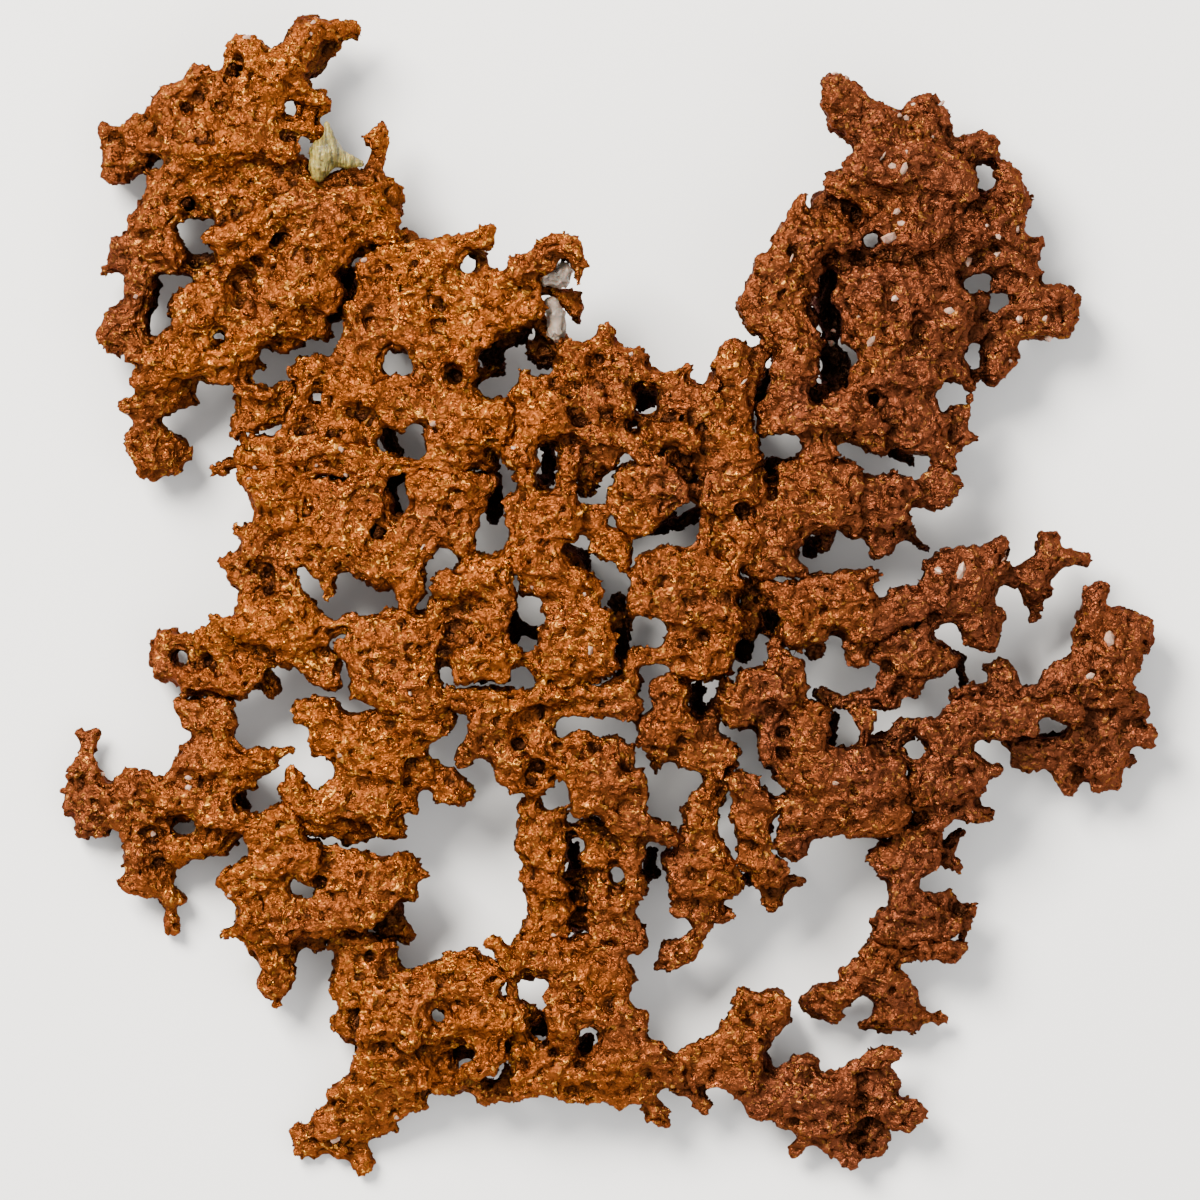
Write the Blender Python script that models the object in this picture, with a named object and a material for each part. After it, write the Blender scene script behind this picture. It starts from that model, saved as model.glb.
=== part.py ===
# A native copper nugget: a flat, lace-like growth of small knobs that lies on its lowest knobs.
# X runs to the right, Y away from the viewer's side and Z up. The origin is under the middle of the growth.
import math

import bmesh
import bpy
import numpy as np
from mathutils import Matrix

mm = 0.001
knob_spacing = 0.75  # distance between knobs along a ridge, in knob radii
knob_swell = 0.28 * mm  # how far a knob stands proud of its ridge
least_knob = 0.62 * mm  # thinner twigs are drawn this thick
grain = 0.62 * mm  # size of the smallest feature that the solid shows
under_drop = 1.3  # the under layer hangs this many knob radii lower
under_size = 0.92  # and is this much of the knob above it
under_from = 1.05 * mm  # only knobs this large have a knob under them
least_lap = 0.1 * mm  # ridges that share less than this aren't held together
riser_radius = 0.85 * mm  # of the short risers that hold them
fork_gap = 0.3 * mm  # clear space between two limbs where they meet
corner_gap = 0.04 * mm  # and this much where a narrow hollow would fold the wider space
sharpest_push = 1.8  # most that a sharp corner moves out, in gaps
facets_per_mm3 = 0.25  # triangles that a limb is left with, for each mm3 of its volume
fewest_facets = 60

copper_colour = (0.27, 0.085, 0.026)
crust_colour = (0.42, 0.45, 0.25)
calcite_colour = (0.47, 0.44, 0.41)

# Each limb is a list of ridges. A ridge starts with the height of its first and last knob over the surface
# that the nugget lies on, and goes on with its knobs as x, y and radius, all in millimetres. A line that
# starts with a bar goes on with the ridge above it. Limbs nearer the middle come first.
limbs = {
    "centre": """
13 12 | -8.2 12 1.1 | -7.9 11.1 1.1
12 13 | -4.2 12 .9 | -4 10.8 .9 | -3.8 9.7 .8
12 13 | -9.6 8.8 .9 | -8.7 9.3 1.1 | -7.2 9.3 1.3 | -5.6 9.1 1.3 | -4.3 8.8 1.2 | -3.4 8 1
12 13 | -9.2 7.4 .9 | -8 7.7 1.3 | -6.6 7.6 1.4 | -5.2 7.5 1.4 | -4 7.1 1.2 | -3.1 6.8 .8
12 13 | -8.7 6 1.1 | -7.2 6 1.4 | -5.7 5.8 1.3 | -4.6 6.3 1 | -3.5 6.1 .7
12 13 | -8.6 4.4 1.3 | -7 4.3 1.4 | -5.5 4.2 1.1
13 13 | -8.2 2.8 1.3 | -6.6 2.7 1.4 | -5 2.5 1.3 | -3.7 1.7 1.2 | -2.4 1.6 1.1 | -1.6 1.3 .8
12 13 | -7.7 1.1 1.1 | -6.1 1 1.3 | -4.6 .7 1.3 | -3.1 .5 .9 | -1.6 .3 .9 | -.9 .2 .6
12 12 | -2.1 8.6 .35 | -1.3 8.4 .6 | -.3 8.6 .6
12 12 | -2.3 7 .8 | -1.1 6.5 .9 | 0 6 1 | 1 5.2 1.2 | 1.5 3.9 1 | 1.8 2.8 .7
12 12 | -.8 4.8 .8 | .3 4 .9
12 13 | -5.6 -1.1 1 | -4.2 -.9 1.2 | -2.9 -1.1 1.1 | -1.7 -1 .8
13 13 | -4.8 -2.6 1.2 | -3.2 -2.6 1.3 | -1.6 -2.4 1.3 | -.4 -2.3 1.1
13 13 | -5.7 -3.9 1.1 | -4.1 -4 1.3 | -2.5 -4 1.4 | -.9 -3.9 1.3 | .1 -4.3 .9
13 13 | -6.1 -5.3 1 | -4.8 -5.4 1.3 | -3.2 -5.5 1.3 | -1.6 -5.4 1.3 | -.3 -5.5 1
12 13 | -9.2 -6 .6 | -8.1 -6.3 .5 | -6.9 -6.7 .9 | -5.4 -6.9 1.3 | -3.8 -7 1.3 | -2.2 -6.8 1.3
| -.8 -6.9 1.1 | .4 -6.8 .8
12 12 | -6 -8.2 1.1 | -4.5 -8.3 1.1 | -2.9 -7.9 .8 | -1.5 -7.9 .7 | -.4 -7.8 .5
6 6 | 1 -.6 .9 | 1.3 -2 .8 | 1.2 -3.6 .8 | 1.5 -5 .7 | 1.5 -6.3 .7
9 9 | 1.9 -1.9 .35 | 2 -3.1 .35
6 6 | -5.9 15 .6 | -5.9 13.4 .7 | -5.9 11.6 .7
6 6 | -9.4 -1.6 .5 | -9.3 -3 .7 | -9.9 -4.6 .6
10 1.3 | -4.4 3 2.2 | -4 2.6 1.9
10 1.3 | -3.6 -4.6 2 | -3 -5 1.7
""",
    "middle_left": """
11 12 | -14 2.6 1.1 | -12.6 3.1 1.1 | -11.2 3 1.2 | -9.8 3.2 1.2 | -9.4 4.6 1
12 12 | -16 1.2 1.4 | -14.5 1.2 1.2 | -13 1.5 1.2 | -11.6 1.6 1.2 | -10.5 1 1.1 | -10 -.3 1
11 12 | -17.1 -.9 1 | -15.9 -.3 1 | -14.7 .1 .9 | -13.3 .3 .8 | -12.3 .4 .7 | -11.2 -.3 .9
11 12 | -14.7 -1.9 .8 | -13.4 -2.4 1 | -11.9 -2.3 1.2 | -10.6 -2 1
11 12 | -13.9 -4.1 1.1 | -12.4 -3.8 1.2 | -10.9 -3.5 1.1
13 13 | -14.5 -6.3 1.5 | -13.2 -6.3 1.4 | -11.8 -6.2 1.4 | -10.6 -6.3 1.2 | -9.5 -5.7 .9
13 13 | -14.3 -7.3 1.3 | -12.8 -7.2 1.4 | -11.2 -7.3 1.2 | -10.4 -7.9 .8
10 11 | -24.9 -2.9 .8 | -23.4 -3 1.2 | -21.8 -2.6 1.3 | -20.2 -2.3 1.2 | -18.5 -2.9 1.2 | -17 -2.5 1.2
| -16.3 -3.2 .7
10 11 | -26.2 -5 .8 | -24.8 -4.4 1.2 | -23.2 -4.6 1.4 | -21.6 -4.3 1.3 | -20 -4.2 1.3 | -18.4 -4.4 1.3
| -16.9 -4.4 1.1
10 11 | -25.4 -6 .9 | -24 -6 1.4 | -22.4 -6 1.3 | -20.8 -6 1.3 | -19.2 -6 1.4 | -17.7 -5.9 1.2
10 11 | -24.9 -7.5 1 | -23.4 -7.6 1.3 | -21.8 -7.6 1.3 | -20.2 -7.6 1.4 | -18.6 -7.6 1.4 | -17.5 -7.5 .9
10 11 | -24.4 -9.1 1.1 | -22.8 -9.1 1.3 | -21.2 -9.3 1.2 | -19.6 -9.2 1.4 | -18 -9.1 1.4 | -17.1 -9.1 .8
10 11 | -25.1 -9.8 .6 | -23.3 -10.2 .8 | -20.6 -10.8 1.2 | -19 -10.8 1.4 | -17.4 -10.8 1.4
| -16.2 -10.4 .9
""",
    "centre_right": """
12 12 | 3.2 3.3 1 | 4.6 3.5 1.1 | 6 3.9 1.2 | 7.4 3.8 1.1 | 8.7 3.6 1.1 | 9.8 3.3 .9
12 12 | 2.7 2.3 .9 | 4.2 2 1.4 | 5.8 2.2 1.4 | 7.4 2.2 1.3 | 9 2 1.3 | 10.6 2.2 1.3 | 12 2.4 .9
12 12 | 3.1 .6 1.2 | 4.6 .5 1.4 | 6.2 .6 1.4 | 7.7 .8 1.2 | 9.4 .9 1.1 | 11 1 1.2 | 12.6 1.1 1.1
12 12 | 2.8 -.8 1 | 4.2 -.8 1.3 | 5.7 -.9 1.2 | 6.5 -1.9 .9
11 12 | 6.8 -2.9 1 | 8 -2 1.3 | 9.6 -1.5 1.3 | 11.2 -1 1.2 | 12.2 -1.9 1.1
11 11 | 6.8 -4.3 1.1 | 7.6 -3.4 1.1 | 8.2 -4.8 .9
11 11 | 10.9 -3.3 1.1 | 12.1 -3.4 1.1 | 13.2 -2.8 .9
11 11 | 6.7 -5.6 1.1 | 8.2 -5.8 1.3 | 9.8 -5.8 1.3 | 11.2 -5.1 1.3 | 11.8 -6 .8
11 11 | 2.7 -5.8 .8 | 3.9 -5.9 .9 | 5.3 -5.9 .8
11 11 | 2.2 -6.9 .9 | 2 -8.4 1.2
11 11 | 7.1 -7.2 1 | 8.6 -7.2 1.2 | 10.2 -7 1.2 | 11.6 -7.1 1
5 5 | 9.5 -3.8 .9
12 13 | 1.8 11.9 1.2 | 3.2 12.1 1.2 | 4.8 12.2 1.3 | 6.2 12.2 1
12 13 | .9 10.2 .9 | 2.3 10.4 1.3 | 4 10 1.2 | 5.5 10.5 1.2 | 6.8 10.6 1.2 | 7.2 9.8 .9
12 12 | .3 9.3 .6 | 1.4 8.9 1.1 | 3 8.6 1.2 | 4.7 8.5 1.1 | 5.9 9.2 .9
12 12 | 1.7 7.4 1 | 3.1 7.2 1.1 | 4.4 7.2 .9 | 2.3 6.3 .7
8 8 | 6.9 7.2 .7 | 8 7.6 .8 | 8.7 8.3 .6
12 12 | 10.4 12 1.4 | 12 12.2 1.4 | 13.6 12.2 1.3
12 12 | 10.3 10.3 1.3 | 11.8 10.6 1.4 | 13.4 10.7 1.3 | 14.4 9.8 .9
12 12 | 10.2 8.9 1.1 | 11.8 9 1.2
11 12 | 10 7.5 .9 | 9.9 6.1 .9 | 9.6 5 .9
11 12 | 12.3 7.5 1 | 13.6 7.2 1.1 | 12.7 6 1.1 | 14 5.7 1.2
11 12 | 12.3 4.5 1 | 13.4 4.2 1.1
6 6 | 4.4 6.3 .45 | 5.6 6.9 .6 | 6.4 7.9 .6
5 5 | 13 -5.6 .7 | 13.8 -6.1 .5 | 14.3 .3 .5
9 1.3 | 11 1.4 1.9 | 11.2 1 1.7
""",
    "centre_top": """
8 8 | -7.2 24.6 1.2 | -6.2 23.9 1.2 | -6.4 25.6 .8
12 12 | -3.8 24 1.3 | -3 22.6 1.4 | -1.8 21.9 .9 | -4.4 22.4 1.1
12 12 | 0 26.2 .9 | -.4 25.4 .9 | -1.6 24.6 .8 | -2.6 23.8 .9
12 12 | .4 22.6 1 | .6 23.8 1.1 | 1.8 23.4 1.2 | 3 23.2 1 | 3.2 24.4 .4
12 12 | .6 21.4 .9 | 2.4 22.2 1 | 4.4 21.6 1.1 | 5.8 21.2 1 | 7 21 1 | 8.4 20 1.1
12 12 | 6.4 22 .6 | 7.6 22.4 .5 | 8.1 22.7 .4
12 12 | 12.6 24 1.5 | 11.8 22.4 1.5 | 11.4 21 1.5 | 10.6 19.6 1.5
12 12 | 12.8 22.2 1.3 | 13.4 20.6 1.3 | 13 18.8 1.4 | 11.6 18.4 1.5 | 10 18 1.4
12 12 | 6 19 1.2 | 7.6 18.8 1.4 | 9 19 1.3
14 14 | 4.4 15.8 1.1 | 6 16.2 1.3 | 7.6 15.8 1.3 | 8.4 14.9 .9
11 12 | 2.6 17.6 .8 | 3.4 17.3 .7 | 5.6 17.6 .8
13 13 | .4 20.6 1.1 | 1.4 19.8 1.2 | 1.4 18.4 1.1
12 12 | -1.2 20.2 1.2 | -.4 18.8 1.2 | -3.2 19.6 1.3 | -2.2 18.2 1.3 | -1 17.4 1.1
12 13 | -8.4 18 1.5 | -6.6 18.4 1.5 | -5 19 1.4
13 13 | -8 16 1.4 | -6.4 16.6 1.4 | -4.8 17 1.3
12 12 | -8.3 21.8 .5 | -7.6 20.9 .9 | -6.2 21.2 .8 | -8.9 19.9 1
13 13 | -9 14 1.4 | -7.9 13.2 1.1
12 13 | -3.8 14.4 1.1 | -3.8 13 1.2 | -3.9 12.2 .9
12 12 | -1 14.6 1.2 | .2 13.6 1.1 | .1 12.9 .7
13 13 | -1.6 16 1.2 | 0 15.6 1.2 | 1.4 15.6 1 | 2.6 14.6 1 | 3.4 13.8 .8 | 5.2 13.2 .8
12 12 | 10.2 16.4 1.3 | 11.8 16.8 1.4 | 13.2 17.2 1.2 | 10.4 14.8 1.3 | 12 15.2 1.4 | 13.6 15.4 1.3
12 12 | 9 13.4 .9 | 10.4 13.2 1.4 | 12.2 13.6 1.4 | 13.9 13.6 1.3
6 6 | 15.4 20.6 .9 | 15.7 22.2 .7 | 15.8 18.9 .6
6 6 | 3.2 20.4 .7 | 3.4 19 .6 | 4.5 19.9 .7
6 6 | 8.4 13 .6 | 8.7 11.6 .6 | 8.7 10.2 .6
10 1.3 | 11.8 19.6 1.9 | 12 19 1.7
10 9.2 | -3.9 24 1.1 | -4.9 25.2 1 | -5.9 26.4 1 | -7 27.4 .9
12 10 | 13.6 20.8 1 | 14.6 22.3 .9 | 15.2 23.8 .9 | 16 25.2 .9
12 10 | -1 14.4 1 | -1.4 13 1.1 | -1.9 11.7 1.1 | -2.4 10.6 .9
13 10 | 6.2 15.8 1 | 6.6 14.3 .8 | 7.3 12.9 .8 | 8 11.5 .8
""",
    "left_sheet": """
10 11 | -30.2 10.9 1.1 | -28.6 10.7 1.2 | -27 10.2 1.2 | -25.4 10.8 1.3 | -23.7 11.3 1.3
10 11 | -28.4 9.1 1.1 | -26.8 8.9 1.4 | -25.1 9 1.4 | -23.5 9.5 1.4 | -22.9 10.6 1 | -22.4 8.6 1.1
10 11 | -31.2 7.3 1.2 | -29.6 7 1.2 | -28 7.4 1.4 | -26.4 7.3 1.5 | -24.8 7.4 1.3 | -23.6 7.7 1
10 11 | -32 5.5 1.1 | -30.4 5.8 1.3 | -28.8 5.6 1.4 | -27.2 5.8 1.4 | -25.6 5.7 1.4 | -24.4 6.1 .9
10 11 | -31.7 3.7 1.1 | -28.4 4.2 1.2 | -27 4.2 1.2 | -25.4 4.2 1.3 | -23.8 4.1 1.2 | -22.2 4.2 1.1
10 10 | -30 3.4 .7 | -28.7 2.9 1 | -27.9 2.1 1 | -27.8 1.1 .9 | -27.9 .1 .4
10 11 | -27.2 3.1 .8 | -25.8 3.3 .8 | -24.3 3 1.1 | -23 2.3 1.3 | -21.6 2.1 1.3 | -20.3 2.3 1.2
10 11 | -22.5 1.4 .9 | -21.3 1.3 .8 | -20.2 1.2 1 | -20.1 -.1 .8
11 11 | -20.6 3.8 1.3 | -19.2 3.4 1 | -19.2 1.8 1.1 | -18.9 .4 .9 | -19.9 -.9 .8
11 11 | -22.1 4.9 .7 | -21.2 5.4 1.2 | -19.8 5.1 1.2 | -18.6 4.7 1.1 | -17.6 5.3 .7
11 11 | -21.4 6.8 .8 | -20.6 6.2 .8 | -19.1 6.5 1.1 | -17.6 6.5 1.1 | -16.2 6.6 1.2 | -14.8 6.4 1.1
| -14 5.7 .9
11 11 | -16.3 5.6 .8 | -14.9 5.1 .9 | -13.9 4.4 .8 | -14.1 3.3 .8
11 11 | -20.1 7.6 .8 | -18.8 7.9 1.1 | -17.2 8 1.3 | -15.7 8.1 .9
11 11 | -14 7.9 .8 | -13.4 7.1 .7
11 11 | -18.4 9.8 1 | -17.2 9.6 1.3 | -15.6 9.5 1.3 | -14 9.5 1.2 | -12.9 9.2 .9
11 11 | -18.9 11.6 1.2 | -17.2 11.3 1.4 | -15.5 11.1 1.4 | -13.9 11.1 1.3 | -12.5 11.2 1.2
| -11.5 11.5 .8
6 6 | -22.2 11.4 .9 | -21.4 9.9 .8 | -21.5 8.4 .8 | -22.5 6.6 .8 | -21.3 12.2 .9 | -20 12 .7
5 5 | -11.7 9 .9 | -11.3 8 .7 | -10.9 12 .6
""",
    "left_sheet_top": """
10 10 | -36.4 14 .9 | -35 13.2 1.3 | -33.4 13 1.4 | -32 13.4 1.3
9 9 | -35.6 15.3 .9 | -34.4 14.9 1.1 | -33 14.6 1.1
8 8 | -39 12.5 .5 | -38.2 12.8 .55 | -37.2 13.3 .7
10 10 | -24 32.6 1 | -23.6 31 1.2 | -23.2 29.6 1.3
10 11 | -21.8 33.6 1.4 | -20.2 33.4 1.5 | -18.6 33.9 1.5 | -17.2 34.2 1.1 | -15.8 34.6 1.1 | -14.4 35 .9
| -13.2 35.4 .9 | -12.1 36 .9 | -12 35 .7
8 8 | -20 35.6 .8 | -20 34.8 .7
8 8 | -13 34.2 .5 | -12.6 33.6 .4
10 11 | -21.8 31.6 1.5 | -20 31.6 1.6 | -18.2 32 1.5 | -16.4 32.6 1.4 | -15.4 33.4 .9
10 11 | -21.6 29.8 1.5 | -19.8 30 1.5 | -18 30.4 1.4 | -16.4 30.8 1.5 | -14.8 30.8 1.3 | -13.2 30.6 1.1
| -12.2 31.4 1.1 | -12 32.2 .6
11 12 | -15 29.2 1.4 | -13.6 29 1.3 | -12 29 1.3 | -10.6 29.4 1.3 | -10.8 31.2 1.1
10 11 | -22.4 28 1.2 | -21 27.8 1.4 | -19.4 27.2 1.5 | -17.8 27.4 1.2
11 12 | -15 27.4 1.3 | -13.8 26.8 1.1 | -11.8 27.6 1.3 | -10.2 27.4 1.3 | -11.6 26 .9
10 12 | -22 26.4 1.1 | -20.6 25.8 1.4 | -19 25.4 1.4 | -17.4 25.2 1.5 | -15.8 25.6 1.4 | -14.2 25.2 1.3
| -12.8 25 .9
11 12 | -18.2 23.8 1.3 | -16.8 23.4 1.3 | -15 23.8 1.2 | -13.8 23.6 1.1 | -13.6 22.2 .9
11 11 | -17.4 22 1.1 | -16.6 20.8 1.2
10 10 | -25.2 28.4 1 | -24.8 26.8 1.1 | -24.4 25.4 1.1 | -25.8 25.8 .7
10 10 | -26.2 24.4 .9 | -25.4 23.8 1.2 | -24.2 23 1.2 | -23.4 22 1.1
9 10 | -31 22.2 .8 | -30 23.1 1 | -29 22.5 1.3 | -27.6 22.2 1.3 | -26 22 1.3 | -24.6 21.4 1.4
10 11 | -27.2 20.6 1.2 | -25.6 20.2 1.4 | -23.8 20 1.4 | -22.2 20.4 1.4 | -20.8 20.9 1
10 11 | -22.6 18.6 1.3 | -21.4 18.8 1.2 | -21.6 17.6 .9 | -20.6 16.9 .6
6 6 | -22 16.2 .8 | -21.6 15 .7 | -20.8 14.2 .7
10 10 | -27.4 18.8 1.1 | -26.4 18.7 .8
9 10 | -28.6 17.8 .9 | -28.2 16.6 1.4 | -26.6 16.6 1.4 | -25 16.4 1.3 | -23.6 16.4 1
11 11 | -19.6 20.8 1.3 | -18 20 1.5 | -16.4 19.4 1.5 | -14.8 19.6 1.5 | -13.6 19.6 1.2
11 12 | -19.4 18.8 1.1 | -18.6 18 .8 | -17 17.8 1.3 | -15.4 17.6 1.5 | -13.6 17.6 1.5 | -12 18 1.5
| -10.4 18 1.4
11 12 | -17.2 16 1.2 | -17.2 14.8 1 | -16 15.8 1.4 | -14.4 15.6 1.5 | -12.9 15.6 1.2
10 11 | -30.6 14 1.4 | -28.8 14.4 1.5 | -27 14.4 1.5 | -25.2 14.2 1.4 | -23.6 14 1.1
11 11 | -17.6 13.2 1.2 | -16 13.4 1.4 | -14.4 13.6 1.3 | -13 13.8 1.1
10 11 | -30.2 12.4 1.2 | -28.3 12.9 .9 | -26.4 12.9 1.2 | -24.6 12.6 1.4 | -22.8 12.8 1.4 | -21 13.1 1
| -19.6 13 .9
12 12 | -10.4 16.4 1.2 | -10.2 15 1.1
7 7 | -9 25.6 .8 | -8.2 26.4 .8
7 7 | -12.2 24 .7 | -10.9 22.8 .8
8 1.3 | -20 27 1.9 | -20.4 26.4 1.6
13 13 | -6.2 34.6 .9 | -5 35.1 1 | -3.8 34.6 1.2 | -3 33.4 .7 | -2.9 32.2 .45 | -2.9 31 .35
13 13 | -9.3 33 .9 | -9.2 31.8 1 | -8 32.9 1.1 | -6.6 33 1 | -5.7 32.6 .6
12 12 | -8.6 31 1.3 | -7.6 30.6 1 | -9 29.2 1.4 | -7.4 29.2 .9 | -6.4 28.6 .5 | -8.8 27.7 1.3
9 9 | -6.6 30.4 .35 | -5 30.2 .35 | -4 30.1 .5 | -3.3 29.6 .8 | -3 28.6 .7 | -3.1 27.7 .5
9 10 | -32.6 14.4 .9 | -31.9 16 .9 | -31 17.9 .9 | -30.3 19.8 .9 | -29.4 21.9 .9
8 10 | -10.9 22.6 .7 | -12.4 22 .7 | -14 21.7 .7 | -16 21.2 .8
7.5 8 | -12 24 .7 | -11 24.9 .8 | -9.8 25.6 .8 | -9.2 26.4 .7
10 10 | -3.2 28.2 .6 | -4.4 29.3 .6 | -5.6 30.3 .6 | -6.6 30.5 .6
10 10 | -23.4 22.2 .9 | -22.8 24 .8 | -23.2 25.6 .8
11 10 | -12.9 14.4 .9 | -11.9 13.4 .8 | -11.4 12.8 .7
""",
    "lower_stem": """
12 12 | -8.4 -10.4 1.1 | -7.2 -9.9 1.1 | -5.8 -9.6 1.2 | -4.4 -9.8 .9
12 12 | -2.6 -9.6 1.1 | -1 -9.4 .9 | .4 -9.4 1 | 1.8 -9.4 1.3
11 12 | -5.4 -11.1 1 | -4 -10.9 .8 | -2.8 -11.1 .8 | 1.2 -11 1 | 2.4 -10.9 1.1 | 2 -11.8 .7
12 12 | -14.6 -9.6 .5 | -13.2 -9.8 .9 | -11.8 -10 1.2 | -10.2 -10.1 1.1
12 12 | -13.2 -11.4 1 | -11.8 -11.6 1.3 | -10.2 -11.6 1.2 | -8.9 -11.3 .7
12 11 | -13 -12.8 1 | -11.6 -13.1 1.3 | -10.2 -13.2 1.2 | -8.9 -12.9 1
11 10 | -13 -14.6 1.1 | -11.4 -14.8 1.2 | -10 -15 1.1 | -8.8 -14.2 .8
10 10 | -14 -15.4 .9 | -14.3 -16.4 .8
11 11 | -10.5 -16.6 1.1 | -9.2 -16.1 1.2 | -8.3 -17 .9 | -9 -17.9 .5 | -10.2 -18 .9 | -9.4 -18.9 .7
| -8.2 -19.2 .5
11 11 | -6.6 -13 1.2 | -5.8 -14 .9 | -7 -14.4 1 | -8 -13.1 .8 | -5.9 -12.2 .7
12 12 | -8 -15.2 .4 | -7 -15.7 .5 | -6 -16.2 .6 | -5.2 -16.3 .8 | -4 -16 1
11 11 | -5.4 -17.2 .7 | -6.2 -17.6 .6 | -6 -18.6 .7 | -7 -19.4 .6
11 11 | -3.7 -14.8 .9 | -2.5 -14.4 1 | -2.6 -15.9 1.2
11 11 | -.4 -14.8 1 | .8 -14.9 1.1 | 1.9 -15.2 .8 | 2 -16.3 .6
12 12 | -4 -17.3 1 | -2.6 -17.2 1.2 | -1 -16.6 1.3 | .4 -16.4 1 | .3 -17.6 .9
12 12 | -2.9 -18.6 1 | -1.5 -18.3 1.2 | .1 -18.6 1.2 | 1.6 -18.6 1 | 2.9 -18.3 1 | 3.2 -17.6 .5
12 11 | -3 -20 1 | -1.6 -19.8 1.1 | -.2 -20 1.1 | 1 -19.6 .9 | 3 -19.4 1 | 3.1 -20.9 .9
12 11 | -3 -21 1 | -1.2 -20.9 .9 | .3 -21.1 1 | .6 -22.2 1 | 2.2 -22.2 1.1 | 3.4 -22 .9
11 10 | 1 -23 1 | 2.4 -23.4 1.1 | 4 -23 1.2 | 5.4 -23.4 1 | 6.6 -24 .9
9 10 | -7.2 -20.4 .9 | -7.6 -21.6 1.1 | -6 -21.9 .9 | -4.7 -21.7 .8
9 9 | -7.7 -23.2 1.3 | -6.2 -23.3 1.4 | -4.8 -22.9 1.1
9 9 | -7.8 -24.6 1.3 | -6.2 -24.8 1.4 | -5 -24.6 1.2
9 9 | -7.4 -26.2 1.1 | -5.9 -26.1 1.2 | -4.8 -26.2 .8 | -5.6 -27.4 1
8 9 | -7.7 -27.6 1 | -7.4 -28.9 1.1 | -6 -29 1.3 | -4.5 -29 1
8 8 | -6.9 -30.2 1.2 | -5.3 -30.3 1.3 | -4 -30.5 .8 | -6.6 -31.8 1.3 | -5 -32 1.3
8 8 | -7.4 -33.4 1.2 | -5.8 -33.4 1.2 | -4.5 -33.2 .8
9 9 | -1.8 -23.2 1.2 | -1 -22.9 .9 | -.8 -24.6 1.2 | -1.6 -25.8 1.1 | -.1 -26 1.1 | 1.2 -25.6 1
10 9 | 1.7 -24.3 .9 | 2.6 -25.6 1.1 | 2.3 -26.6 .9 | 2.8 -28 1 | 2.6 -29.2 1.2 | 2 -30.2 1
8 9 | -1.2 -27.2 1.1 | -.3 -27.6 .8 | -.6 -28.8 1.1 | -.9 -30.3 1.3 | .4 -30.6 .9 | 1.6 -31 1
8 8 | -1.2 -32 1.3 | .4 -32.2 1.3 | 1.8 -32.2 1 | 2.8 -33.2 1
8 8 | -.6 -33.6 1.2 | 1 -33.8 1.2 | 3 -34.2 1
6 6 | -3.8 -27.9 .7 | -2.2 -29 .8 | -2.3 -30.6 .9 | -2.4 -32.2 .9
4 4 | -3.4 -25 .8 | -3.2 -32.9 .8
4 4 | 4.2 -25.8 .7 | 4.3 -27.2 .7
11 11 | -13.8 -11.3 .8 | -15 -10.6 .8 | -15.8 -9.4 .7
""",
    "lower_arch": """
11 11 | 5.4 -10.4 1.1 | 4.8 -9 .9 | 6.2 -8.4 1 | 7 -9.6 1.1
11 11 | 4 -12.9 1.2 | 5.4 -12.2 1.3 | 6.9 -11.8 1.3 | 8 -12.6 1.1 | 8.4 -13.4 .8
11 11 | 3.6 -14.2 1 | 5 -14 1.3 | 6.6 -13.6 1.1
10 9 | 5.2 -15.6 1.1 | 4.8 -16.4 .8
10 10 | 10.3 -12.6 .8 | 10 -13.8 .7 | 8.4 -15 1.1 | 9.8 -15 1.3 | 11.2 -14.9 1.1 | 12.6 -15.2 .7
10 10 | 7.7 -16.4 1 | 9.2 -16.4 1 | 10.7 -16.4 1.1 | 12 -16.3 .9
10 9 | 11 -17.9 1 | 10.2 -18.9 .9 | 11.6 -18.6 .9 | 9.4 -20.1 1.2 | 10.8 -20 1
9 9 | 8.5 -21.6 1.2 | 9.8 -21.5 1.2 | 8.6 -23 1.3 | 10 -23.2 1.1
9 9 | 7.6 -24.6 1 | 9 -24.6 1.2 | 10.6 -24.6 1 | 11.2 -25.6 .9
8 9 | 6.4 -26.2 1.2 | 8 -26.4 1.4 | 9.6 -26.4 1.2 | 11.2 -26.8 1.3
8 8 | 7 -28 1.4 | 8.6 -28 1.4 | 10.4 -28.6 1.3 | 12 -28.2 1.4 | 12.9 -28.8 .8
8 8 | 7 -29.4 1 | 8.2 -29.2 .9 | 11.6 -29.2 .9
7 7 | 6.8 -31.1 .8 | 8.2 -31.1 1 | 9.8 -31 1.1 | 11 -31.6 .9 | 12.2 -31.7 .5
7 6 | 9.2 -32.2 1 | 9 -33.6 .8 | 8.2 -34.3 .8
6 6 | 7.6 -35 .7 | 8.6 -34.6 .7 | 8.2 -35.8 .5 | 6.6 -35.3 1.1 | 5.9 -36.2 1 | 6.6 -36.4 .9
| 4.9 -36.6 .5
5 5 | 8.9 -9.2 .8 | 8.7 -10.6 .8 | 9.2 -12.2 .8
8 1.2 | 9.4 -26.8 1.8 | 9.6 -26.6 1.6
6 10 | 9.4 -12.1 .8 | 10.6 -11 .8 | 11.4 -9.6 .8 | 11.8 -8.6 .7
""",
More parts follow.
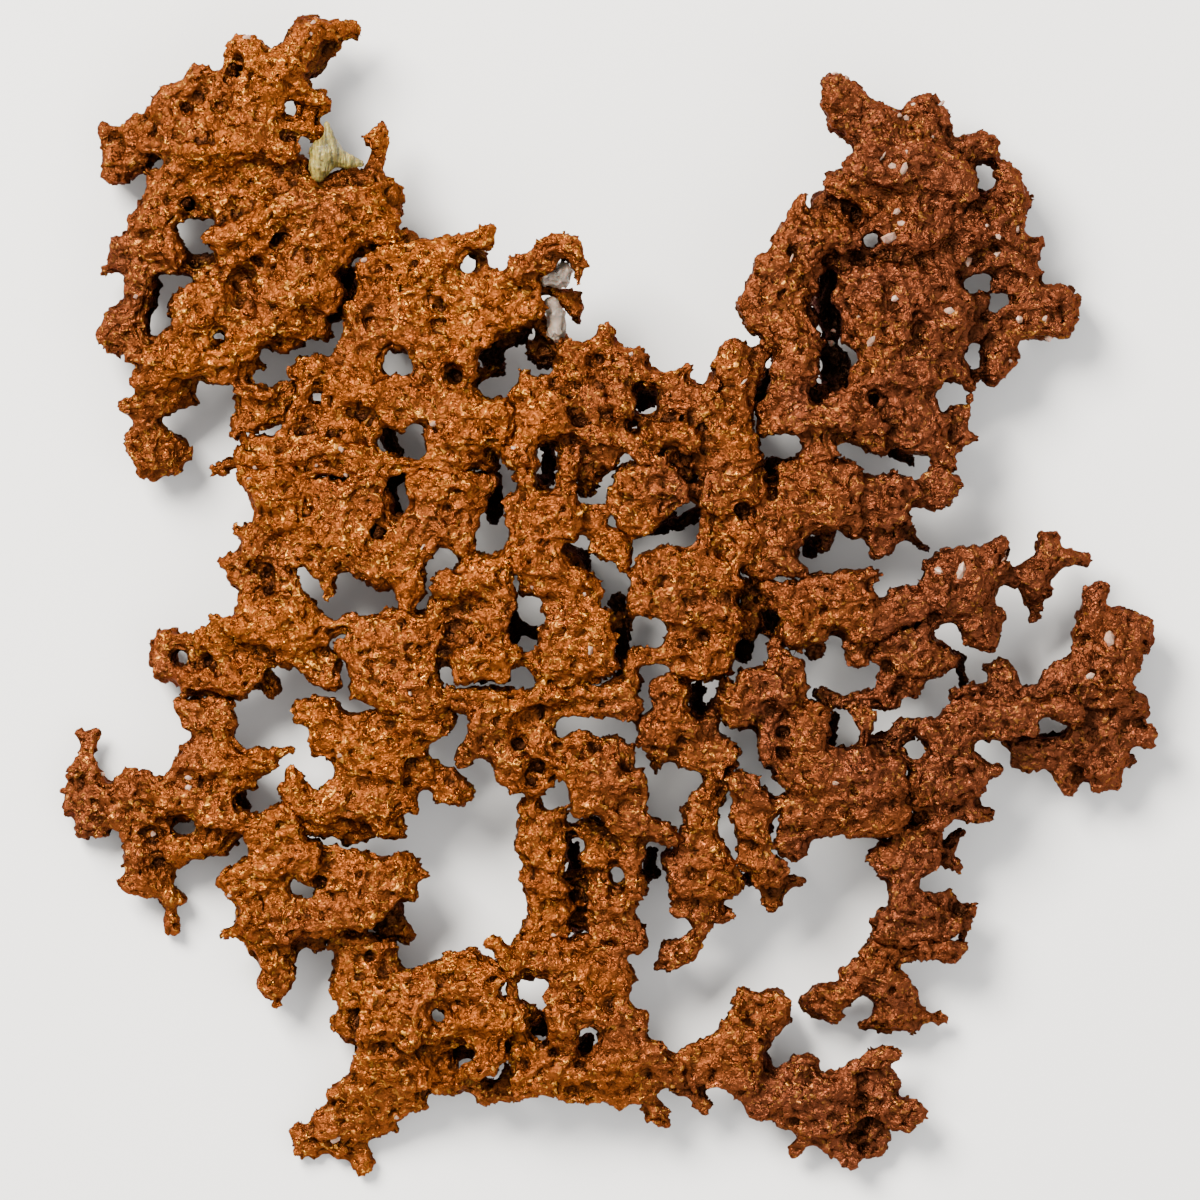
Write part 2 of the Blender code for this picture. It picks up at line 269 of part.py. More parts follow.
    "right_core": """
12 11 | 12.2 -10.6 1.3 | 13.8 -10.4 1.3 | 15.4 -10.2 1.3 | 12.4 -12 1.1 | 13.8 -11.9 1
12 11 | 13.9 -8.4 1.3 | 15.6 -8.3 1.4 | 17.2 -8.3 1.4 | 18.6 -8.4 1.2
11 11 | 16 -7.1 .9 | 17.5 -6.9 1.1 | 18.7 -6.8 .9
12 11 | 17.2 -9.8 1.4 | 18.4 -10.2 1
11 11 | 16.5 -12.2 .9 | 15.9 -13.2 1 | 15.9 -14.8 1.1 | 16.2 -15.8 1.1
11 11 | 17.9 -11.4 .9 | 19.3 -11.9 1.3 | 20.7 -11.8 1.2 | 19.3 -13.4 1.3 | 20.9 -13.4 1.2
11 11 | 19 -14.9 1.1 | 20.6 -14.9 1.2 | 18.4 -16.2 1.1
11 10 | 17.6 -17.3 1.3 | 19.1 -17.1 1.3 | 20.7 -16.8 1.3 | 22.4 -16.3 1.2 | 24 -16 1.1 | 25.6 -15.7 1
11 10 | 18.4 -18.4 1 | 20 -18.6 1.3 | 21.7 -18.2 1.3 | 23.4 -17.8 1.4 | 25.2 -17.9 1.4 | 27 -17.2 1.4
| 28.4 -17 1.2
10 10 | 19.4 -20 .9 | 21 -20 1.2 | 22.7 -19.8 1.3 | 24.4 -19.8 1.3 | 26.2 -19.6 1.4 | 28 -18.9 1.4
| 29.4 -19 1
10 9 | 18 -20.6 1 | 17.6 -22 1 | 19 -22 1.2 | 20.7 -21.6 1.3 | 22.4 -21.6 1.3 | 24.1 -21.5 1.3
| 25.8 -21.4 1.3 | 27.5 -21 1.3
9 9 | 17.9 -23.6 1.2 | 19.6 -23.2 1.1 | 21.2 -23 .9 | 22.8 -22.6 .9 | 24.5 -22.9 1 | 26.2 -22.8 1
| 27.8 -22.6 1.2 | 29.2 -21.4 1
9 8 | 17.1 -24.6 .9 | 18.3 -25 .9 | 19.4 -24.9 .5 | 18.4 -26.2 .25
9 9 | 25.6 -13 .7 | 24.9 -12 .6 | 24.4 -11.2 .7 | 25.9 -11.9 .8 | 25.4 -13.4 .6
7 7 | 26 -14.7 .9 | 27.3 -14.6 1 | 28.7 -14.2 1 | 29.3 -13.4 .9 | 30.6 -13 1 | 28.4 -12.8 .4
4 4 | 17.3 -13.8 .7 | 22 -13.2 .8 | 21.8 -14.9 .7 | 22.4 -12 .6
9 1.2 | 22.4 -18.6 2 | 22.4 -18.8 1.7
11 9.5 | 17.8 -6.6 .8 | 16.7 -5.6 .8 | 16.4 -4.6 .7
""",
    "arch_foot": """
11 10 | 13 -18.4 1.2 | 14.4 -18.6 1 | 13.6 -20 1.3 | 15 -19.9 1.2 | 16 -20.4 .8
10 10 | 13 -21.4 1.1 | 14.6 -21.6 1.1 | 13.9 -23 1.2 | 15.2 -22.9 1.1 | 15.3 -24 1
9 9 | 13.6 -24.9 1 | 15 -25.4 1.1 | 13.6 -26.2 .9 | 15.4 -26.8 1.3 | 16.9 -26.6 .8 | 15.2 -28 1.1
| 16.8 -27.8 .9 | 17.8 -27 .4
7 7 | 18 -28.2 .35 | 19.2 -28.4 .5
7 6 | 15.4 -29.2 .45 | 15.6 -30.4 .6 | 16.4 -30.7 .75 | 17 -30.4 .6 | 17 -29.2 .45
4 4 | 14 -28.2 .6
10 10 | 15.4 -22.6 .7 | 16.6 -21.2 .6 | 17.4 -20 .7
""",
    "right_shoulder": """
11 11 | 14.7 11.6 1.1 | 14.6 8.4 1.1 | 15.6 7.2 1.1
11 11 | 17.9 12.2 1.1 | 19.3 12.1 1.4 | 20.9 12.1 1.4 | 22.5 12.2 1.3 | 24 12.3 1.2
11 11 | 17.9 10.6 1.1 | 19.4 10.5 1.4 | 21 10.6 1.4 | 22.6 10.6 1.4 | 24.1 10.8 1.2
10 9 | 25.4 11 .9 | 27 10.8 1.2 | 28.5 11.1 1.2 | 29.8 10.8 .8 | 30.8 10.3 1
11 11 | 16.4 8.3 1.2 | 17.9 8.8 1.4 | 19.5 8.9 1.4 | 21.1 9 1.4 | 22.7 9 1.4 | 23.9 9.3 1.1
11 11 | 17 6.9 1.3 | 18.5 7.2 1.2 | 20.2 7.7 1 | 21.8 7.6 1.2 | 23.1 7.9 1
11 10 | 24.8 8.4 .7 | 24.3 7.4 .8 | 24.5 6.5 .8
10 10 | 26.1 9.2 1.1 | 27.4 9.1 1.4 | 28.8 9 1.1
10 10 | 26.9 7.4 1.1 | 28.2 7.4 1.2 | 29.2 7.9 .8
9 9 | 26.7 5.8 1.2 | 27.8 5.9 1.1 | 26.8 4.8 .9 | 27.7 4.9 .8 | 26.8 4.1 .4
9 8 | 20.9 6.8 .8 | 22.4 6.9 .6 | 21.2 5.2 .8
11 11 | 15.6 5.7 1.3 | 17.2 5.4 1.4 | 18.5 5.6 1
11 11 | 14.8 4.4 1.2 | 16.3 4 1.4 | 17.8 3.8 1.3
11 11 | 14.2 3.1 1 | 15.8 2.6 1 | 17.1 2.6 .7 | 18.5 2.7 .8 | 19.6 2.2 .5
5 5 | 20.1 5.6 .7 | 20.1 4.5 .7
5 5 | 16.3 10.6 .8 | 16.3 9.6 .8
7 6 | 30 6.4 .45 | 30.6 5.6 .5 | 31.2 5 .5 | 31.6 4.8 .45
8 8 | 31 10.2 1.1 | 32.4 10.3 1.3 | 33.5 10.3 1.1 | 34.2 11.2 .9
8 8 | 31.2 9.3 .7 | 32.6 9.7 .9 | 31.7 11.5 .9 | 33.2 12 1.1
""",
    "right_bridge": """
11 11 | 16.4 .8 .8 | 17.4 .4 .9 | 18.8 .5 .8 | 20.2 1.1 1.2 | 21.8 1 1.3 | 23.4 1.3 1.3 | 24.8 1.6 1.1
| 26 2.1 .7 | 26.7 2.3 .5
11 11 | 17 -.9 1 | 18.6 -.8 1.3 | 20.2 -.4 1.3 | 21.8 -.6 1.4 | 23.4 -.5 1.3 | 25 -.2 1.1 | 26.1 -.4 .8
11 10 | 18.4 -2.3 1.1 | 20 -2 1.4 | 21.6 -2.2 1.4 | 23.2 -2.1 1.4 | 24.8 -1.8 1.4 | 26.4 -1.8 1.2
| 27.5 -1.1 1
11 10 | 18.1 -3.8 1.1 | 19.4 -3.6 1.2 | 20.9 -3.4 1.1
10 10 | 24.2 -3.4 1.1 | 25.6 -3.4 1.3 | 27 -3 1.2 | 28.4 -2.1 1.2 | 29.9 -1.5 1.2 | 31.3 -.9 1.3
10 10 | 28.7 -.4 1.1 | 30 -.1 1.2
9 9 | 24.3 -4.8 1.1 | 25.4 -5.2 1.1 | 24.6 -6.3 .8 | 25.4 -6.4 .7
10 9 | 17.3 -3.2 .7 | 16.8 -4.4 .8
9 9 | 13.9 -1.7 1.1 | 14.6 -2.7 .9 | 14 -3.6 .8
9 9 | 13.7 .9 .7 | 14.1 1.4 .6
8 8 | 20.2 -5.8 .6 | 20.9 -5.4 .5
10 10 | 18.8 -5 .8
4 4 | 16.2 -2.2 .7 | 16.3 -3.3 .6
10 10.5 | 16.6 -1 .7 | 15.8 0 .6 | 15.7 1.6 .7
""",
    "right_arm": """
9 9 | 28 -4.2 1.1 | 29.6 -4.2 1.3 | 31.1 -3.8 1.1
9 8 | 26.6 -6 .6 | 27.2 -5.4 .7 | 28.8 -5.5 1 | 30.2 -5.4 1.2 | 31.8 -5.3 1.2 | 33 -6.1 1.1 | 34 -6.6 .9
9 8 | 29.2 -7 1 | 30.6 -7 1.2 | 32 -7 1.1 | 33.3 -7.2 .7
8 8 | 27.6 -8.3 .8 | 27.5 -9.6 .9 | 28 -10.4 .9
8 8 | 28.9 -7.9 .6 | 30 -8.6 1.1 | 30.6 -9.3 .8
8 7 | 24 -10.4 .8 | 25.3 -10.1 .9 | 26.6 -10.2 1
8 8 | 21.4 -9.8 1 | 22 -10.2 .9
4 4 | 35 -6.2 .35 | 35.1 -7.6 .45 | 35.3 -8.7 .35
10 9 | 32.4 2.4 1.2 | 33.9 3.4 1.3 | 35.5 3.6 1.3 | 37 3.7 1.2 | 38.4 4.5 1.1 | 39 4.9 .9
10 9 | 31.9 1 1.2 | 33.4 1.6 1.4 | 35 1.8 1.5 | 36.6 2.2 1.4 | 38 2.8 1.3 | 39.2 3.4 .7
10 9 | 31.4 -.5 1.2 | 32.8 -.2 1.4 | 34.4 .2 1.5 | 36 .4 1.5 | 37.4 .9 1.2
9 9 | 32.2 -1.8 .9 | 34.4 -1.6 1.1 | 35.8 -1.2 1.4 | 37.2 -.7 1.3
9 8 | 35.8 -2.8 1.1 | 37 -2.3 1.4 | 38.4 -2 1.1
8 8 | 36.2 -4.1 1 | 37.4 -3.9 1.3 | 38.1 -3.5 .9 | 37.6 -4.9 .7
8 7 | 38.6 2 1 | 40 1.8 .9 | 41.4 2 1.2 | 42.8 2.6 1.4 | 44 3.2 1.2
7 6 | 43.5 4 1 | 43.8 5.2 1.1 | 43.3 6 .65 | 44.4 6 .65
7 5 | 44.9 3.9 .9 | 46.2 3.8 .75 | 47.4 3.7 .75
7 5 | 42.6 1 1.4 | 43.2 .6 .8 | 42.1 .1 1 | 42.2 -.9 .8 | 42.4 -2 .6
""",
    "right_branch": """
9 8 | 31.6 -13.4 1.2 | 33.2 -13.4 1.1 | 34.8 -12.4 1.3 | 36.4 -12 1.3 | 38 -12 1.3 | 39.6 -11.6 1.3
| 41.2 -11.7 1.2 | 42.2 -11.8 1
8 8 | 35.6 -11 1 | 33 -12.9 .7 | 35 -10.4 .5 | 42.8 -11.2 1 | 44.6 -11 1.3 | 46.2 -11.6 1.3
9 8 | 33 -14.8 1.2 | 34.6 -14.2 1.3 | 35.9 -13.6 1 | 41.6 -13 .9 | 38.4 -13.2 .7
9 8 | 31.6 -16.8 1.2 | 33.2 -16.4 1.3 | 34.9 -16 1.3 | 36.4 -16.7 1.2 | 37 -17.8 .9 | 38.6 -17.2 .7
9 8 | 31 -18.4 1.3 | 32.8 -18.2 1.4 | 34.5 -18 1.3 | 36.2 -18.6 1.2 | 30.9 -20.1 1.2 | 32.6 -19.9 1.3
| 34.4 -19.6 1.2
8 6 | 35.4 -20.2 .7 | 35.8 -21.6 .8 | 37 -21.8 .8 | 37.7 -21.6 .7
8 7 | 32.2 -22.8 .8 | 33.4 -21.8 1 | 31 -23.6 .9 | 29.4 -23.4 1.1 | 32.6 -23.8 .8
5 5 | 35 -23.4 .5 | 34.3 -23.8 .4 | 33.8 -24.8 .4 | 33.9 -26.2 .6 | 34.6 -26.9 .7
3 3 | 31.3 -22 .5 | 33.3 -25 .5
7 7 | 27.4 -25.4 1 | 28.9 -25 1.2 | 30.4 -25 1.2 | 31.9 -25.2 1.1 | 26.4 -26 .8
7 7 | 27.6 -26.9 1.1 | 29.1 -26.8 1.2 | 30.7 -26.6 1.2 | 32 -26.4 .9 | 28.8 -28 1 | 30 -28.1 .9
7 7 | 29 -29.4 1.1 | 30.3 -29.8 1 | 29.2 -30.9 1.3 | 30.9 -31.2 1.2 | 32.4 -31.2 .9
6 6 | 27.8 -32.2 1.2 | 29.4 -32.4 1.3 | 31 -32.2 .9 | 33 -32 1 | 34.4 -32.4 .9 | 27.3 -33.4 1.2
| 29 -33.8 1.2 | 33.6 -33.2 1
5 5 | 26.2 -32.1 .35 | 26.1 -32.3 .3
5 4 | 33.9 -29.6 .5 | 34.3 -30.4 .6 | 34.5 -31 .45
5 4 | 36.4 -30.8 .5 | 36 -31.4 .6 | 35.4 -32 .4 | 35.7 -30.8 .4 | 35.4 -33.4 .6
7 1.1 | 32.8 -18.6 1.8 | 32.8 -18.8 1.6
5 7 | 34.2 -30 .6 | 32.6 -30 .6 | 30.9 -29.9 .7
8.5 8 | 30.6 -17.4 .7 | 29.6 -16.4 .6 | 28.8 -15.2 .7
""",
    "right_lobe": """
6 6 | 47.8 .3 .8 | 48.9 .7 .9
6 6 | 48.3 -.6 1 | 48.4 -1.9 1.3
6 5 | 47.9 -2.2 1.1 | 49.8 -2.3 1.1 | 51.4 -2.5 1.2 | 53.1 -3.1 1.1
6 5 | 47.6 -3.6 1.3 | 49.2 -3.8 1.4 | 50.8 -3.8 1.4 | 52.4 -4.2 1.4 | 53.2 -4.4 1.1
6 6 | 47.2 -5.2 1 | 48.6 -5.4 1.4 | 50.2 -5.4 1.5 | 51.7 -5.6 1.3
6 6 | 45.3 -7.1 .9 | 46.8 -6.8 1.3 | 48.4 -7 1.5 | 50 -7 1.5 | 51.4 -7.1 1.3
6 6 | 44.5 -7.8 1.1 | 46 -8.4 1.4 | 47.6 -8.6 1.4 | 49.4 -8.6 1.4 | 50.9 -8.6 1.3
6 6 | 36.2 -9.9 .9 | 37.9 -9.7 1 | 39.6 -9.6 1.3 | 41.2 -10 1.1 | 42.8 -9.9 1.1 | 44.4 -9.6 1.3
6 5 | 45.9 -10 1.4 | 47.6 -10.2 1.4 | 49.4 -10.2 1.5 | 51.2 -10.2 1.4 | 52.6 -10.4 1.1
6 6 | 39 -6.9 1 | 39.4 -8.2 1.3 | 40.1 -7.8 .9
5 5 | 37.6 -7 .45 | 38.2 -7.1 .4
6 5 | 39.4 -14.4 .4 | 40.8 -14.9 1.1 | 42.4 -15 1.1 | 44 -15.1 1.2 | 45.6 -15 1.2 | 46.8 -13.9 1.3
| 47.4 -12.4 1.3 | 49 -11.8 1.1
5 5 | 40.9 -16.3 .9 | 42 -16.5 .9 | 44 -16.4 .9 | 45.6 -16.3 1.1 | 47.2 -15.8 1.2 | 48.6 -14.2 1.3
| 50 -13.6 1.1 | 51.8 -14 .9 | 53.3 -14 1 | 53.9 -13.4 .6
5 4 | 45.3 -17.9 .9 | 45.9 -18.9 .8 | 45.1 -17 .9
5 4 | 48.2 -17.3 1.1 | 49.8 -17 1.3 | 50.4 -15.6 1.2 | 51.2 -16.2 .9 | 49.2 -18.4 1.1 | 50.2 -18.6 .9
5 4 | 51.6 -11.3 .9 | 52.9 -11.3 .9
2 2 | 52.2 -16.2 .5
5 1.1 | 49.6 -13.4 1.7 | 49.8 -13.4 1.5
5 1.1 | 50.6 -4 1.6 | 50.8 -4 1.4
7 7.5 | 36.6 -9.4 .7 | 35.4 -9.4 .7 | 34.6 -9.9 .7
""",
    "upper_right_lobe": """
9 9 | 22.6 50.6 1.4 | 22.9 49.2 1.7 | 23.2 47.6 1.6 | 24.2 46.8 1.3
9 9 | 23.6 51.2 .7 | 25 48.4 1.3 | 26.6 47.8 1.3 | 28.2 47.3 1.2
9 9 | 24.8 46 1.4 | 26.4 46.2 1.4 | 28 45.8 1.4
8 8 | 30.2 47.9 1 | 31.6 48.7 1.2 | 32.4 47.9 1.2 | 33 46.6 1.1
8 8 | 30 46.4 1.4 | 31.6 46.2 1.4 | 33.2 45.4 1.1
8 7 | 34.8 43.6 1.3 | 36.2 44.4 1.5 | 37.3 44.7 1.4 | 37 45.6 .7
10 9 | 25.6 44.2 1.5 | 27.3 44 1.6 | 29 43.8 1.6 | 30.8 43.8 1.7 | 32.8 43.4 1.7 | 34.6 42.4 1.6
| 35.8 41.6 .8
10 9 | 25 42.4 1.6 | 26.8 42 1.7 | 28.6 41.8 1.7 | 30.4 41.6 1.7 | 32.2 41.2 1.7 | 34 40.6 1.7
| 35.4 39.8 1.1
9 8 | 22.7 40.9 1.3 | 24.3 40.6 1.6 | 26.2 40.2 1.5 | 28 40 1.6 | 29.6 39.8 1.5 | 31.4 39.2 1.5
| 33.2 38.6 1.6 | 34.8 37.8 1.3
7 7 | 21.4 39 1.3 | 23 38.8 1.5 | 24.2 38.4 1.2
8 8 | 20.4 37.4 1.2 | 22.2 37 1.5 | 23.6 36.6 1.2
9 9 | 19.3 39.7 .5 | 18.9 38.6 .7 | 18.8 37.4 1
10 10 | 18.4 36.4 1.2 | 17.8 35 1.4 | 19.4 35.4 1.3 | 21.2 35.4 1.4 | 22.8 35.6 1.3 | 24.2 35.4 1.1
9 9 | 25.7 36.6 .5 | 27.4 37 .9 | 28 38.2 1.3 | 26.6 38.6 1.3
9 9 | 30.2 37.6 1.4 | 31.8 37 1.5 | 33 36.2 1.3
9 9 | 28.6 35.2 1.4 | 30.2 35.6 1.5 | 31.8 35 1.5 | 28 36.2 .8
8 8 | 35 36.2 1.2 | 35.2 35 1.2 | 34.8 33.8 .8
7 7 | 39.4 42.2 .9 | 39.9 41 1.3 | 40.4 39.6 1.4 | 40.2 38.2 1.4 | 40.2 37 1.2
5 5 | 36.9 39.8 .9
7 7 | 38.2 39.4 1.3 | 38.4 37.8 1.5 | 38.2 36.2 1.5 | 39.8 35.8 1.4 | 41 35.2 1.1
8 8 | 36.6 37.6 1.3 | 36.6 36 1.3 | 36.4 34.8 .8
7 6 | 35.6 32.4 .8 | 40.6 34 1 | 40.4 33 .8 | 41.4 32.6 1.1 | 42.4 32.4 .8 | 43 32.2 .4
6 6 | 43 35.4 .5 | 42.6 35 .9 | 42 34 1
6 6 | 39 31 .9 | 40.4 30.6 .8 | 41.6 31.2 .9 | 42 30.2 1.2
6 5 | 40.8 28.6 .9 | 42 28.8 1.6 | 43.6 29 1.8 | 45 29.2 1.6 | 46.2 29.2 .9
5 5 | 44.6 30.2 .9 | 45.2 30.7 .5
6 5 | 40 27.4 .8 | 41.4 26.9 1.5 | 43 27 1.6 | 44.6 27.2 1.4 | 45.4 26.8 .8 | 46.3 28 .7
6 6 | 39.9 26 .9 | 39.4 25 1.2 | 38.2 24.2 1.2 | 37.6 25.1 .6 | 39.6 23.8 1
6 5 | 38.6 22.8 1.3 | 37.6 22.3 1 | 38.4 21.4 .6
7 7 | 36.9 29.6 .9 | 36.6 28.2 1 | 36.2 26.9 .9 | 36.6 25.8 .8
8 8 | 25.2 33.2 1.1 | 26.8 33.4 1.5 | 28.4 33.4 1.6 | 30 33.4 1.6 | 31.6 33.2 1.6 | 33.2 33.2 1.4
10 9 | 24 31.2 1.3 | 25.6 31.4 1.6 | 27.4 31.6 1.6 | 29.2 31.4 1.6 | 31 31.3 1.6 | 32.8 31.4 1.5
| 34 32.2 1
10 9 | 23.3 29.6 1 | 25 29.4 1.6 | 26.8 29.6 1.6 | 28.6 29.4 1.6 | 30.4 29.4 1.6 | 32.2 29.4 1.6
| 34 29.6 1.5 | 35.2 29.2 1.1
10 10 | 24.6 27.4 1.4 | 26.2 27.4 1.6 | 28 27.4 1.6 | 29.2 27.2 1.1
9 9 | 32 27.6 1.3 | 33.6 27.6 1.6 | 35 27.4 1.2
10 10 | 24 25.9 1 | 25.6 25.6 1.5 | 27.4 25.4 1.6 | 29 25.2 1.1
9 8 | 32 25.6 1.3 | 33.6 25.4 1.5 | 35 25 .9
10 9 | 25.6 23.8 1 | 27.2 23.6 1.5 | 28.8 23.4 1.5 | 30.2 23.2 1.3 | 31.4 23.6 1.2
8 7 | 33.2 23.2 1.4 | 34.6 22.6 1.3 | 35.4 21.5 .8 | 36.2 20.8 .6
10 9 | 25.4 21.7 1.2 | 27 21.6 1.5 | 28.6 21.4 1.4 | 30 21.2 1.2 | 31.6 21.8 1.2 | 32.6 21.2 .8
11 10 | 15.6 32.6 1.4 | 17.2 32.8 1.6 | 18.8 32.8 1.6 | 20.2 32.6 1.3
11 10 | 14.8 31 1.2 | 16.4 30.8 1.6 | 18.2 30.8 1.6 | 19.8 30.6 1.2
11 10 | 14 29 1.3 | 15.6 29 1.6 | 17.4 29 1.6 | 19 28.9 1.2
11 10 | 14.4 27.4 1.2 | 16 27.2 1.6 | 17.8 27.2 1.6 | 19.4 27.4 1.2
11 10 | 16.4 25.7 1.1 | 18 25.6 1.5 | 19.6 25.4 1.3 | 20.6 25 .8
11 11 | 17.6 23.8 1.4 | 19 23.4 1.5 | 20.3 23.6 .9
11 11 | 17.2 22.2 1.2 | 18.8 22 1.4 | 20 22 1
11 11 | 16.8 20.4 .9 | 18 20 1.2 | 19.2 19.4 1.1
5 5 | 21.8 33 1.2 | 22 31 1.1 | 21.4 29 1.1 | 22.2 27 1.1
10 10 | 21.8 19 1.1 | 23.4 19.2 1.2 | 24.8 19.4 1.1
11 10 | 18.3 16.8 .9 | 19.4 17.4 1.3 | 21 17.6 1.5 | 22.8 17.6 1.5 | 24.6 17.6 1.4 | 26.2 17.4 1.3
| 27 16.4 1
10 9 | 20.2 15.9 1.1 | 21.4 15.8 .8 | 23.4 16.2 1 | 25 16 1.1 | 26.4 15.2 .9 | 27.2 14.4 .7
9 8 | 28 19.8 1.2 | 29.6 19.4 1.5 | 31.2 19 1.3 | 31.9 18.2 1
9 8 | 29 17.6 1.4 | 30.6 17.2 1.5 | 32.2 16.8 1.4 | 33.6 17.4 .9
7 7 | 34.6 18.4 .8 | 35.6 18.4 .7 | 34.4 16.8 .9 | 35 15.8 .8 | 36.4 15.8 .5 | 34.8 15 .5
9 8 | 29.6 15.6 1.2 | 31 15.6 1.3 | 32.4 15.2 1.3 | 33.6 14.6 .9 | 32.6 13.9 .7 | 33.4 13.4 .9
| 34.2 13 .6
5 5 | 28.4 15 .8 | 29 14.3 .7 | 29.8 13.5 .35 | 30.2 13.1 .25
11 11 | 15.4 18.4 .9 | 16.2 17.4 1 | 15.4 16.4 .8 | 17.8 18.4 1 | 16.8 16.6 .8
11 11 | 20.4 14.4 1.1 | 21.8 14.2 1 | 19.8 13.6 1
5 5 | 21.8 24.4 .9 | 23 23.2 1.2 | 23.4 21.6 1.2 | 21.7 21.8 .7
7 7 | 16.2 13.2 .8 | 16 12.5 .8 | 18 13.2 .6
8 1.3 | 29 42 2 | 29.4 41.6 1.7
7 1.2 | 29 30.6 2 | 29 30 1.7
5 1.2 | 43 28 1.7 | 43.2 27.8 1.5
7 6.5 | 36.8 26 .8 | 38.2 26.9 .7 | 39.4 28.1 .7 | 40.6 28.6 .8
6 8 | 23.2 21.2 .9 | 21.8 20.6 .8 | 20.3 20.4 .8
8 9 | 22.6 33 .9 | 23.6 33.6 .8 | 24 35 .8
""",
    "upper_left_lobe": """
4 4 | -50 46.5 .75 | -49.9 45.2 .8 | -49.3 44 1 | -49.2 42.9 1.2 | -49.3 42 .9
4 5 | -49.2 42 .9 | -48.1 42.6 1.4 | -47 43.4 1.4 | -45.8 43.9 1.2
4 6 | -48 45.6 .7 | -47.3 46.4 1.3 | -45.6 46.7 1.4 | -44.5 47.4 1.5
5 7 | -47.2 44.9 1.2 | -45.6 44.9 1.2 | -44.8 44.7 .8
7 8 | -44.3 48.6 1.5 | -43.9 49.7 1 | -42.7 49.8 1.1 | -41.6 50.6 1.1 | -40.6 51.6 1.1 | -40 52.3 .6
7 8 | -43.6 48.4 1.2 | -43.2 46.8 1.1 | -42 45.8 1.1 | -43.8 45.9 .9 | -43.2 44.4 1.1
5 5 | -42.2 48.8 .8 | -40.9 50 .9 | -39.9 51 .8 | -39.2 51.7 .5
8 8 | -38.3 51.4 .8 | -38.4 50.2 1.1 | -39.4 49.5 .8 | -37.5 49.6 1
8 9 | -41 46 .9 | -40.6 48.3 .7 | -39.4 47.6 1 | -38.9 46.2 1.3 | -37.3 46.9 1.3 | -36.2 48.3 1.5
| -34.6 49.6 1.7
9 8 | -36.5 50.2 .8 | -35.2 51.6 1.3 | -34.7 53.2 1.3 | -35.3 54.4 1.2 | -36.6 55 .8 | -37.5 54.3 .6
| -37.6 53.3 .5
9 8 | -33.2 51 1.7 | -31.8 52.6 2 | -30.9 54.2 1.9 | -29.8 55.7 1.7
8 5 | -29 56.4 1.1 | -28 56.2 1.2 | -26.7 56.2 .8 | -25.6 56.4 .9 | -25 55.9 .6
5 5 | -29.3 52.6 .8 | -28.5 53.3 .7 | -28.2 54.2 .9 | -27.3 54.7 .8
9 8 | -32 50.8 1.3 | -30.6 50.4 1 | -30 49.5 1.1 | -28.8 49 1.1 | -28 48.5 .7
9 8 | -33.9 48.4 1.2 | -33.7 46.8 1.2 | -31.8 46.8 .6 | -30.4 46.9 .9 | -29.2 46.3 .9 | -28.6 45.7 .6
9 9 | -41.4 43.9 1.3 | -39.6 43.8 1.3 | -37.9 44.2 1.5 | -36 44.6 1.6 | -34.2 45 1.5 | -32.8 44 1.2
| -31.4 44 1
8 8 | -43.4 42.2 1 | -41.8 42.1 1.3 | -40 41.8 1.5 | -38.2 42.4 1.3 | -36.2 43.2 1.2
8 7 | -40.5 40.4 1.2 | -39.7 39.3 1.1 | -39.6 38.3 .8 | -40.9 38 .7
9 9 | -35.9 47.3 1.5 | -35.4 46.2 1.5 | -33.2 47.6 .9 | -32.6 49.6 .8
8 8 | -31.2 42.6 1.2 | -33.2 42.9 1.2 | -34.4 42 1.1 | -35.8 41 1.1 | -37.2 39.8 1.1 | -38 38.4 1
8 8 | -38.3 37.6 .9 | -36.8 37.9 1.1 | -35.2 39.2 1.3 | -33.5 40.6 1.4 | -31.8 41 1.4
9 8 | -30 41 1.2 | -28.2 40.6 1.2 | -26.7 41.2 1.2 | -25.2 41.6 .9 | -23.6 41.6 1.1
7 6 | -23.2 42.4 .8 | -22.9 43.6 .8 | -22.9 44.8 .9 | -22.6 46 .8 | -22.4 46.6 .5
7 7 | -23.4 45.5 .5 | -24.1 45.6 .4
8 7 | -22.2 41 .9 | -21.1 40.4 .8 | -21.2 39 .9 | -20.9 38.3 .8
10 10 | -39.4 35.5 .9 | -38 35.4 1.4 | -36.3 36 1.6 | -34.5 37 1.7 | -32.7 38.2 1.7 | -30.8 39 1.7
10 10 | -29 39 1.6 | -27 39.2 1.6 | -25.2 39.6 1.5 | -23.4 39.6 1.4 | -22.6 37.9 1.2 | -21.7 37.4 1
9 10 | -37.7 33.5 1.6 | -36 34.2 1.5 | -34.5 35 1.4 | -33.4 36.4 1.2 | -31.4 37 1.2 | -29.6 36.8 1.6
10 10 | -27.8 37 1.7 | -26 37.2 1.5 | -24.6 37.4 1.1 | -24.3 35.9 1 | -22.6 35.9 1.2 | -21.7 35.6 1
10 10 | -30.4 35 1.4 | -28.7 35 1.7 | -27 35.3 1.7 | -25.9 34.3 1 | -27.4 33.4 1.4
8 8 | -24.2 34.4 .9 | -23 34.4 1.1 | -21.8 34.4 1 | -20.2 35.6 .9 | -20.1 34.4 .8
9 10 | -34.7 33.6 1.2 | -34 32 1.3 | -33.7 30.4 1.4 | -33.6 28.6 1.5 | -33.5 26.8 1.3
10 10 | -32.2 33.1 1.3 | -30.6 32.8 1.5 | -29 32.5 1.6 | -28 31.7 1.1
10 10 | -32 31 1.4 | -30.4 30.5 1.6 | -28.8 30.2 1.6 | -27.3 30.2 1.1 | -27.6 28.9 .9
10 8 | -31.8 29 1.5 | -31.4 27.2 1.6 | -29.8 26.9 1.4 | -28.6 26.6 1.1 | -27.9 26.2 .7
8 8 | -32.6 25.4 1.1 | -31.1 25.6 1.1
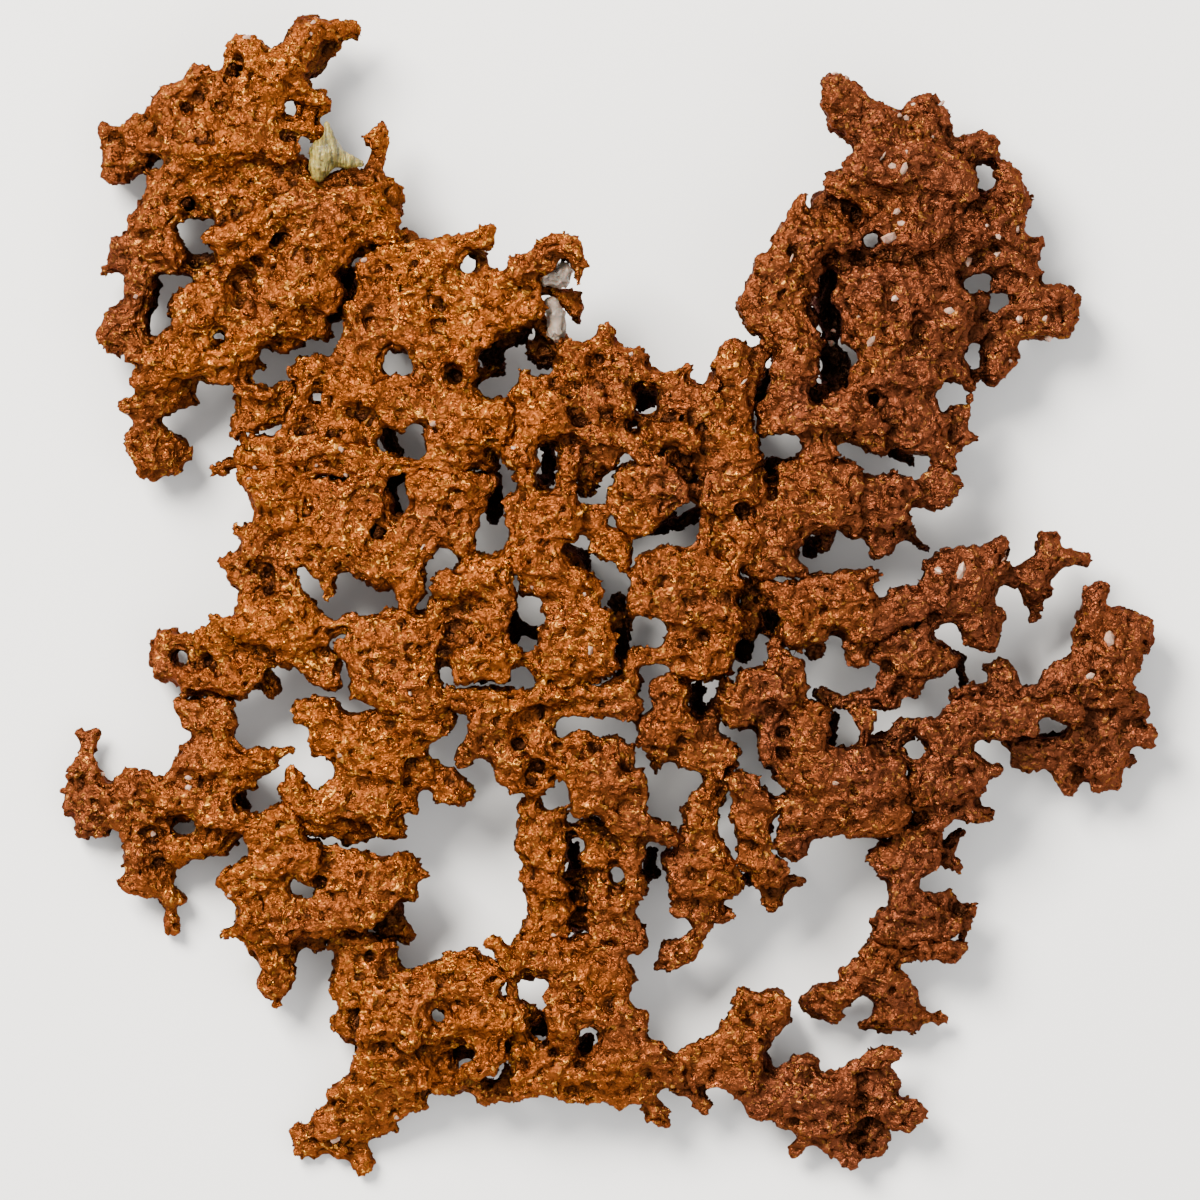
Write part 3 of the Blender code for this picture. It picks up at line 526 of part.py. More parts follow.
8 8 | -40.2 31.8 1 | -39 31.9 1.3 | -37.7 31.8 1.2 | -36.5 32.2 1
5 6 | -41.9 33.1 1 | -40.8 32.6 1 | -39.8 33.4 .8
9 9 | -42 28.7 1.6 | -40.5 29.7 1.5 | -38.9 30 1.5 | -37.6 29.6 1.1
9 9 | -42 26.9 1.5 | -40.3 27.6 1.5 | -38.7 27.8 1.4 | -37.2 28 1.2 | -35.8 27.3 1.3
9 9 | -36.6 25.9 1.2 | -35.2 25.8 1.3 | -34 25.6 .8
8 9 | -43.4 25 1.4 | -41.8 25 1.4 | -40.4 25.7 .9 | -40.2 24.4 1.1
8 9 | -44.8 23.6 1.6 | -43 23.2 1.6 | -41.2 23.2 1.5 | -39.4 23.5 1.4 | -37.7 23.7 1.2 | -36.2 24.3 1.2
| -35 24.5 .8
8 7 | -39 22 1.1 | -37.5 22.1 1.2 | -36.4 22.7 1 | -35.2 23 .6 | -34.3 22.8 .5
8 5 | -46.3 21.2 1 | -44.9 21.4 1.5 | -43.4 21.5 1.3 | -42.1 21 .9 | -41.5 20 .6 | -40.8 19.2 .35
5 5 | -41.6 19.4 .4 | -42.6 19.5 .8
7 6 | -48.1 18.9 .7 | -46.8 18.9 1 | -45.4 19.5 1.4 | -43.8 19.6 1.3
6 5 | -46.2 17.7 1 | -45.6 16.5 1.3
5 4 | -46.9 15.5 1.3 | -45.3 15.5 1.5 | -43.7 15.2 1.2 | -42.3 14.5 .9 | -41.5 14 .5
5 4 | -46.2 13.9 1.3 | -44.6 13.8 1.5 | -43.3 13.3 1.1 | -43.1 12.5 .6
4 3 | -45.9 12.8 1 | -44.9 12.7 .8 | -45.4 11.7 .45
4 4 | -47.8 15 .5 | -48 14.6 .3
7 8 | -44.9 41.4 1 | -44.4 40.2 1.5 | -45.1 38.7 1.6 | -43.6 38.3 1.1 | -42.6 37.6 .7
8 8 | -43.2 41 .9 | -42.6 39.8 .6
7 8 | -46.2 37.1 1.6 | -44.7 36.8 1.5 | -43.8 35.6 1.1
6 8 | -48.2 34.6 1.5 | -46.6 35 1.7 | -45 34.4 1.7 | -43.2 34 1.5
6 8 | -47.6 33.2 1.4 | -46 33.2 1.3 | -44.2 33.2 1 | -42.8 32.9 1.1
5 4 | -49.2 32.9 .8 | -50 32.4 .7
7 6 | -46.4 31.7 1.4 | -46.4 30.3 1.4 | -46.9 28.9 1.4 | -47.3 27.4 1.5
6 5 | -48.8 27.2 1.4 | -49.5 26.1 1.3 | -48.6 25 1.1 | -49.6 24.6 .6
4 4 | -45.5 28.8 .5 | -45 30.4 .5 | -45.2 31.6 .4
6 7 | -46.7 26 1.3 | -46.3 24.9 1.3 | -47.4 23.9 .8
8 8 | -36.6 20.7 .7 | -35.2 20.3 .8 | -34.3 20.6 .5
7 8 | -36.2 19.2 .9 | -36.2 18 1 | -36.9 16.9 .8 | -37 16.2 .7
8 8 | -34.6 18.4 .9 | -33.5 18 .8 | -32.3 18.2 1
8 8 | -32.6 20.3 1 | -31.5 20.7 .8 | -31.6 19.2 .9
9 9 | -33.4 19.9 .7 | -34.6 19.9 .4
6 6 | -25.8 32 1 | -25.6 30.4 1 | -26.8 28.2 .9
5 5 | -31.8 35.2 .7 | -37 40.6 .8 | -35.4 42 .7
5 5 | -41 32.9 .6 | -36.3 31 .8
8 1.2 | -34.2 45.4 1.8 | -34.6 45 1.6
8 1.1 | -36 29.4 1.6 | -36.4 29 1.5
4 1.1 | -45.4 15 1.3 | -45.6 14.8 1.3
8 8 | -33.6 17.6 .8 | -34.9 17 .7 | -36.6 16.8 .7
""",
    "left_shelf": """
10 10 | -36.1 12.4 .9 | -35 11.4 1.2 | -33.2 11.6 1.5 | -31.4 11.6 1.4
10 10 | -34.4 9.8 1.2 | -32.8 9.9 1.5 | -31.3 9.8 1.2
9 10 | -34.5 8.4 .7 | -34.2 7.2 .9 | -32.8 6.9 1.2 | -31.2 7.2 1.4
10 10 | -32.2 8.4 .9 | -30.9 8.6 .9
8 9 | -36.8 6.7 .5 | -36 6.4 .9 | -35 5.8 1.3 | -33 5.5 1.1
9 9 | -35.2 4.6 1.2 | -33.8 4.1 1 | -32.4 4.6 1.2 | -32.4 3.4 1.1 | -32.3 2.2 .8
7 8 | -38.3 3.4 .5 | -37.2 3.4 .9 | -35.9 3.1 1.3 | -34.8 3.2 1
7 8 | -36.6 2 1.2 | -35.4 1.7 1.3 | -34.6 1.3 .9
8 8 | -35.6 -.4 1.1 | -34.4 -.5 .7 | -34.4 -1.6 .8
8 9 | -36 -1.8 1.1 | -34.6 -2.2 1.2 | -33.2 -1.4 .9 | -32.6 -.3 .8
8 9 | -37.3 -3.1 1.2 | -35.8 -3.3 1.3 | -34.2 -3.6 1.1 | -32.7 -2.9 1.3
7 7 | -39.1 -2.3 .6 | -38.9 -3.3 .7 | -38.9 -4.2 .6
6 7 | -40.5 -3.8 .7 | -40.3 -4.8 .8 | -39 -5.2 .7 | -37.5 -5.1 1 | -36.2 -4.8 1
4 5 | -44.2 -4.6 1.2 | -42.6 -4.4 1 | -41.2 -4.7 .8
4 4 | -44.4 -5.6 1.2 | -44 -7.1 1.3 | -43.2 -7.7 .9
5 5 | -40.8 -5.6 .8 | -40.8 -6.8 .8
5 7 | -42.3 -7.9 1.1 | -41.1 -8.3 1.2 | -39.7 -8.4 1.2 | -38.1 -8.6 1.3 | -36.6 -8.9 1.1
6 7 | -38.3 -6.4 1 | -36.9 -6.4 1.2 | -35.5 -6.9 1.1 | -34.9 -7.7 .8
6 6 | -38.3 -7.4 1 | -36.9 -7.8 1.1
5 5 | -42 -9.3 .7 | -40.6 -9.3 .6 | -38.9 -9.5 .8 | -37.4 -9.4 .8 | -36.3 -9.6 .6
5 5 | -34.3 -6.6 .5 | -33.8 -7.7 .6 | -33.6 -8.9 1.1
9 9 | -33.1 -.6 .7 | -32.1 .1 .9 | -31.3 -.5 1.1 | -30.1 -.6 1 | -29.7 -1 .8
9 9 | -32.4 -2.2 1.2 | -30.8 -2.2 1.3 | -29.4 -2.3 1.1 | -28.2 -2.9 1 | -27.4 -3.2 .8
9 9 | -32.3 -4.5 1.1 | -31 -4 1.3 | -29.6 -3.9 1.2 | -28.3 -4.2 .9
8 8 | -32.3 -5.8 .9 | -31 -5.6 1.3 | -29.6 -5.4 1.2 | -29.6 -6.9 1 | -29.3 -8 .7
8 8 | -27.5 -5.9 .8 | -27.4 -7 .9 | -27.6 -8.3 1 | -26.9 -8.8 .6
9 9.5 | -27.4 -3.5 .8 | -26.4 -2.8 .8 | -25.2 -2.4 .8
7.5 7 | -32.6 -6.4 .7 | -34 -6.2 .7 | -35.6 -5.5 .7
9 9.5 | -31.3 -.2 .7 | -31.2 1.2 .7 | -31.4 3 .7
""",
    "left_arm": """
6 6 | -42.4 -10.9 .9 | -41 -11.4 1.2 | -39.3 -11.2 1.2 | -38.1 -10.9 1
6 6 | -41.2 -12.8 1 | -39.8 -12.8 1.3 | -38.2 -12.6 1.2 | -39.4 -14 1.2 | -38.1 -14.2 1.1
6 6 | -41.2 -15.5 1.2 | -39.6 -15.6 1.4 | -38 -15.6 1.3 | -36.9 -15.6 .9
6 7 | -41.9 -16.6 1.2 | -40.3 -16.8 1.4 | -38.6 -16.9 1.4 | -36.8 -16.9 1.3 | -35.4 -16.5 1.2
| -34.1 -16.4 1.1 | -33.3 -16 .8
7 7 | -34.5 -15.8 .9 | -33 -15.5 .6 | -32 -15.4 .5 | -31.4 -15.3 .35
5 6 | -43.2 -18 1 | -41.9 -18.1 1 | -40.4 -18.3 1 | -38.8 -18.1 1 | -37 -18.4 1.1 | -35.7 -18.4 .9
5 6 | -44.2 -19.4 1.3 | -42.6 -19.6 1.2 | -41 -19.6 1.2 | -39.4 -19.5 1.2 | -38 -19.6 1
5 6 | -44 -21 1.2 | -42.4 -21 1.1 | -40.8 -21 1.1 | -39.4 -21 1.2 | -38 -20.8 1
6 7 | -39.8 -22.4 1.1 | -38.4 -22.2 1.2 | -36.9 -22.3 1.2 | -35.4 -22.8 1.1 | -34 -22.6 1
5 5 | -39.8 -23.7 1.1 | -38.4 -23.9 1.2 | -37.4 -24 .8
5 4 | -38.6 -25 .9 | -40.2 -24.8 1.2 | -41.8 -25 1.3 | -43.4 -25.2 1.4 | -42.6 -26 1
3 3 | -36.6 -20.3 .6 | -35.9 -20.9 .5
4 4 | -46 -18.1 .9 | -47.4 -18 .9 | -48.4 -18.8 1
4 3 | -45.6 -20 1.4 | -47.4 -20.2 1.6 | -49.2 -20 1.5 | -50.8 -19.6 1.4 | -52 -20.4 1.2
4 3 | -45.4 -21.6 1.3 | -47.2 -21.6 1.4 | -49 -21.5 1.4 | -50.8 -21.3 1.4 | -52.4 -21.2 1
4 4 | -43.9 -22.4 .8 | -45.4 -22.4 .8
3 3 | -51.8 -22.8 1.1 | -50.6 -22.9 1.1 | -50.8 -23.5 .6
2 2 | -53.6 -20.4 .8 | -53.7 -21.2 .7 | -53.7 -19.6 .6 | -53.5 -18.8 .35
3 2 | -51.2 -18.2 1.1 | -51.6 -17 1 | -52.9 -17.4 .9 | -52 -15.8 .8
2 2 | -51.5 -14.9 .6 | -51.8 -14 .7 | -52.5 -14 .5 | -50.9 -13.7 .5
4 3 | -47.4 -23.8 1 | -46.9 -25 1.2 | -46.6 -26.4 1.4 | -46.2 -27.8 1.4 | -44.8 -28 1
3 3 | -48.1 -28.5 .7 | -46.9 -28.8 1 | -45.8 -29.4 .7
3 2 | -44.8 -29.2 .9 | -43.6 -30 1.1 | -42.7 -30 .8
2 1 | -43.4 -31.4 .6 | -43.4 -32.3 .8 | -43.4 -33.1 .8
3 3 | -45 -24 .6 | -43.7 -28.2 .5
3 3 | -43.9 -23.3 .6
3 1.1 | -49 -21 1.5 | -49 -21 1.4
""",
    "lower_left": """
8 8 | -30.2 -10.8 .9 | -28.8 -11 1.1 | -27.2 -10.9 .9 | -30.8 -12 .6
8 9 | -29 -12.6 1.1 | -27.6 -12.2 1.2 | -26.2 -12.8 1.1 | -24.6 -12.6 1.1 | -23 -12.4 1.2
| -22.2 -11.6 .9
8 9 | -28.7 -14.2 1.1 | -27.2 -14 1.3 | -25.6 -14.2 1.3 | -24 -14 1.3 | -22.4 -14 1.2
8 9 | -28.6 -15.2 .9 | -27.2 -15.4 1.1 | -25.7 -15.8 1.2 | -24.1 -15.7 1.3 | -22.5 -15.6 1.3
| -21 -15.6 1.3
8 9 | -26 -16.9 1 | -24.4 -17.1 1.1 | -22.9 -17.1 1.2 | -21.3 -17 1.2
10 9 | -20 -12.2 1.1 | -19.8 -13.6 1.1 | -19.2 -15.2 1.1 | -18.4 -14.6 .9
10 10 | -18.6 -12.2 1.1 | -17.4 -12.4 1.2 | -16 -12.2 1 | -15.5 -11.6 .7 | -17.6 -13.5 .9
| -16.2 -13.1 .8
8 8 | -19.3 -17.6 .7 | -18.2 -17 1 | -16.9 -17.3 1 | -15.6 -17.6 .8 | -18.6 -18.4 .9
8 8 | -16.6 -18.9 1 | -16.2 -19.7 .9 | -15 -19.6 1.2 | -13.9 -19.6 .9 | -14.8 -18.6 .7 | -17 -20.2 .4
8 8 | -29.4 -20.2 .9 | -28 -19.8 1 | -26.6 -18.9 1.1 | -25.2 -19.2 1 | -23.8 -19.6 1.1 | -22.4 -20 1.1
| -22.9 -18.1 .5
8 8 | -20.9 -18.3 .9 | -20.9 -19.7 1 | -19.8 -20.4 1 | -19.3 -21.1 .5
8 8 | -31.3 -20.6 1 | -29.8 -21.5 1.2 | -28.2 -21.4 1.3 | -26.6 -20.6 1.3 | -25 -21 1.3
| -23.4 -21.3 1.2 | -21.8 -21.5 1.2
8 7 | -22.2 -22.9 1 | -21.2 -23.2 .9 | -20.4 -23.4 .7
7 6 | -29.1 -23 1.1 | -27.6 -22.8 1.1 | -26.2 -23 1.1 | -25.2 -23.4 1 | -23.9 -23.4 .8 | -26 -24.1 .9
8 8 | -31.2 -17.7 .8 | -31 -18.8 1.1 | -31.8 -19.6 .9
""",
    "lower_left_block": """
8 8 | -33.8 -21.9 .9 | -32.4 -21.8 1.2 | -31.2 -22.6 1.2
8 8 | -35.2 -23.8 1 | -33.6 -23.7 .8 | -32.2 -23.8 1.2 | -30.8 -24.4 1
8 8 | -35 -25.2 .9 | -32.5 -25.4 1.2 | -31 -25.8 1.3 | -29.6 -25.6 1.3 | -29.2 -26.8 1.2 | -30 -27.4 .9
7 8 | -37.6 -28.2 1.3 | -36.2 -27.6 1.2 | -34.8 -27 1.3 | -33.2 -27.2 1.2 | -31.8 -26.8 1.1
7 7 | -37.3 -29.2 1 | -35.8 -29.2 1.3 | -34.2 -29 1.3 | -32.8 -28.8 1.2 | -32.4 -30.2 .9
7 7 | -35.6 -31 1 | -35.6 -32.4 1.3 | -34.2 -32.4 1.2 | -33.8 -30.6 1
6 6 | -37.8 -33.3 .6 | -36.6 -33.2 .7 | -35.2 -33.8 1 | -33.6 -33.8 1
7 7 | -32.4 -31.9 1.2 | -31 -31.4 .9 | -32 -33.4 1.2 | -30.4 -32.8 1.3
7 8 | -28.4 -29.6 .8 | -27 -29.2 1.2 | -25.4 -29 1.3 | -23.8 -28.8 1.3 | -22.2 -28.8 1.3
| -20.6 -28.9 1.3 | -19.7 -29.6 .8
7 8 | -27 -25.4 .9 | -26 -26 1 | -26.8 -27.6 1.2 | -25 -27.2 1.3 | -23.4 -27.4 1.2 | -21.9 -27.2 1.2
| -20.3 -27 1.5 | -20.5 -26.2 1 | -19.2 -27.8 .7 | -18 -27.6 .35
7 8 | -28 -31 1.2 | -26.4 -30.8 1.2 | -24.8 -30.6 1.3 | -23.2 -30.5 1.2 | -21.9 -30.4 .9
7 8 | -29 -32.6 1.2 | -27.4 -32.5 1.2 | -25.8 -32.2 1.2 | -24.2 -32 1.1 | -22.9 -31.6 .7
4 4 | -22.4 -33 1 | -21 -32.8 .9 | -20.4 -33.6 .9 | -23.2 -26.1 .6 | -21 -31.9 .5
5 4 | -34.6 -34.4 1.3 | -33 -34.8 1.2 | -33.4 -36.4 1.1 | -31.9 -36 1 | -33 -37.8 1.2 | -31.9 -37.6 .9
| -33.6 -38.7 1.2 | -32.4 -38.6 1 | -32.9 -39.8 .5 | -32.9 -40.4 .35
4 4 | -30.8 -34.3 .7 | -29.5 -34.6 .6 | -28.5 -34.4 .8
5 1.1 | -34 -33.4 1.6 | -34 -33.8 1.4
7 7 | -28.4 -31.1 .8 | -30 -30.7 .7 | -31.8 -30.3 .7
7 7 | -22 -26.8 .7 | -23.6 -26 .6 | -25.6 -25.6 .7
""",
    "middle_foot": """
9 9 | -12.1 -34.6 .35 | -11.1 -34.3 .6 | -10.4 -35.6 .9 | -9.6 -36.9 1.2
8 8 | -8.4 -34.9 1.1 | -7 -35 1.2 | -5.4 -35 1.3 | -3.8 -34.9 1.2 | -2.2 -34.9 1.2 | -.8 -35 1.1
8 8 | -8.8 -36.6 1.2 | -7.2 -36.4 1.2 | -5.6 -36.5 1.3 | -4 -36.6 1.3 | -2.3 -36.5 1.2 | -1 -36.6 1
8 8 | .2 -34.9 .8 | .8 -36.6 1 | 1.6 -37.8 1.1 | 1.4 -38.9 1 | .2 -38.1 1.1
8 8 | -9.4 -38.2 .7 | -9.6 -40.1 .6 | -9 -41.4 1 | -8.6 -42.7 .9
8 8 | -5 -38.2 1 | -3.6 -38.2 1.2 | -2 -38 1.3 | -1.2 -39.4 1.1 | .2 -39.6 .8
8 8 | -6.1 -39.7 .5 | -5.3 -39.8 .8 | -4 -39.8 1 | -2.6 -39.8 1
9 8 | -5.6 -41.2 .9 | -4.2 -41.2 1.1 | -2.8 -41 1 | -1.4 -41.6 1.1 | .1 -42 1.2 | 1.6 -41.6 1.1
| 2.2 -40.9 .5
9 8 | -5 -42.6 1 | -3.8 -43 1 | -5.2 -43.9 .9 | -3.6 -44.2 .9
8 8 | .2 -43.3 1.1 | 1.8 -42.9 1.2 | 3.2 -43.2 .9 | 3.4 -41.9 .6 | 3.5 -41.2 .45
8 8 | -.4 -45 1 | 1.2 -44.6 1.2 | 2.6 -44.6 1.1 | 4 -44.9 .9 | 5 -44.9 .9
7 7 | -7.6 -44.7 .9 | -6.6 -45.6 1 | -5.4 -45.6 1.1 | -4 -45.4 1.1 | -7.2 -46.6 1 | -5.6 -46.8 1.1
| -4.2 -46.6 1.1
7 7 | -8.6 -48.2 1.1 | -7.2 -48.2 1.2 | -5.8 -48.1 1 | -4.2 -47.4 .9 | -3.1 -47.8 .8
7 6 | -8.8 -49.2 .7 | -7.6 -49 .7 | -6.2 -48.8 .7 | -4.8 -49.5 .6 | -4.1 -49.8 .5
6 6 | -2.4 -48.7 .8 | -1.6 -49 .8 | -3 -50.1 .5 | -2.3 -50.1 .5 | -1.3 -49.5 .6
8 7 | -1.2 -46.4 1.1 | .4 -46.4 1.3 | 2 -46.3 1.3 | 3.6 -46.2 1.1 | 5.2 -46.3 1.1 | 6.6 -46.6 1.1
7 6 | -.6 -47.8 1.3 | .8 -48 1.4 | 2.4 -47.7 1.2 | 4 -47.6 1.1 | 5.6 -47.7 1 | 7.2 -47.6 1.1
6 6 | -.2 -49.2 1 | 1.2 -49.4 1 | 1 -50.2 .8 | 1.1 -50.7 .4 | 4.2 -49 .8
5 4 | 4.2 -50.2 .8 | 4.8 -51.2 1 | 5.3 -51.9 .8 | 5.7 -52.4 .5 | 3.4 -50.9 .25
4 4 | -2 -44.2 .8 | -2.1 -46 .7 | -7.4 -41.9 .8 | -7.9 -43.4 .6
9 9 | 3.2 -34.6 .7 | 3.1 -35 .5 | 2.4 -34.6 .5
6 7 | -8.7 -47.8 .8 | -9 -46 .8 | -8.9 -44.2 .8 | -8.7 -43 .8
6 7 | -7.2 -41.7 .8 | -8.2 -41 .7 | -9.4 -40.3 .7
""",
    "left_foot": """
5 5 | -27 -34.8 1 | -25.4 -34.8 1.3 | -23.8 -34.6 1.2 | -22.2 -35 1.2 | -26.9 -33.8 .9
5 5 | -26.2 -36.6 1.2 | -24.6 -36.6 1.4 | -23 -36.4 1.3 | -21.8 -36.6 1.1 | -22.4 -37.6 1
5 5 | -26.4 -38.6 1.2 | -25 -38.4 1.4 | -26.4 -39.8 1 | -25.2 -40 1.1
4 4 | -26.3 -42.4 1.2 | -25.4 -43.2 1.3 | -25.8 -41.8 1
6 7 | -23.4 -38.4 1 | -22.6 -39.4 1 | -23.7 -40.2 1 | -20.4 -38.2 1.1 | -18.8 -38.2 1.2
| -17.2 -37.4 1.3
7 8 | -20.2 -39.9 1.1 | -18.8 -39.8 1.2 | -17.2 -39.4 1.3 | -15.6 -39.2 1.3 | -14 -39 1.3
| -12.4 -39 1.3
7 8 | -15.6 -36.4 1.2 | -14.8 -37.6 1.3 | -13.6 -36 1.1 | -13.2 -37.5 1.2 | -11.8 -36.9 1.1
| -11 -37.8 1
7 8 | -23.6 -42 1.2 | -22.2 -41.8 1.1 | -20.8 -41.6 1.1 | -19.2 -41.5 1.1 | -18.3 -41.9 .9
7 8 | -15.4 -40.9 1.2 | -14 -40.8 1.3 | -12.4 -40.8 1.3 | -11 -40.6 1.2 | -9.9 -41.6 1.1
7 8 | -24 -43.6 1.1 | -22.5 -43.2 1.1 | -20.8 -43.3 1.2 | -19.6 -44.2 1.3 | -19 -43 1
7 8 | -17.2 -43.5 1 | -16 -43.2 .9 | -14.6 -42.3 1.2 | -13 -42.4 1.3 | -11.4 -42.3 1.3 | -10 -43 .9
7 8 | -13.4 -44 1 | -12 -44 1.2 | -12.2 -45.4 1 | -11 -45.6 1 | -11.9 -46.6 1 | -13 -47 .9
6 6 | -16.6 -44.3 .9 | -15.6 -44.3 .8 | -17.8 -45 .8
6 6 | -24 -45.6 1 | -23 -45.9 .9 | -20.4 -45.6 1.1 | -19 -46 1.1 | -20.2 -44.6 1
5 6 | -24.4 -46.9 1.2 | -22.8 -47 1.2 | -21.3 -47 1.2 | -19.8 -47 1.1 | -18.2 -46.9 1.2 | -18.2 -48.2 1
4 5 | -25.6 -48.6 1.2 | -24 -48.6 1.3 | -22.5 -48.4 1.3 | -21 -48.5 1.3 | -19.4 -48.5 1.2
3 4 | -27 -49.6 1 | -25.6 -50 1.3 | -24 -50 1.4 | -22.4 -50 1.4 | -20.8 -50 1.3 | -19.3 -49.9 1.1
| -18.7 -50.3 .7
2 3 | -28.6 -51.9 1 | -27.2 -51.4 1.2 | -25.6 -51.6 1.3 | -24 -51.6 1.3 | -22.4 -51.4 1.3 | -21 -51.1 1
2 2 | -28.4 -53.2 1 | -27 -53 1.2 | -25.4 -53.2 1.3 | -24 -53 1.2 | -22.8 -52.6 1 | -21.7 -52.6 .8
1 1 | -28.4 -54.3 1.1 | -26.9 -54.8 1.1 | -25.2 -54.2 1 | -26.9 -55.2 .8
1 1 | -30.9 -53.2 .8 | -30.6 -54.2 1 | -30.3 -55 1 | -29.3 -55 .9
1 1 | -24.4 -55.2 .8 | -24.4 -56.2 1.1 | -24.3 -57 .8
5 5 | -17.2 -46.6 .6 | -15.8 -46.2 .8 | -16.6 -48.4 1.2 | -15.3 -48.4 1.1 | -15.9 -47.2 .7
5 5 | -13.8 -48.6 .8 | -12.6 -48.6 1.1 | -12 -49.6 1.1 | -11 -48.7 .9 | -10.4 -49.3 .7 | -9.4 -49.8 .5
| -9.9 -47.2 .6
4 4 | -21.5 -38.9 .7 | -22 -44.5 .5 | -10.6 -45.2 .8 | -9.8 -44.6 .7
6 1.2 | -14.2 -41 1.8 | -14.2 -41.4 1.6
6 7 | -14.8 -48.2 .8 | -14 -47 .7
""",
    "right_foot": """
6 6 | 8.4 -47 1.1 | 9.9 -46.8 1.2 | 11.2 -46 1.2 | 10.9 -44.9 .9 | 8.6 -48.2 .9 | 10 -48.2 .8
5 4 | 7.2 -48.8 .9 | 8.4 -49.3 .7 | 9.4 -50.4 .9 | 9.5 -51 .6
6 6 | 11.9 -43.6 1 | 12.8 -42.4 1.1 | 12.4 -44.8 1.1 | 13.8 -44.4 1.3 | 14.8 -43.6 1.2
5 5 | 13.4 -39.6 .8 | 13.3 -40.8 .9 | 14.8 -40.6 1.1 | 16.4 -40.2 1.2 | 17.3 -40.6 1 | 16.8 -39.6 .7
5 5 | 14 -41.8 1.2 | 15.6 -41.8 1.2 | 17 -41.8 1.1 | 16 -43.2 1 | 15.2 -44.4 .9
6 6 | 12.6 -46.4 1.2 | 14.1 -45.8 1.3 | 14.3 -46.9 1.1 | 12.6 -47.9 1.2 | 14.2 -48.4 1.3 | 11.4 -48 .9
5 5 | 13.4 -49.6 .9 | 14.9 -49.8 1.1 | 14 -50.4 .5 | 15.2 -51.6 .8 | 15.6 -50.6 .9
5 5 | 16.2 -48.3 1 | 17.6 -48.2 1.2 | 18.7 -47.4 1.1 | 19.9 -46.6 1.1 | 18.8 -46.4 .9 | 17 -47.3 .4
5 5 | 16.6 -50 1.2 | 18 -49.8 1.3 | 19.6 -49.2 1.3 | 21.2 -49.4 1.2 | 22.6 -49.2 1.1 | 24 -49 1
| 20.6 -48.1 .9 | 22.2 -48.1 .6
4 4 | 17.6 -51.6 1.2 | 19 -51.4 1.3 | 20.6 -51.2 1.3 | 22.2 -51 1.3 | 23.8 -50.8 1.2
4 4 | 18.9 -52.8 1 | 20.4 -53 1.2 | 22 -52.8 1.3 | 23.4 -52.4 1.1 | 24.3 -51.9 .8
3 2 | 19.4 -54 .8 | 18.8 -55 .7 | 18.5 -55.4 .5
3 3 | 21.8 -54.4 1 | 23.2 -54.2 1 | 22.8 -55 .8 | 24.2 -55.3 .8 | 24.2 -56.4 .75 | 24.8 -55.9 .5
5 5 | 26.4 -45.4 .7 | 27.6 -45.2 .6 | 28.8 -45.4 .5 | 26.4 -46.4 .9 | 25.6 -47 .7
4 4 | 26.2 -48 1.1 | 27.6 -47.8 1 | 28.2 -48.4 .8 | 26.4 -49.6 1 | 28 -49.7 1
4 4 | 26.6 -51.1 1 | 28 -51 1.1 | 29.4 -50.9 1.1 | 30.6 -50.9 .8 | 31.5 -51.6 .4
4 4 | 28.4 -52.2 .9 | 29.8 -52.4 .8 | 29.7 -52.9 .5
2 2 | 25.8 -53.6 .9 | 26.6 -53.2 1.1 | 26.2 -54.2 .8 | 27.4 -54 .8 | 27 -55 .7 | 26 -55.6 .5
1 1 | 24.6 -53.6 .6 | 25.2 -55.2 .6 | 25.3 -50.9 .6
4 1.1 | 14.6 -46.8 1.8 | 14.6 -47 1.6
4 1.1 | 20.6 -51.6 1.7 | 20.8 -51.8 1.5
6 7 | 12 -43.4 .9 | 10.4 -44.2 .8 | 8.4 -45.2 .8 | 7 -46.1 .8
5 5 | 28.4 -45.2 .6 | 26.6 -45.9 .7 | 24.6 -46.8 .7 | 22.6 -47.9 .7
""",
    "lower_right_branch": """
5 5 | 27 -34.8 1.1 | 28.4 -34.9 .9 | 26 -35.8 1 | 27.4 -36.4 1.3 | 24.8 -36.8 1 | 25.8 -37.6 1.2
| 28.6 -35.6 .5
5 4 | 23.9 -37.4 .9 | 24.2 -38.9 1.1 | 22.9 -39.8 1.2 | 21.4 -39.6 1.2 | 20.6 -40.4 1.1 | 22.3 -41.2 1.1
5 4 | 27.7 -38 1.1 | 29.3 -38.3 .9 | 26.4 -39.1 .9 | 27.7 -39.6 1.3 | 29.2 -39.8 1.3 | 30.2 -39.6 .8
4 3 | 27.4 -41.4 1.2 | 28.8 -41.6 1.3 | 30 -41.4 1.1 | 26.2 -42.4 .6 | 25.4 -42.6 .45 | 28.2 -42.7 .7
3 2 | 31.6 -41.8 .5 | 32.6 -41.8 .6 | 33.2 -42.2 .6
3 3 | 30.3 -42.9 .7
6 5 | 31.4 -34.7 .9 | 31.6 -35.6 .8 | 32.8 -34.6 .4 | 33.8 -34.9 .9 | 33.6 -35.8 .6 | 34.5 -35.9 .5
| 35.2 -34.9 .6 | 30.4 -35.6 .4
4 1.1 | 28.2 -39.8 1.6 | 28.2 -40 1.4
""",
}
minerals = {
    "green_mineral_crust": """
9.5 9.5 | -27.9 46.8 .45 | -27.6 45.4 .75 | -28 44 1.5 | -28.5 42.8 1.2 | -28.8 41.5 .6
9.3 9.0 | -28 44 1.2 | -26.6 43.4 1 | -25.4 43.1 .7 | -24.4 42.9 .4
""",
    "white_calcite_upper": """
11.6 11.4 | -6 31.6 .9 | -5 31.6 1.35 | -4.4 32.2 1
""",
    "white_calcite_lower": """
10.6 10.2 | -5.7 29 .7 | -5.2 27.9 .95 | -5.1 26.6 .95 | -4.9 25.5 .6
""",
}


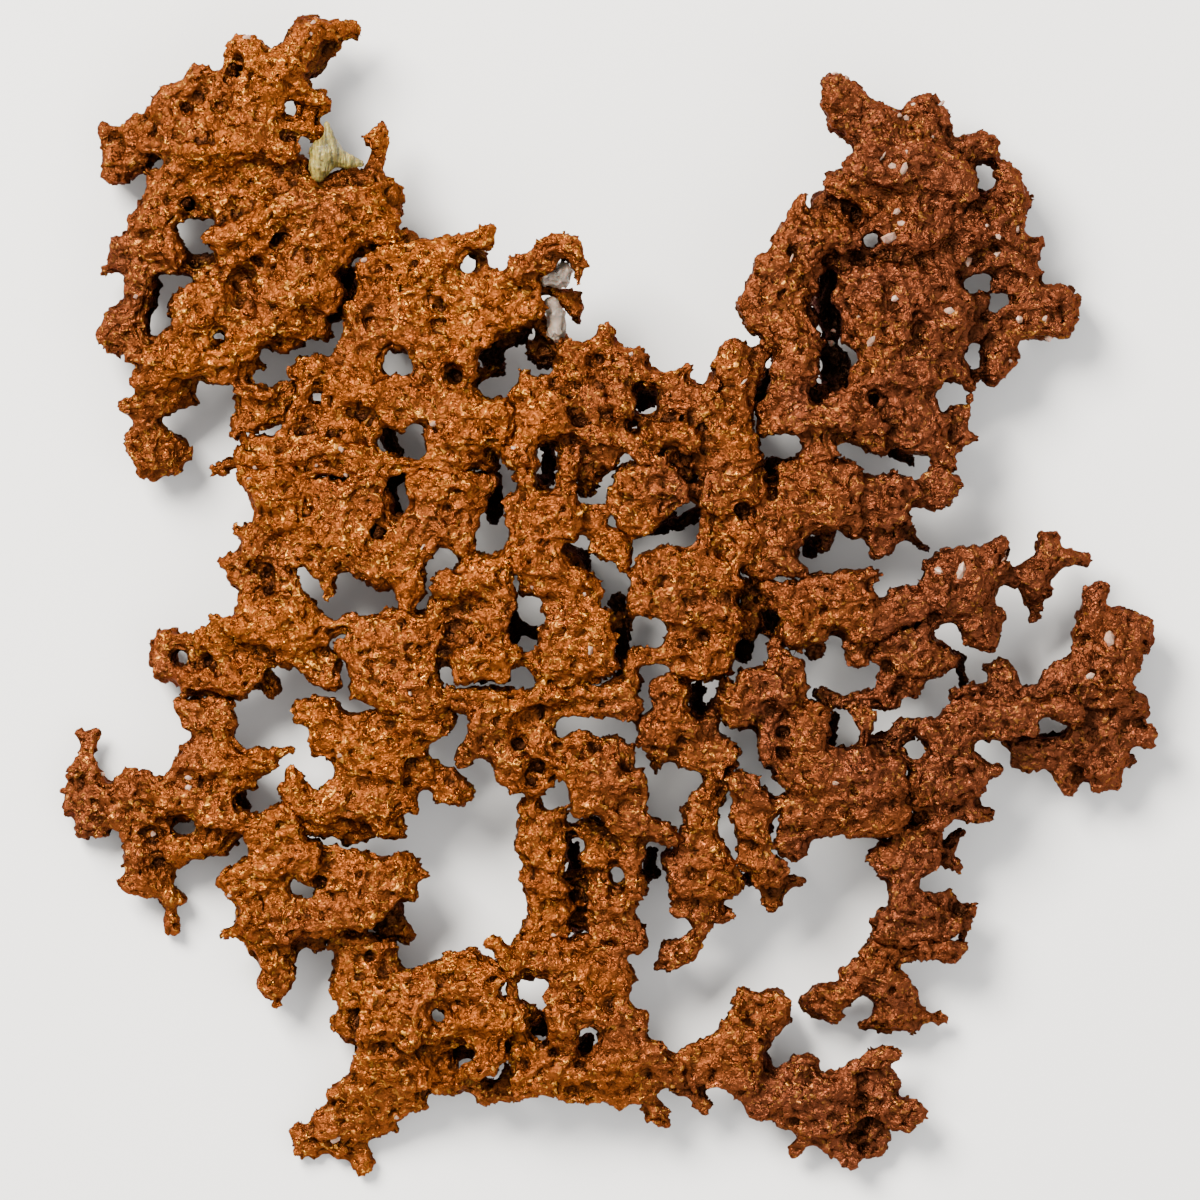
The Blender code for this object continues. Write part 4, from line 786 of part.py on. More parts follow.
def ridges_of(text):
    joined = text.replace("\n|", " |")
    for line in filter(None, joined.splitlines()):
        heights, *knobs = line.split("|")
        first, last = (float(height) for height in heights.split())
        points = [[float(value) for value in knob.split()] for knob in knobs]
        steps = max(1, len(points) - 1)
        yield [
            (x * mm, y * mm, (first + (last - first) * at / steps) * mm, radius * mm)
            for at, (x, y, radius) in enumerate(points)
        ]


def knobs_along(ridge):
    # The knobs of a ridge, those between them, and those of the layer below, as x, y, z and radius.
    knobs = [ridge[0]]
    for start, end in zip(ridge, ridge[1:]):
        length = math.dist(start[:3], end[:3])
        count = max(1, round(length / (knob_spacing * min(start[3], end[3]))))
        for step in range(1, count + 1):
            part = step / count
            knobs.append(tuple(a + (b - a) * part for a, b in zip(start, end)))
    for x, y, z, radius in knobs:
        size = max(radius, least_knob)
        yield x, y, z, size
        if radius >= under_from and z > 2 * radius:
            yield x, y, z - under_drop * radius, size * under_size


def gaps_between(first, second):
    apart = np.linalg.norm(first[:, None, :3] - second[None, :, :3], axis=2)
    return apart - first[:, None, 3] - second[None, :, 3]


def knobs_of(text):
    # Every knob of a limb. A ridge that would hang loose grows from the nearest knob by a short riser.
    loose = [np.array(list(knobs_along(ridge))) for ridge in ridges_of(text)]
    limb = loose.pop(0)
    while loose:
        gaps = [gaps_between(limb, ridge) for ridge in loose]
        nearest = int(np.argmin([gap.min() for gap in gaps]))
        gap = gaps[nearest]
        ridge = loose.pop(nearest)
        joined = [limb, ridge]
        if gap.min() > -least_lap:
            root, tip = np.unravel_index(gap.argmin(), gap.shape)
            riser = np.array([limb[root], ridge[tip]])
            riser[:, 3] = min(*riser[:, 3], riser_radius)
            joined.append(np.array(list(knobs_along(riser))))
        limb = np.concatenate(joined)
    return limb


def mesh_of_knobs(name, text):
    shape = bmesh.new()
    bmesh.ops.create_icosphere(shape, subdivisions=2, radius=1.0)
    ball = np.array([vertex.co[:] for vertex in shape.verts])
    sides = np.array([[vertex.index for vertex in face.verts] for face in shape.faces])
    shape.free()
    points = []
    faces = []
    for count, (*centre, radius) in enumerate(knobs_of(text)):
        points.append(ball * (radius + knob_swell) + np.array(centre))
        faces.append(sides + count * len(ball))
    mesh = bpy.data.meshes.new(name)
    mesh.from_pydata(np.concatenate(points).tolist(), [], np.concatenate(faces).tolist())
    body = bpy.data.objects.new(name, mesh)
    bpy.context.scene.collection.objects.link(body)
    return body


def applied(body):
    # Bakes the modifiers of a body into its mesh.
    bpy.context.view_layer.update()
    graph = bpy.context.evaluated_depsgraph_get()
    mesh = bpy.data.meshes.new_from_object(body.evaluated_get(graph))
    body.modifiers.clear()
    old = body.data
    body.data = mesh
    bpy.data.meshes.remove(old)


def keep_largest_body(shape):
    # A cut can chip small crumbs off a limb, and a limb is one piece.
    unseen = set(shape.faces)
    bodies = []
    while unseen:
        front = [unseen.pop()]
        found = set(front)
        while front:
            for edge in front.pop().edges:
                beyond = set(edge.link_faces) - found if len(edge.link_faces) == 2 else set()
                found |= beyond
                front.extend(beyond)
        unseen -= found
        bodies.append(found)
    kept = max(bodies, key=len)
    crumbs = [face for face in shape.faces if face not in kept]
    bmesh.ops.delete(shape, geom=crumbs, context="FACES")


def rest_flat(shape):
    # What would reach below the surface is worn flat, which makes the faces that the nugget rests on.
    geometry = shape.verts[:] + shape.edges[:] + shape.faces[:]
    bmesh.ops.bisect_plane(
        shape, geom=geometry, dist=1e-7, plane_co=(0, 0, 0), plane_no=(0, 0, -1), clear_outer=True
    )
    rim = [edge for edge in shape.edges if edge.is_boundary]
    bmesh.ops.holes_fill(shape, edges=rim, sides=0)


def tidied(body, *works):
    shape = bmesh.new()
    shape.from_mesh(body.data)
    for work in works:
        work(shape)
    bmesh.ops.triangulate(shape, faces=shape.faces[:])
    shape.to_mesh(body.data)
    shape.free()


def grown(name, text):
    # One limb as a closed skin over its knobs, with no more facets than its volume calls for.
    body = mesh_of_knobs(name, text)
    skin = body.modifiers.new("skin", "REMESH")
    skin.mode = "VOXEL"
    skin.voxel_size = grain
    applied(body)
    tidied(body, keep_largest_body)
    shape = bmesh.new()
    shape.from_mesh(body.data)
    wanted = max(fewest_facets, facets_per_mm3 * shape.calc_volume() / mm**3)
    shape.free()
    thinned = body.modifiers.new("thinned", "DECIMATE")
    thinned.ratio = min(1.0, wanted / len(body.data.polygons))
    applied(body)
    return body


def space_round(body, gap):
    # A copy of a limb with its faces pushed out by the gap: what later limbs keep clear of.
    shape = bmesh.new()
    shape.from_mesh(body.data)
    shape.normal_update()
    moves = [
        vertex.normal * gap * min(vertex.calc_shell_factor(), sharpest_push) for vertex in shape.verts
    ]
    for vertex, move in zip(shape.verts, moves):
        vertex.co += move
    mesh = bpy.data.meshes.new(body.name + "_space")
    shape.to_mesh(mesh)
    shape.free()
    space = bpy.data.objects.new(mesh.name, mesh)
    space.hide_render = True
    space.display_type = "WIRE"
    bpy.context.scene.collection.objects.link(space)
    return space


def points_of(body):
    return np.array([vertex.co for vertex in body.data.vertices])


def boxes_meet(first, second):
    lows = [points_of(body).min(axis=0) for body in (first, second)]
    highs = [points_of(body).max(axis=0) for body in (first, second)]
    return bool((lows[0] < highs[1]).all() and (lows[1] < highs[0]).all())


def cut_free(body, spaces):
    # Takes the neighbours that came first, with the gap round them, out of this limb.
    for space in spaces:
        if boxes_meet(body, space):
            cut = body.modifiers.new("cut", "BOOLEAN")
            cut.operation = "DIFFERENCE"
            cut.object = space
            cut.use_self = True
            applied(body)
    tidied(body, keep_largest_body)


def brought_over_origin(bodies):
    points = np.concatenate([points_of(body) for body in bodies])
    x, y, z = (points.min(axis=0) + points.max(axis=0)) / 2
    for body in bodies:
        body.data.transform(Matrix.Translation((-x, -y, 0)))


def make_material(name, colour, metallic, roughness):
    material = bpy.data.materials.new(name)
    material.use_nodes = True
    shader = material.node_tree.nodes["Principled BSDF"]
    shader.inputs["Base Color"].default_value = (*colour, 1.0)
    shader.inputs["Metallic"].default_value = metallic
    shader.inputs["Roughness"].default_value = roughness
    return material


def main():
    for old in list(bpy.data.objects):
        bpy.data.objects.remove(old)
    copper = make_material("native_copper", copper_colour, 0.9, 0.45)
    crust = make_material("green_crust", crust_colour, 0.0, 0.5)
    calcite = make_material("calcite", calcite_colour, 0.0, 0.4)
    spaces = []
    bodies = []
    for name, text in (limbs | minerals).items():
        is_mineral = name in minerals
        body = grown(name, text)
        own_spaces = [space_round(body, gap) for gap in (fork_gap, corner_gap)]
        cut_free(body, spaces)
        spaces += own_spaces
        tidied(body, rest_flat, keep_largest_body)
        body.data.shade_smooth()
        bodies.append(body)
        if is_mineral:
            body.data.materials.append(crust if "crust" in name else calcite)
        else:
            body.data.materials.append(copper)
    for space in spaces:
        bpy.data.objects.remove(space)
    brought_over_origin(bodies)


main()
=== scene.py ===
# A native copper nugget, seen from straight above: a flat, lace-like growth of hackly knobs on a pale floor.
import math

import bmesh
import bpy
import numpy as np
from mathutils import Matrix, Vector


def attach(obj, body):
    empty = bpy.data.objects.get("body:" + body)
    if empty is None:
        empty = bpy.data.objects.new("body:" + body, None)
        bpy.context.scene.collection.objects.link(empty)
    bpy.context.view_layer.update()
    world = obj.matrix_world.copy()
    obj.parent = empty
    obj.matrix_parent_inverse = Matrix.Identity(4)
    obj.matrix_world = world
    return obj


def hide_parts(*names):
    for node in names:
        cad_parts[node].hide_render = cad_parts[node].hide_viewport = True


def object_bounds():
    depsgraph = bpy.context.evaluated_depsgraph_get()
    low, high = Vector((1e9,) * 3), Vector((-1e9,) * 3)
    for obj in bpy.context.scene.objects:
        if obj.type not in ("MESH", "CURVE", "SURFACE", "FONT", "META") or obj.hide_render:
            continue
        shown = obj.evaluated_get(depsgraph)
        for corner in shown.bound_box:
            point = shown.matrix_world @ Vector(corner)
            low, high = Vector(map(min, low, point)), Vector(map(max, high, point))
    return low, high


mm = 0.001
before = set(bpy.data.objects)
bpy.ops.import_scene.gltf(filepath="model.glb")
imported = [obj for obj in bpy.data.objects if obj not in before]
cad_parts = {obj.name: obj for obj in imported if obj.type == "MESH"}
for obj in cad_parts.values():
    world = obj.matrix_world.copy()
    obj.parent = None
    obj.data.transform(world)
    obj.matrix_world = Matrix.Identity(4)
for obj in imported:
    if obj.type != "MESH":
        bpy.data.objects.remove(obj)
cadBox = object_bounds()
print("frame loaded")

# Where the copper grew. Each limb is a list of ridges. A ridge starts with the height of its first and last
# knob, and goes on with its knobs as x, y and radius, in millimetres. A line that starts with a bar goes on
# with the ridge above it.
limbs = {
    "centre": """
13 12 | -8.2 12 1.1 | -7.9 11.1 1.1
12 13 | -4.2 12 .9 | -4 10.8 .9 | -3.8 9.7 .8
12 13 | -9.6 8.8 .9 | -8.7 9.3 1.1 | -7.2 9.3 1.3 | -5.6 9.1 1.3 | -4.3 8.8 1.2 | -3.4 8 1
12 13 | -9.2 7.4 .9 | -8 7.7 1.3 | -6.6 7.6 1.4 | -5.2 7.5 1.4 | -4 7.1 1.2 | -3.1 6.8 .8
12 13 | -8.7 6 1.1 | -7.2 6 1.4 | -5.7 5.8 1.3 | -4.6 6.3 1 | -3.5 6.1 .7
12 13 | -8.6 4.4 1.3 | -7 4.3 1.4 | -5.5 4.2 1.1
13 13 | -8.2 2.8 1.3 | -6.6 2.7 1.4 | -5 2.5 1.3 | -3.7 1.7 1.2 | -2.4 1.6 1.1 | -1.6 1.3 .8
12 13 | -7.7 1.1 1.1 | -6.1 1 1.3 | -4.6 .7 1.3 | -3.1 .5 .9 | -1.6 .3 .9 | -.9 .2 .6
12 12 | -2.1 8.6 .35 | -1.3 8.4 .6 | -.3 8.6 .6
12 12 | -2.3 7 .8 | -1.1 6.5 .9 | 0 6 1 | 1 5.2 1.2 | 1.5 3.9 1 | 1.8 2.8 .7
12 12 | -.8 4.8 .8 | .3 4 .9
12 13 | -5.6 -1.1 1 | -4.2 -.9 1.2 | -2.9 -1.1 1.1 | -1.7 -1 .8
13 13 | -4.8 -2.6 1.2 | -3.2 -2.6 1.3 | -1.6 -2.4 1.3 | -.4 -2.3 1.1
13 13 | -5.7 -3.9 1.1 | -4.1 -4 1.3 | -2.5 -4 1.4 | -.9 -3.9 1.3 | .1 -4.3 .9
13 13 | -6.1 -5.3 1 | -4.8 -5.4 1.3 | -3.2 -5.5 1.3 | -1.6 -5.4 1.3 | -.3 -5.5 1
12 13 | -9.2 -6 .6 | -8.1 -6.3 .5 | -6.9 -6.7 .9 | -5.4 -6.9 1.3 | -3.8 -7 1.3 | -2.2 -6.8 1.3
| -.8 -6.9 1.1 | .4 -6.8 .8
12 12 | -6 -8.2 1.1 | -4.5 -8.3 1.1 | -2.9 -7.9 .8 | -1.5 -7.9 .7 | -.4 -7.8 .5
6 6 | 1 -.6 .9 | 1.3 -2 .8 | 1.2 -3.6 .8 | 1.5 -5 .7 | 1.5 -6.3 .7
9 9 | 1.9 -1.9 .35 | 2 -3.1 .35
6 6 | -5.9 15 .6 | -5.9 13.4 .7 | -5.9 11.6 .7
6 6 | -9.4 -1.6 .5 | -9.3 -3 .7 | -9.9 -4.6 .6
10 1.3 | -4.4 3 2.2 | -4 2.6 1.9
10 1.3 | -3.6 -4.6 2 | -3 -5 1.7
""",
    "middle_left": """
11 12 | -14 2.6 1.1 | -12.6 3.1 1.1 | -11.2 3 1.2 | -9.8 3.2 1.2 | -9.4 4.6 1
12 12 | -16 1.2 1.4 | -14.5 1.2 1.2 | -13 1.5 1.2 | -11.6 1.6 1.2 | -10.5 1 1.1 | -10 -.3 1
11 12 | -17.1 -.9 1 | -15.9 -.3 1 | -14.7 .1 .9 | -13.3 .3 .8 | -12.3 .4 .7 | -11.2 -.3 .9
11 12 | -14.7 -1.9 .8 | -13.4 -2.4 1 | -11.9 -2.3 1.2 | -10.6 -2 1
11 12 | -13.9 -4.1 1.1 | -12.4 -3.8 1.2 | -10.9 -3.5 1.1
13 13 | -14.5 -6.3 1.5 | -13.2 -6.3 1.4 | -11.8 -6.2 1.4 | -10.6 -6.3 1.2 | -9.5 -5.7 .9
13 13 | -14.3 -7.3 1.3 | -12.8 -7.2 1.4 | -11.2 -7.3 1.2 | -10.4 -7.9 .8
10 11 | -24.9 -2.9 .8 | -23.4 -3 1.2 | -21.8 -2.6 1.3 | -20.2 -2.3 1.2 | -18.5 -2.9 1.2 | -17 -2.5 1.2
| -16.3 -3.2 .7
10 11 | -26.2 -5 .8 | -24.8 -4.4 1.2 | -23.2 -4.6 1.4 | -21.6 -4.3 1.3 | -20 -4.2 1.3 | -18.4 -4.4 1.3
| -16.9 -4.4 1.1
10 11 | -25.4 -6 .9 | -24 -6 1.4 | -22.4 -6 1.3 | -20.8 -6 1.3 | -19.2 -6 1.4 | -17.7 -5.9 1.2
10 11 | -24.9 -7.5 1 | -23.4 -7.6 1.3 | -21.8 -7.6 1.3 | -20.2 -7.6 1.4 | -18.6 -7.6 1.4 | -17.5 -7.5 .9
10 11 | -24.4 -9.1 1.1 | -22.8 -9.1 1.3 | -21.2 -9.3 1.2 | -19.6 -9.2 1.4 | -18 -9.1 1.4 | -17.1 -9.1 .8
10 11 | -25.1 -9.8 .6 | -23.3 -10.2 .8 | -20.6 -10.8 1.2 | -19 -10.8 1.4 | -17.4 -10.8 1.4
| -16.2 -10.4 .9
""",
    "centre_right": """
12 12 | 3.2 3.3 1 | 4.6 3.5 1.1 | 6 3.9 1.2 | 7.4 3.8 1.1 | 8.7 3.6 1.1 | 9.8 3.3 .9
12 12 | 2.7 2.3 .9 | 4.2 2 1.4 | 5.8 2.2 1.4 | 7.4 2.2 1.3 | 9 2 1.3 | 10.6 2.2 1.3 | 12 2.4 .9
12 12 | 3.1 .6 1.2 | 4.6 .5 1.4 | 6.2 .6 1.4 | 7.7 .8 1.2 | 9.4 .9 1.1 | 11 1 1.2 | 12.6 1.1 1.1
12 12 | 2.8 -.8 1 | 4.2 -.8 1.3 | 5.7 -.9 1.2 | 6.5 -1.9 .9
11 12 | 6.8 -2.9 1 | 8 -2 1.3 | 9.6 -1.5 1.3 | 11.2 -1 1.2 | 12.2 -1.9 1.1
11 11 | 6.8 -4.3 1.1 | 7.6 -3.4 1.1 | 8.2 -4.8 .9
11 11 | 10.9 -3.3 1.1 | 12.1 -3.4 1.1 | 13.2 -2.8 .9
11 11 | 6.7 -5.6 1.1 | 8.2 -5.8 1.3 | 9.8 -5.8 1.3 | 11.2 -5.1 1.3 | 11.8 -6 .8
11 11 | 2.7 -5.8 .8 | 3.9 -5.9 .9 | 5.3 -5.9 .8
11 11 | 2.2 -6.9 .9 | 2 -8.4 1.2
11 11 | 7.1 -7.2 1 | 8.6 -7.2 1.2 | 10.2 -7 1.2 | 11.6 -7.1 1
5 5 | 9.5 -3.8 .9
12 13 | 1.8 11.9 1.2 | 3.2 12.1 1.2 | 4.8 12.2 1.3 | 6.2 12.2 1
12 13 | .9 10.2 .9 | 2.3 10.4 1.3 | 4 10 1.2 | 5.5 10.5 1.2 | 6.8 10.6 1.2 | 7.2 9.8 .9
12 12 | .3 9.3 .6 | 1.4 8.9 1.1 | 3 8.6 1.2 | 4.7 8.5 1.1 | 5.9 9.2 .9
12 12 | 1.7 7.4 1 | 3.1 7.2 1.1 | 4.4 7.2 .9 | 2.3 6.3 .7
8 8 | 6.9 7.2 .7 | 8 7.6 .8 | 8.7 8.3 .6
12 12 | 10.4 12 1.4 | 12 12.2 1.4 | 13.6 12.2 1.3
12 12 | 10.3 10.3 1.3 | 11.8 10.6 1.4 | 13.4 10.7 1.3 | 14.4 9.8 .9
12 12 | 10.2 8.9 1.1 | 11.8 9 1.2
11 12 | 10 7.5 .9 | 9.9 6.1 .9 | 9.6 5 .9
11 12 | 12.3 7.5 1 | 13.6 7.2 1.1 | 12.7 6 1.1 | 14 5.7 1.2
11 12 | 12.3 4.5 1 | 13.4 4.2 1.1
6 6 | 4.4 6.3 .45 | 5.6 6.9 .6 | 6.4 7.9 .6
5 5 | 13 -5.6 .7 | 13.8 -6.1 .5 | 14.3 .3 .5
9 1.3 | 11 1.4 1.9 | 11.2 1 1.7
""",
    "centre_top": """
8 8 | -7.2 24.6 1.2 | -6.2 23.9 1.2 | -6.4 25.6 .8
12 12 | -3.8 24 1.3 | -3 22.6 1.4 | -1.8 21.9 .9 | -4.4 22.4 1.1
12 12 | 0 26.2 .9 | -.4 25.4 .9 | -1.6 24.6 .8 | -2.6 23.8 .9
12 12 | .4 22.6 1 | .6 23.8 1.1 | 1.8 23.4 1.2 | 3 23.2 1 | 3.2 24.4 .4
12 12 | .6 21.4 .9 | 2.4 22.2 1 | 4.4 21.6 1.1 | 5.8 21.2 1 | 7 21 1 | 8.4 20 1.1
12 12 | 6.4 22 .6 | 7.6 22.4 .5 | 8.1 22.7 .4
12 12 | 12.6 24 1.5 | 11.8 22.4 1.5 | 11.4 21 1.5 | 10.6 19.6 1.5
12 12 | 12.8 22.2 1.3 | 13.4 20.6 1.3 | 13 18.8 1.4 | 11.6 18.4 1.5 | 10 18 1.4
12 12 | 6 19 1.2 | 7.6 18.8 1.4 | 9 19 1.3
14 14 | 4.4 15.8 1.1 | 6 16.2 1.3 | 7.6 15.8 1.3 | 8.4 14.9 .9
11 12 | 2.6 17.6 .8 | 3.4 17.3 .7 | 5.6 17.6 .8
13 13 | .4 20.6 1.1 | 1.4 19.8 1.2 | 1.4 18.4 1.1
12 12 | -1.2 20.2 1.2 | -.4 18.8 1.2 | -3.2 19.6 1.3 | -2.2 18.2 1.3 | -1 17.4 1.1
12 13 | -8.4 18 1.5 | -6.6 18.4 1.5 | -5 19 1.4
13 13 | -8 16 1.4 | -6.4 16.6 1.4 | -4.8 17 1.3
12 12 | -8.3 21.8 .5 | -7.6 20.9 .9 | -6.2 21.2 .8 | -8.9 19.9 1
13 13 | -9 14 1.4 | -7.9 13.2 1.1
12 13 | -3.8 14.4 1.1 | -3.8 13 1.2 | -3.9 12.2 .9
12 12 | -1 14.6 1.2 | .2 13.6 1.1 | .1 12.9 .7
13 13 | -1.6 16 1.2 | 0 15.6 1.2 | 1.4 15.6 1 | 2.6 14.6 1 | 3.4 13.8 .8 | 5.2 13.2 .8
12 12 | 10.2 16.4 1.3 | 11.8 16.8 1.4 | 13.2 17.2 1.2 | 10.4 14.8 1.3 | 12 15.2 1.4 | 13.6 15.4 1.3
12 12 | 9 13.4 .9 | 10.4 13.2 1.4 | 12.2 13.6 1.4 | 13.9 13.6 1.3
6 6 | 15.4 20.6 .9 | 15.7 22.2 .7 | 15.8 18.9 .6
6 6 | 3.2 20.4 .7 | 3.4 19 .6 | 4.5 19.9 .7
6 6 | 8.4 13 .6 | 8.7 11.6 .6 | 8.7 10.2 .6
10 1.3 | 11.8 19.6 1.9 | 12 19 1.7
10 9.2 | -3.9 24 1.1 | -4.9 25.2 1 | -5.9 26.4 1 | -7 27.4 .9
12 10 | 13.6 20.8 1 | 14.6 22.3 .9 | 15.2 23.8 .9 | 16 25.2 .9
12 10 | -1 14.4 1 | -1.4 13 1.1 | -1.9 11.7 1.1 | -2.4 10.6 .9
13 10 | 6.2 15.8 1 | 6.6 14.3 .8 | 7.3 12.9 .8 | 8 11.5 .8
""",
    "left_sheet": """
10 11 | -30.2 10.9 1.1 | -28.6 10.7 1.2 | -27 10.2 1.2 | -25.4 10.8 1.3 | -23.7 11.3 1.3
10 11 | -28.4 9.1 1.1 | -26.8 8.9 1.4 | -25.1 9 1.4 | -23.5 9.5 1.4 | -22.9 10.6 1 | -22.4 8.6 1.1
10 11 | -31.2 7.3 1.2 | -29.6 7 1.2 | -28 7.4 1.4 | -26.4 7.3 1.5 | -24.8 7.4 1.3 | -23.6 7.7 1
10 11 | -32 5.5 1.1 | -30.4 5.8 1.3 | -28.8 5.6 1.4 | -27.2 5.8 1.4 | -25.6 5.7 1.4 | -24.4 6.1 .9
10 11 | -31.7 3.7 1.1 | -28.4 4.2 1.2 | -27 4.2 1.2 | -25.4 4.2 1.3 | -23.8 4.1 1.2 | -22.2 4.2 1.1
10 10 | -30 3.4 .7 | -28.7 2.9 1 | -27.9 2.1 1 | -27.8 1.1 .9 | -27.9 .1 .4
10 11 | -27.2 3.1 .8 | -25.8 3.3 .8 | -24.3 3 1.1 | -23 2.3 1.3 | -21.6 2.1 1.3 | -20.3 2.3 1.2
10 11 | -22.5 1.4 .9 | -21.3 1.3 .8 | -20.2 1.2 1 | -20.1 -.1 .8
11 11 | -20.6 3.8 1.3 | -19.2 3.4 1 | -19.2 1.8 1.1 | -18.9 .4 .9 | -19.9 -.9 .8
11 11 | -22.1 4.9 .7 | -21.2 5.4 1.2 | -19.8 5.1 1.2 | -18.6 4.7 1.1 | -17.6 5.3 .7
11 11 | -21.4 6.8 .8 | -20.6 6.2 .8 | -19.1 6.5 1.1 | -17.6 6.5 1.1 | -16.2 6.6 1.2 | -14.8 6.4 1.1
| -14 5.7 .9
11 11 | -16.3 5.6 .8 | -14.9 5.1 .9 | -13.9 4.4 .8 | -14.1 3.3 .8
11 11 | -20.1 7.6 .8 | -18.8 7.9 1.1 | -17.2 8 1.3 | -15.7 8.1 .9
11 11 | -14 7.9 .8 | -13.4 7.1 .7
11 11 | -18.4 9.8 1 | -17.2 9.6 1.3 | -15.6 9.5 1.3 | -14 9.5 1.2 | -12.9 9.2 .9
11 11 | -18.9 11.6 1.2 | -17.2 11.3 1.4 | -15.5 11.1 1.4 | -13.9 11.1 1.3 | -12.5 11.2 1.2
| -11.5 11.5 .8
6 6 | -22.2 11.4 .9 | -21.4 9.9 .8 | -21.5 8.4 .8 | -22.5 6.6 .8 | -21.3 12.2 .9 | -20 12 .7
5 5 | -11.7 9 .9 | -11.3 8 .7 | -10.9 12 .6
""",
    "left_sheet_top": """
10 10 | -36.4 14 .9 | -35 13.2 1.3 | -33.4 13 1.4 | -32 13.4 1.3
9 9 | -35.6 15.3 .9 | -34.4 14.9 1.1 | -33 14.6 1.1
8 8 | -39 12.5 .5 | -38.2 12.8 .55 | -37.2 13.3 .7
10 10 | -24 32.6 1 | -23.6 31 1.2 | -23.2 29.6 1.3
10 11 | -21.8 33.6 1.4 | -20.2 33.4 1.5 | -18.6 33.9 1.5 | -17.2 34.2 1.1 | -15.8 34.6 1.1 | -14.4 35 .9
| -13.2 35.4 .9 | -12.1 36 .9 | -12 35 .7
8 8 | -20 35.6 .8 | -20 34.8 .7
8 8 | -13 34.2 .5 | -12.6 33.6 .4
10 11 | -21.8 31.6 1.5 | -20 31.6 1.6 | -18.2 32 1.5 | -16.4 32.6 1.4 | -15.4 33.4 .9
10 11 | -21.6 29.8 1.5 | -19.8 30 1.5 | -18 30.4 1.4 | -16.4 30.8 1.5 | -14.8 30.8 1.3 | -13.2 30.6 1.1
| -12.2 31.4 1.1 | -12 32.2 .6
11 12 | -15 29.2 1.4 | -13.6 29 1.3 | -12 29 1.3 | -10.6 29.4 1.3 | -10.8 31.2 1.1
10 11 | -22.4 28 1.2 | -21 27.8 1.4 | -19.4 27.2 1.5 | -17.8 27.4 1.2
11 12 | -15 27.4 1.3 | -13.8 26.8 1.1 | -11.8 27.6 1.3 | -10.2 27.4 1.3 | -11.6 26 .9
10 12 | -22 26.4 1.1 | -20.6 25.8 1.4 | -19 25.4 1.4 | -17.4 25.2 1.5 | -15.8 25.6 1.4 | -14.2 25.2 1.3
| -12.8 25 .9
11 12 | -18.2 23.8 1.3 | -16.8 23.4 1.3 | -15 23.8 1.2 | -13.8 23.6 1.1 | -13.6 22.2 .9
11 11 | -17.4 22 1.1 | -16.6 20.8 1.2
10 10 | -25.2 28.4 1 | -24.8 26.8 1.1 | -24.4 25.4 1.1 | -25.8 25.8 .7
10 10 | -26.2 24.4 .9 | -25.4 23.8 1.2 | -24.2 23 1.2 | -23.4 22 1.1
9 10 | -31 22.2 .8 | -30 23.1 1 | -29 22.5 1.3 | -27.6 22.2 1.3 | -26 22 1.3 | -24.6 21.4 1.4
10 11 | -27.2 20.6 1.2 | -25.6 20.2 1.4 | -23.8 20 1.4 | -22.2 20.4 1.4 | -20.8 20.9 1
10 11 | -22.6 18.6 1.3 | -21.4 18.8 1.2 | -21.6 17.6 .9 | -20.6 16.9 .6
6 6 | -22 16.2 .8 | -21.6 15 .7 | -20.8 14.2 .7
10 10 | -27.4 18.8 1.1 | -26.4 18.7 .8
9 10 | -28.6 17.8 .9 | -28.2 16.6 1.4 | -26.6 16.6 1.4 | -25 16.4 1.3 | -23.6 16.4 1
11 11 | -19.6 20.8 1.3 | -18 20 1.5 | -16.4 19.4 1.5 | -14.8 19.6 1.5 | -13.6 19.6 1.2
11 12 | -19.4 18.8 1.1 | -18.6 18 .8 | -17 17.8 1.3 | -15.4 17.6 1.5 | -13.6 17.6 1.5 | -12 18 1.5
| -10.4 18 1.4
11 12 | -17.2 16 1.2 | -17.2 14.8 1 | -16 15.8 1.4 | -14.4 15.6 1.5 | -12.9 15.6 1.2
10 11 | -30.6 14 1.4 | -28.8 14.4 1.5 | -27 14.4 1.5 | -25.2 14.2 1.4 | -23.6 14 1.1
11 11 | -17.6 13.2 1.2 | -16 13.4 1.4 | -14.4 13.6 1.3 | -13 13.8 1.1
10 11 | -30.2 12.4 1.2 | -28.3 12.9 .9 | -26.4 12.9 1.2 | -24.6 12.6 1.4 | -22.8 12.8 1.4 | -21 13.1 1
| -19.6 13 .9
12 12 | -10.4 16.4 1.2 | -10.2 15 1.1
7 7 | -9 25.6 .8 | -8.2 26.4 .8
7 7 | -12.2 24 .7 | -10.9 22.8 .8
8 1.3 | -20 27 1.9 | -20.4 26.4 1.6
13 13 | -6.2 34.6 .9 | -5 35.1 1 | -3.8 34.6 1.2 | -3 33.4 .7 | -2.9 32.2 .45 | -2.9 31 .35
13 13 | -9.3 33 .9 | -9.2 31.8 1 | -8 32.9 1.1 | -6.6 33 1 | -5.7 32.6 .6
12 12 | -8.6 31 1.3 | -7.6 30.6 1 | -9 29.2 1.4 | -7.4 29.2 .9 | -6.4 28.6 .5 | -8.8 27.7 1.3
9 9 | -6.6 30.4 .35 | -5 30.2 .35 | -4 30.1 .5 | -3.3 29.6 .8 | -3 28.6 .7 | -3.1 27.7 .5
9 10 | -32.6 14.4 .9 | -31.9 16 .9 | -31 17.9 .9 | -30.3 19.8 .9 | -29.4 21.9 .9
8 10 | -10.9 22.6 .7 | -12.4 22 .7 | -14 21.7 .7 | -16 21.2 .8
7.5 8 | -12 24 .7 | -11 24.9 .8 | -9.8 25.6 .8 | -9.2 26.4 .7
10 10 | -3.2 28.2 .6 | -4.4 29.3 .6 | -5.6 30.3 .6 | -6.6 30.5 .6
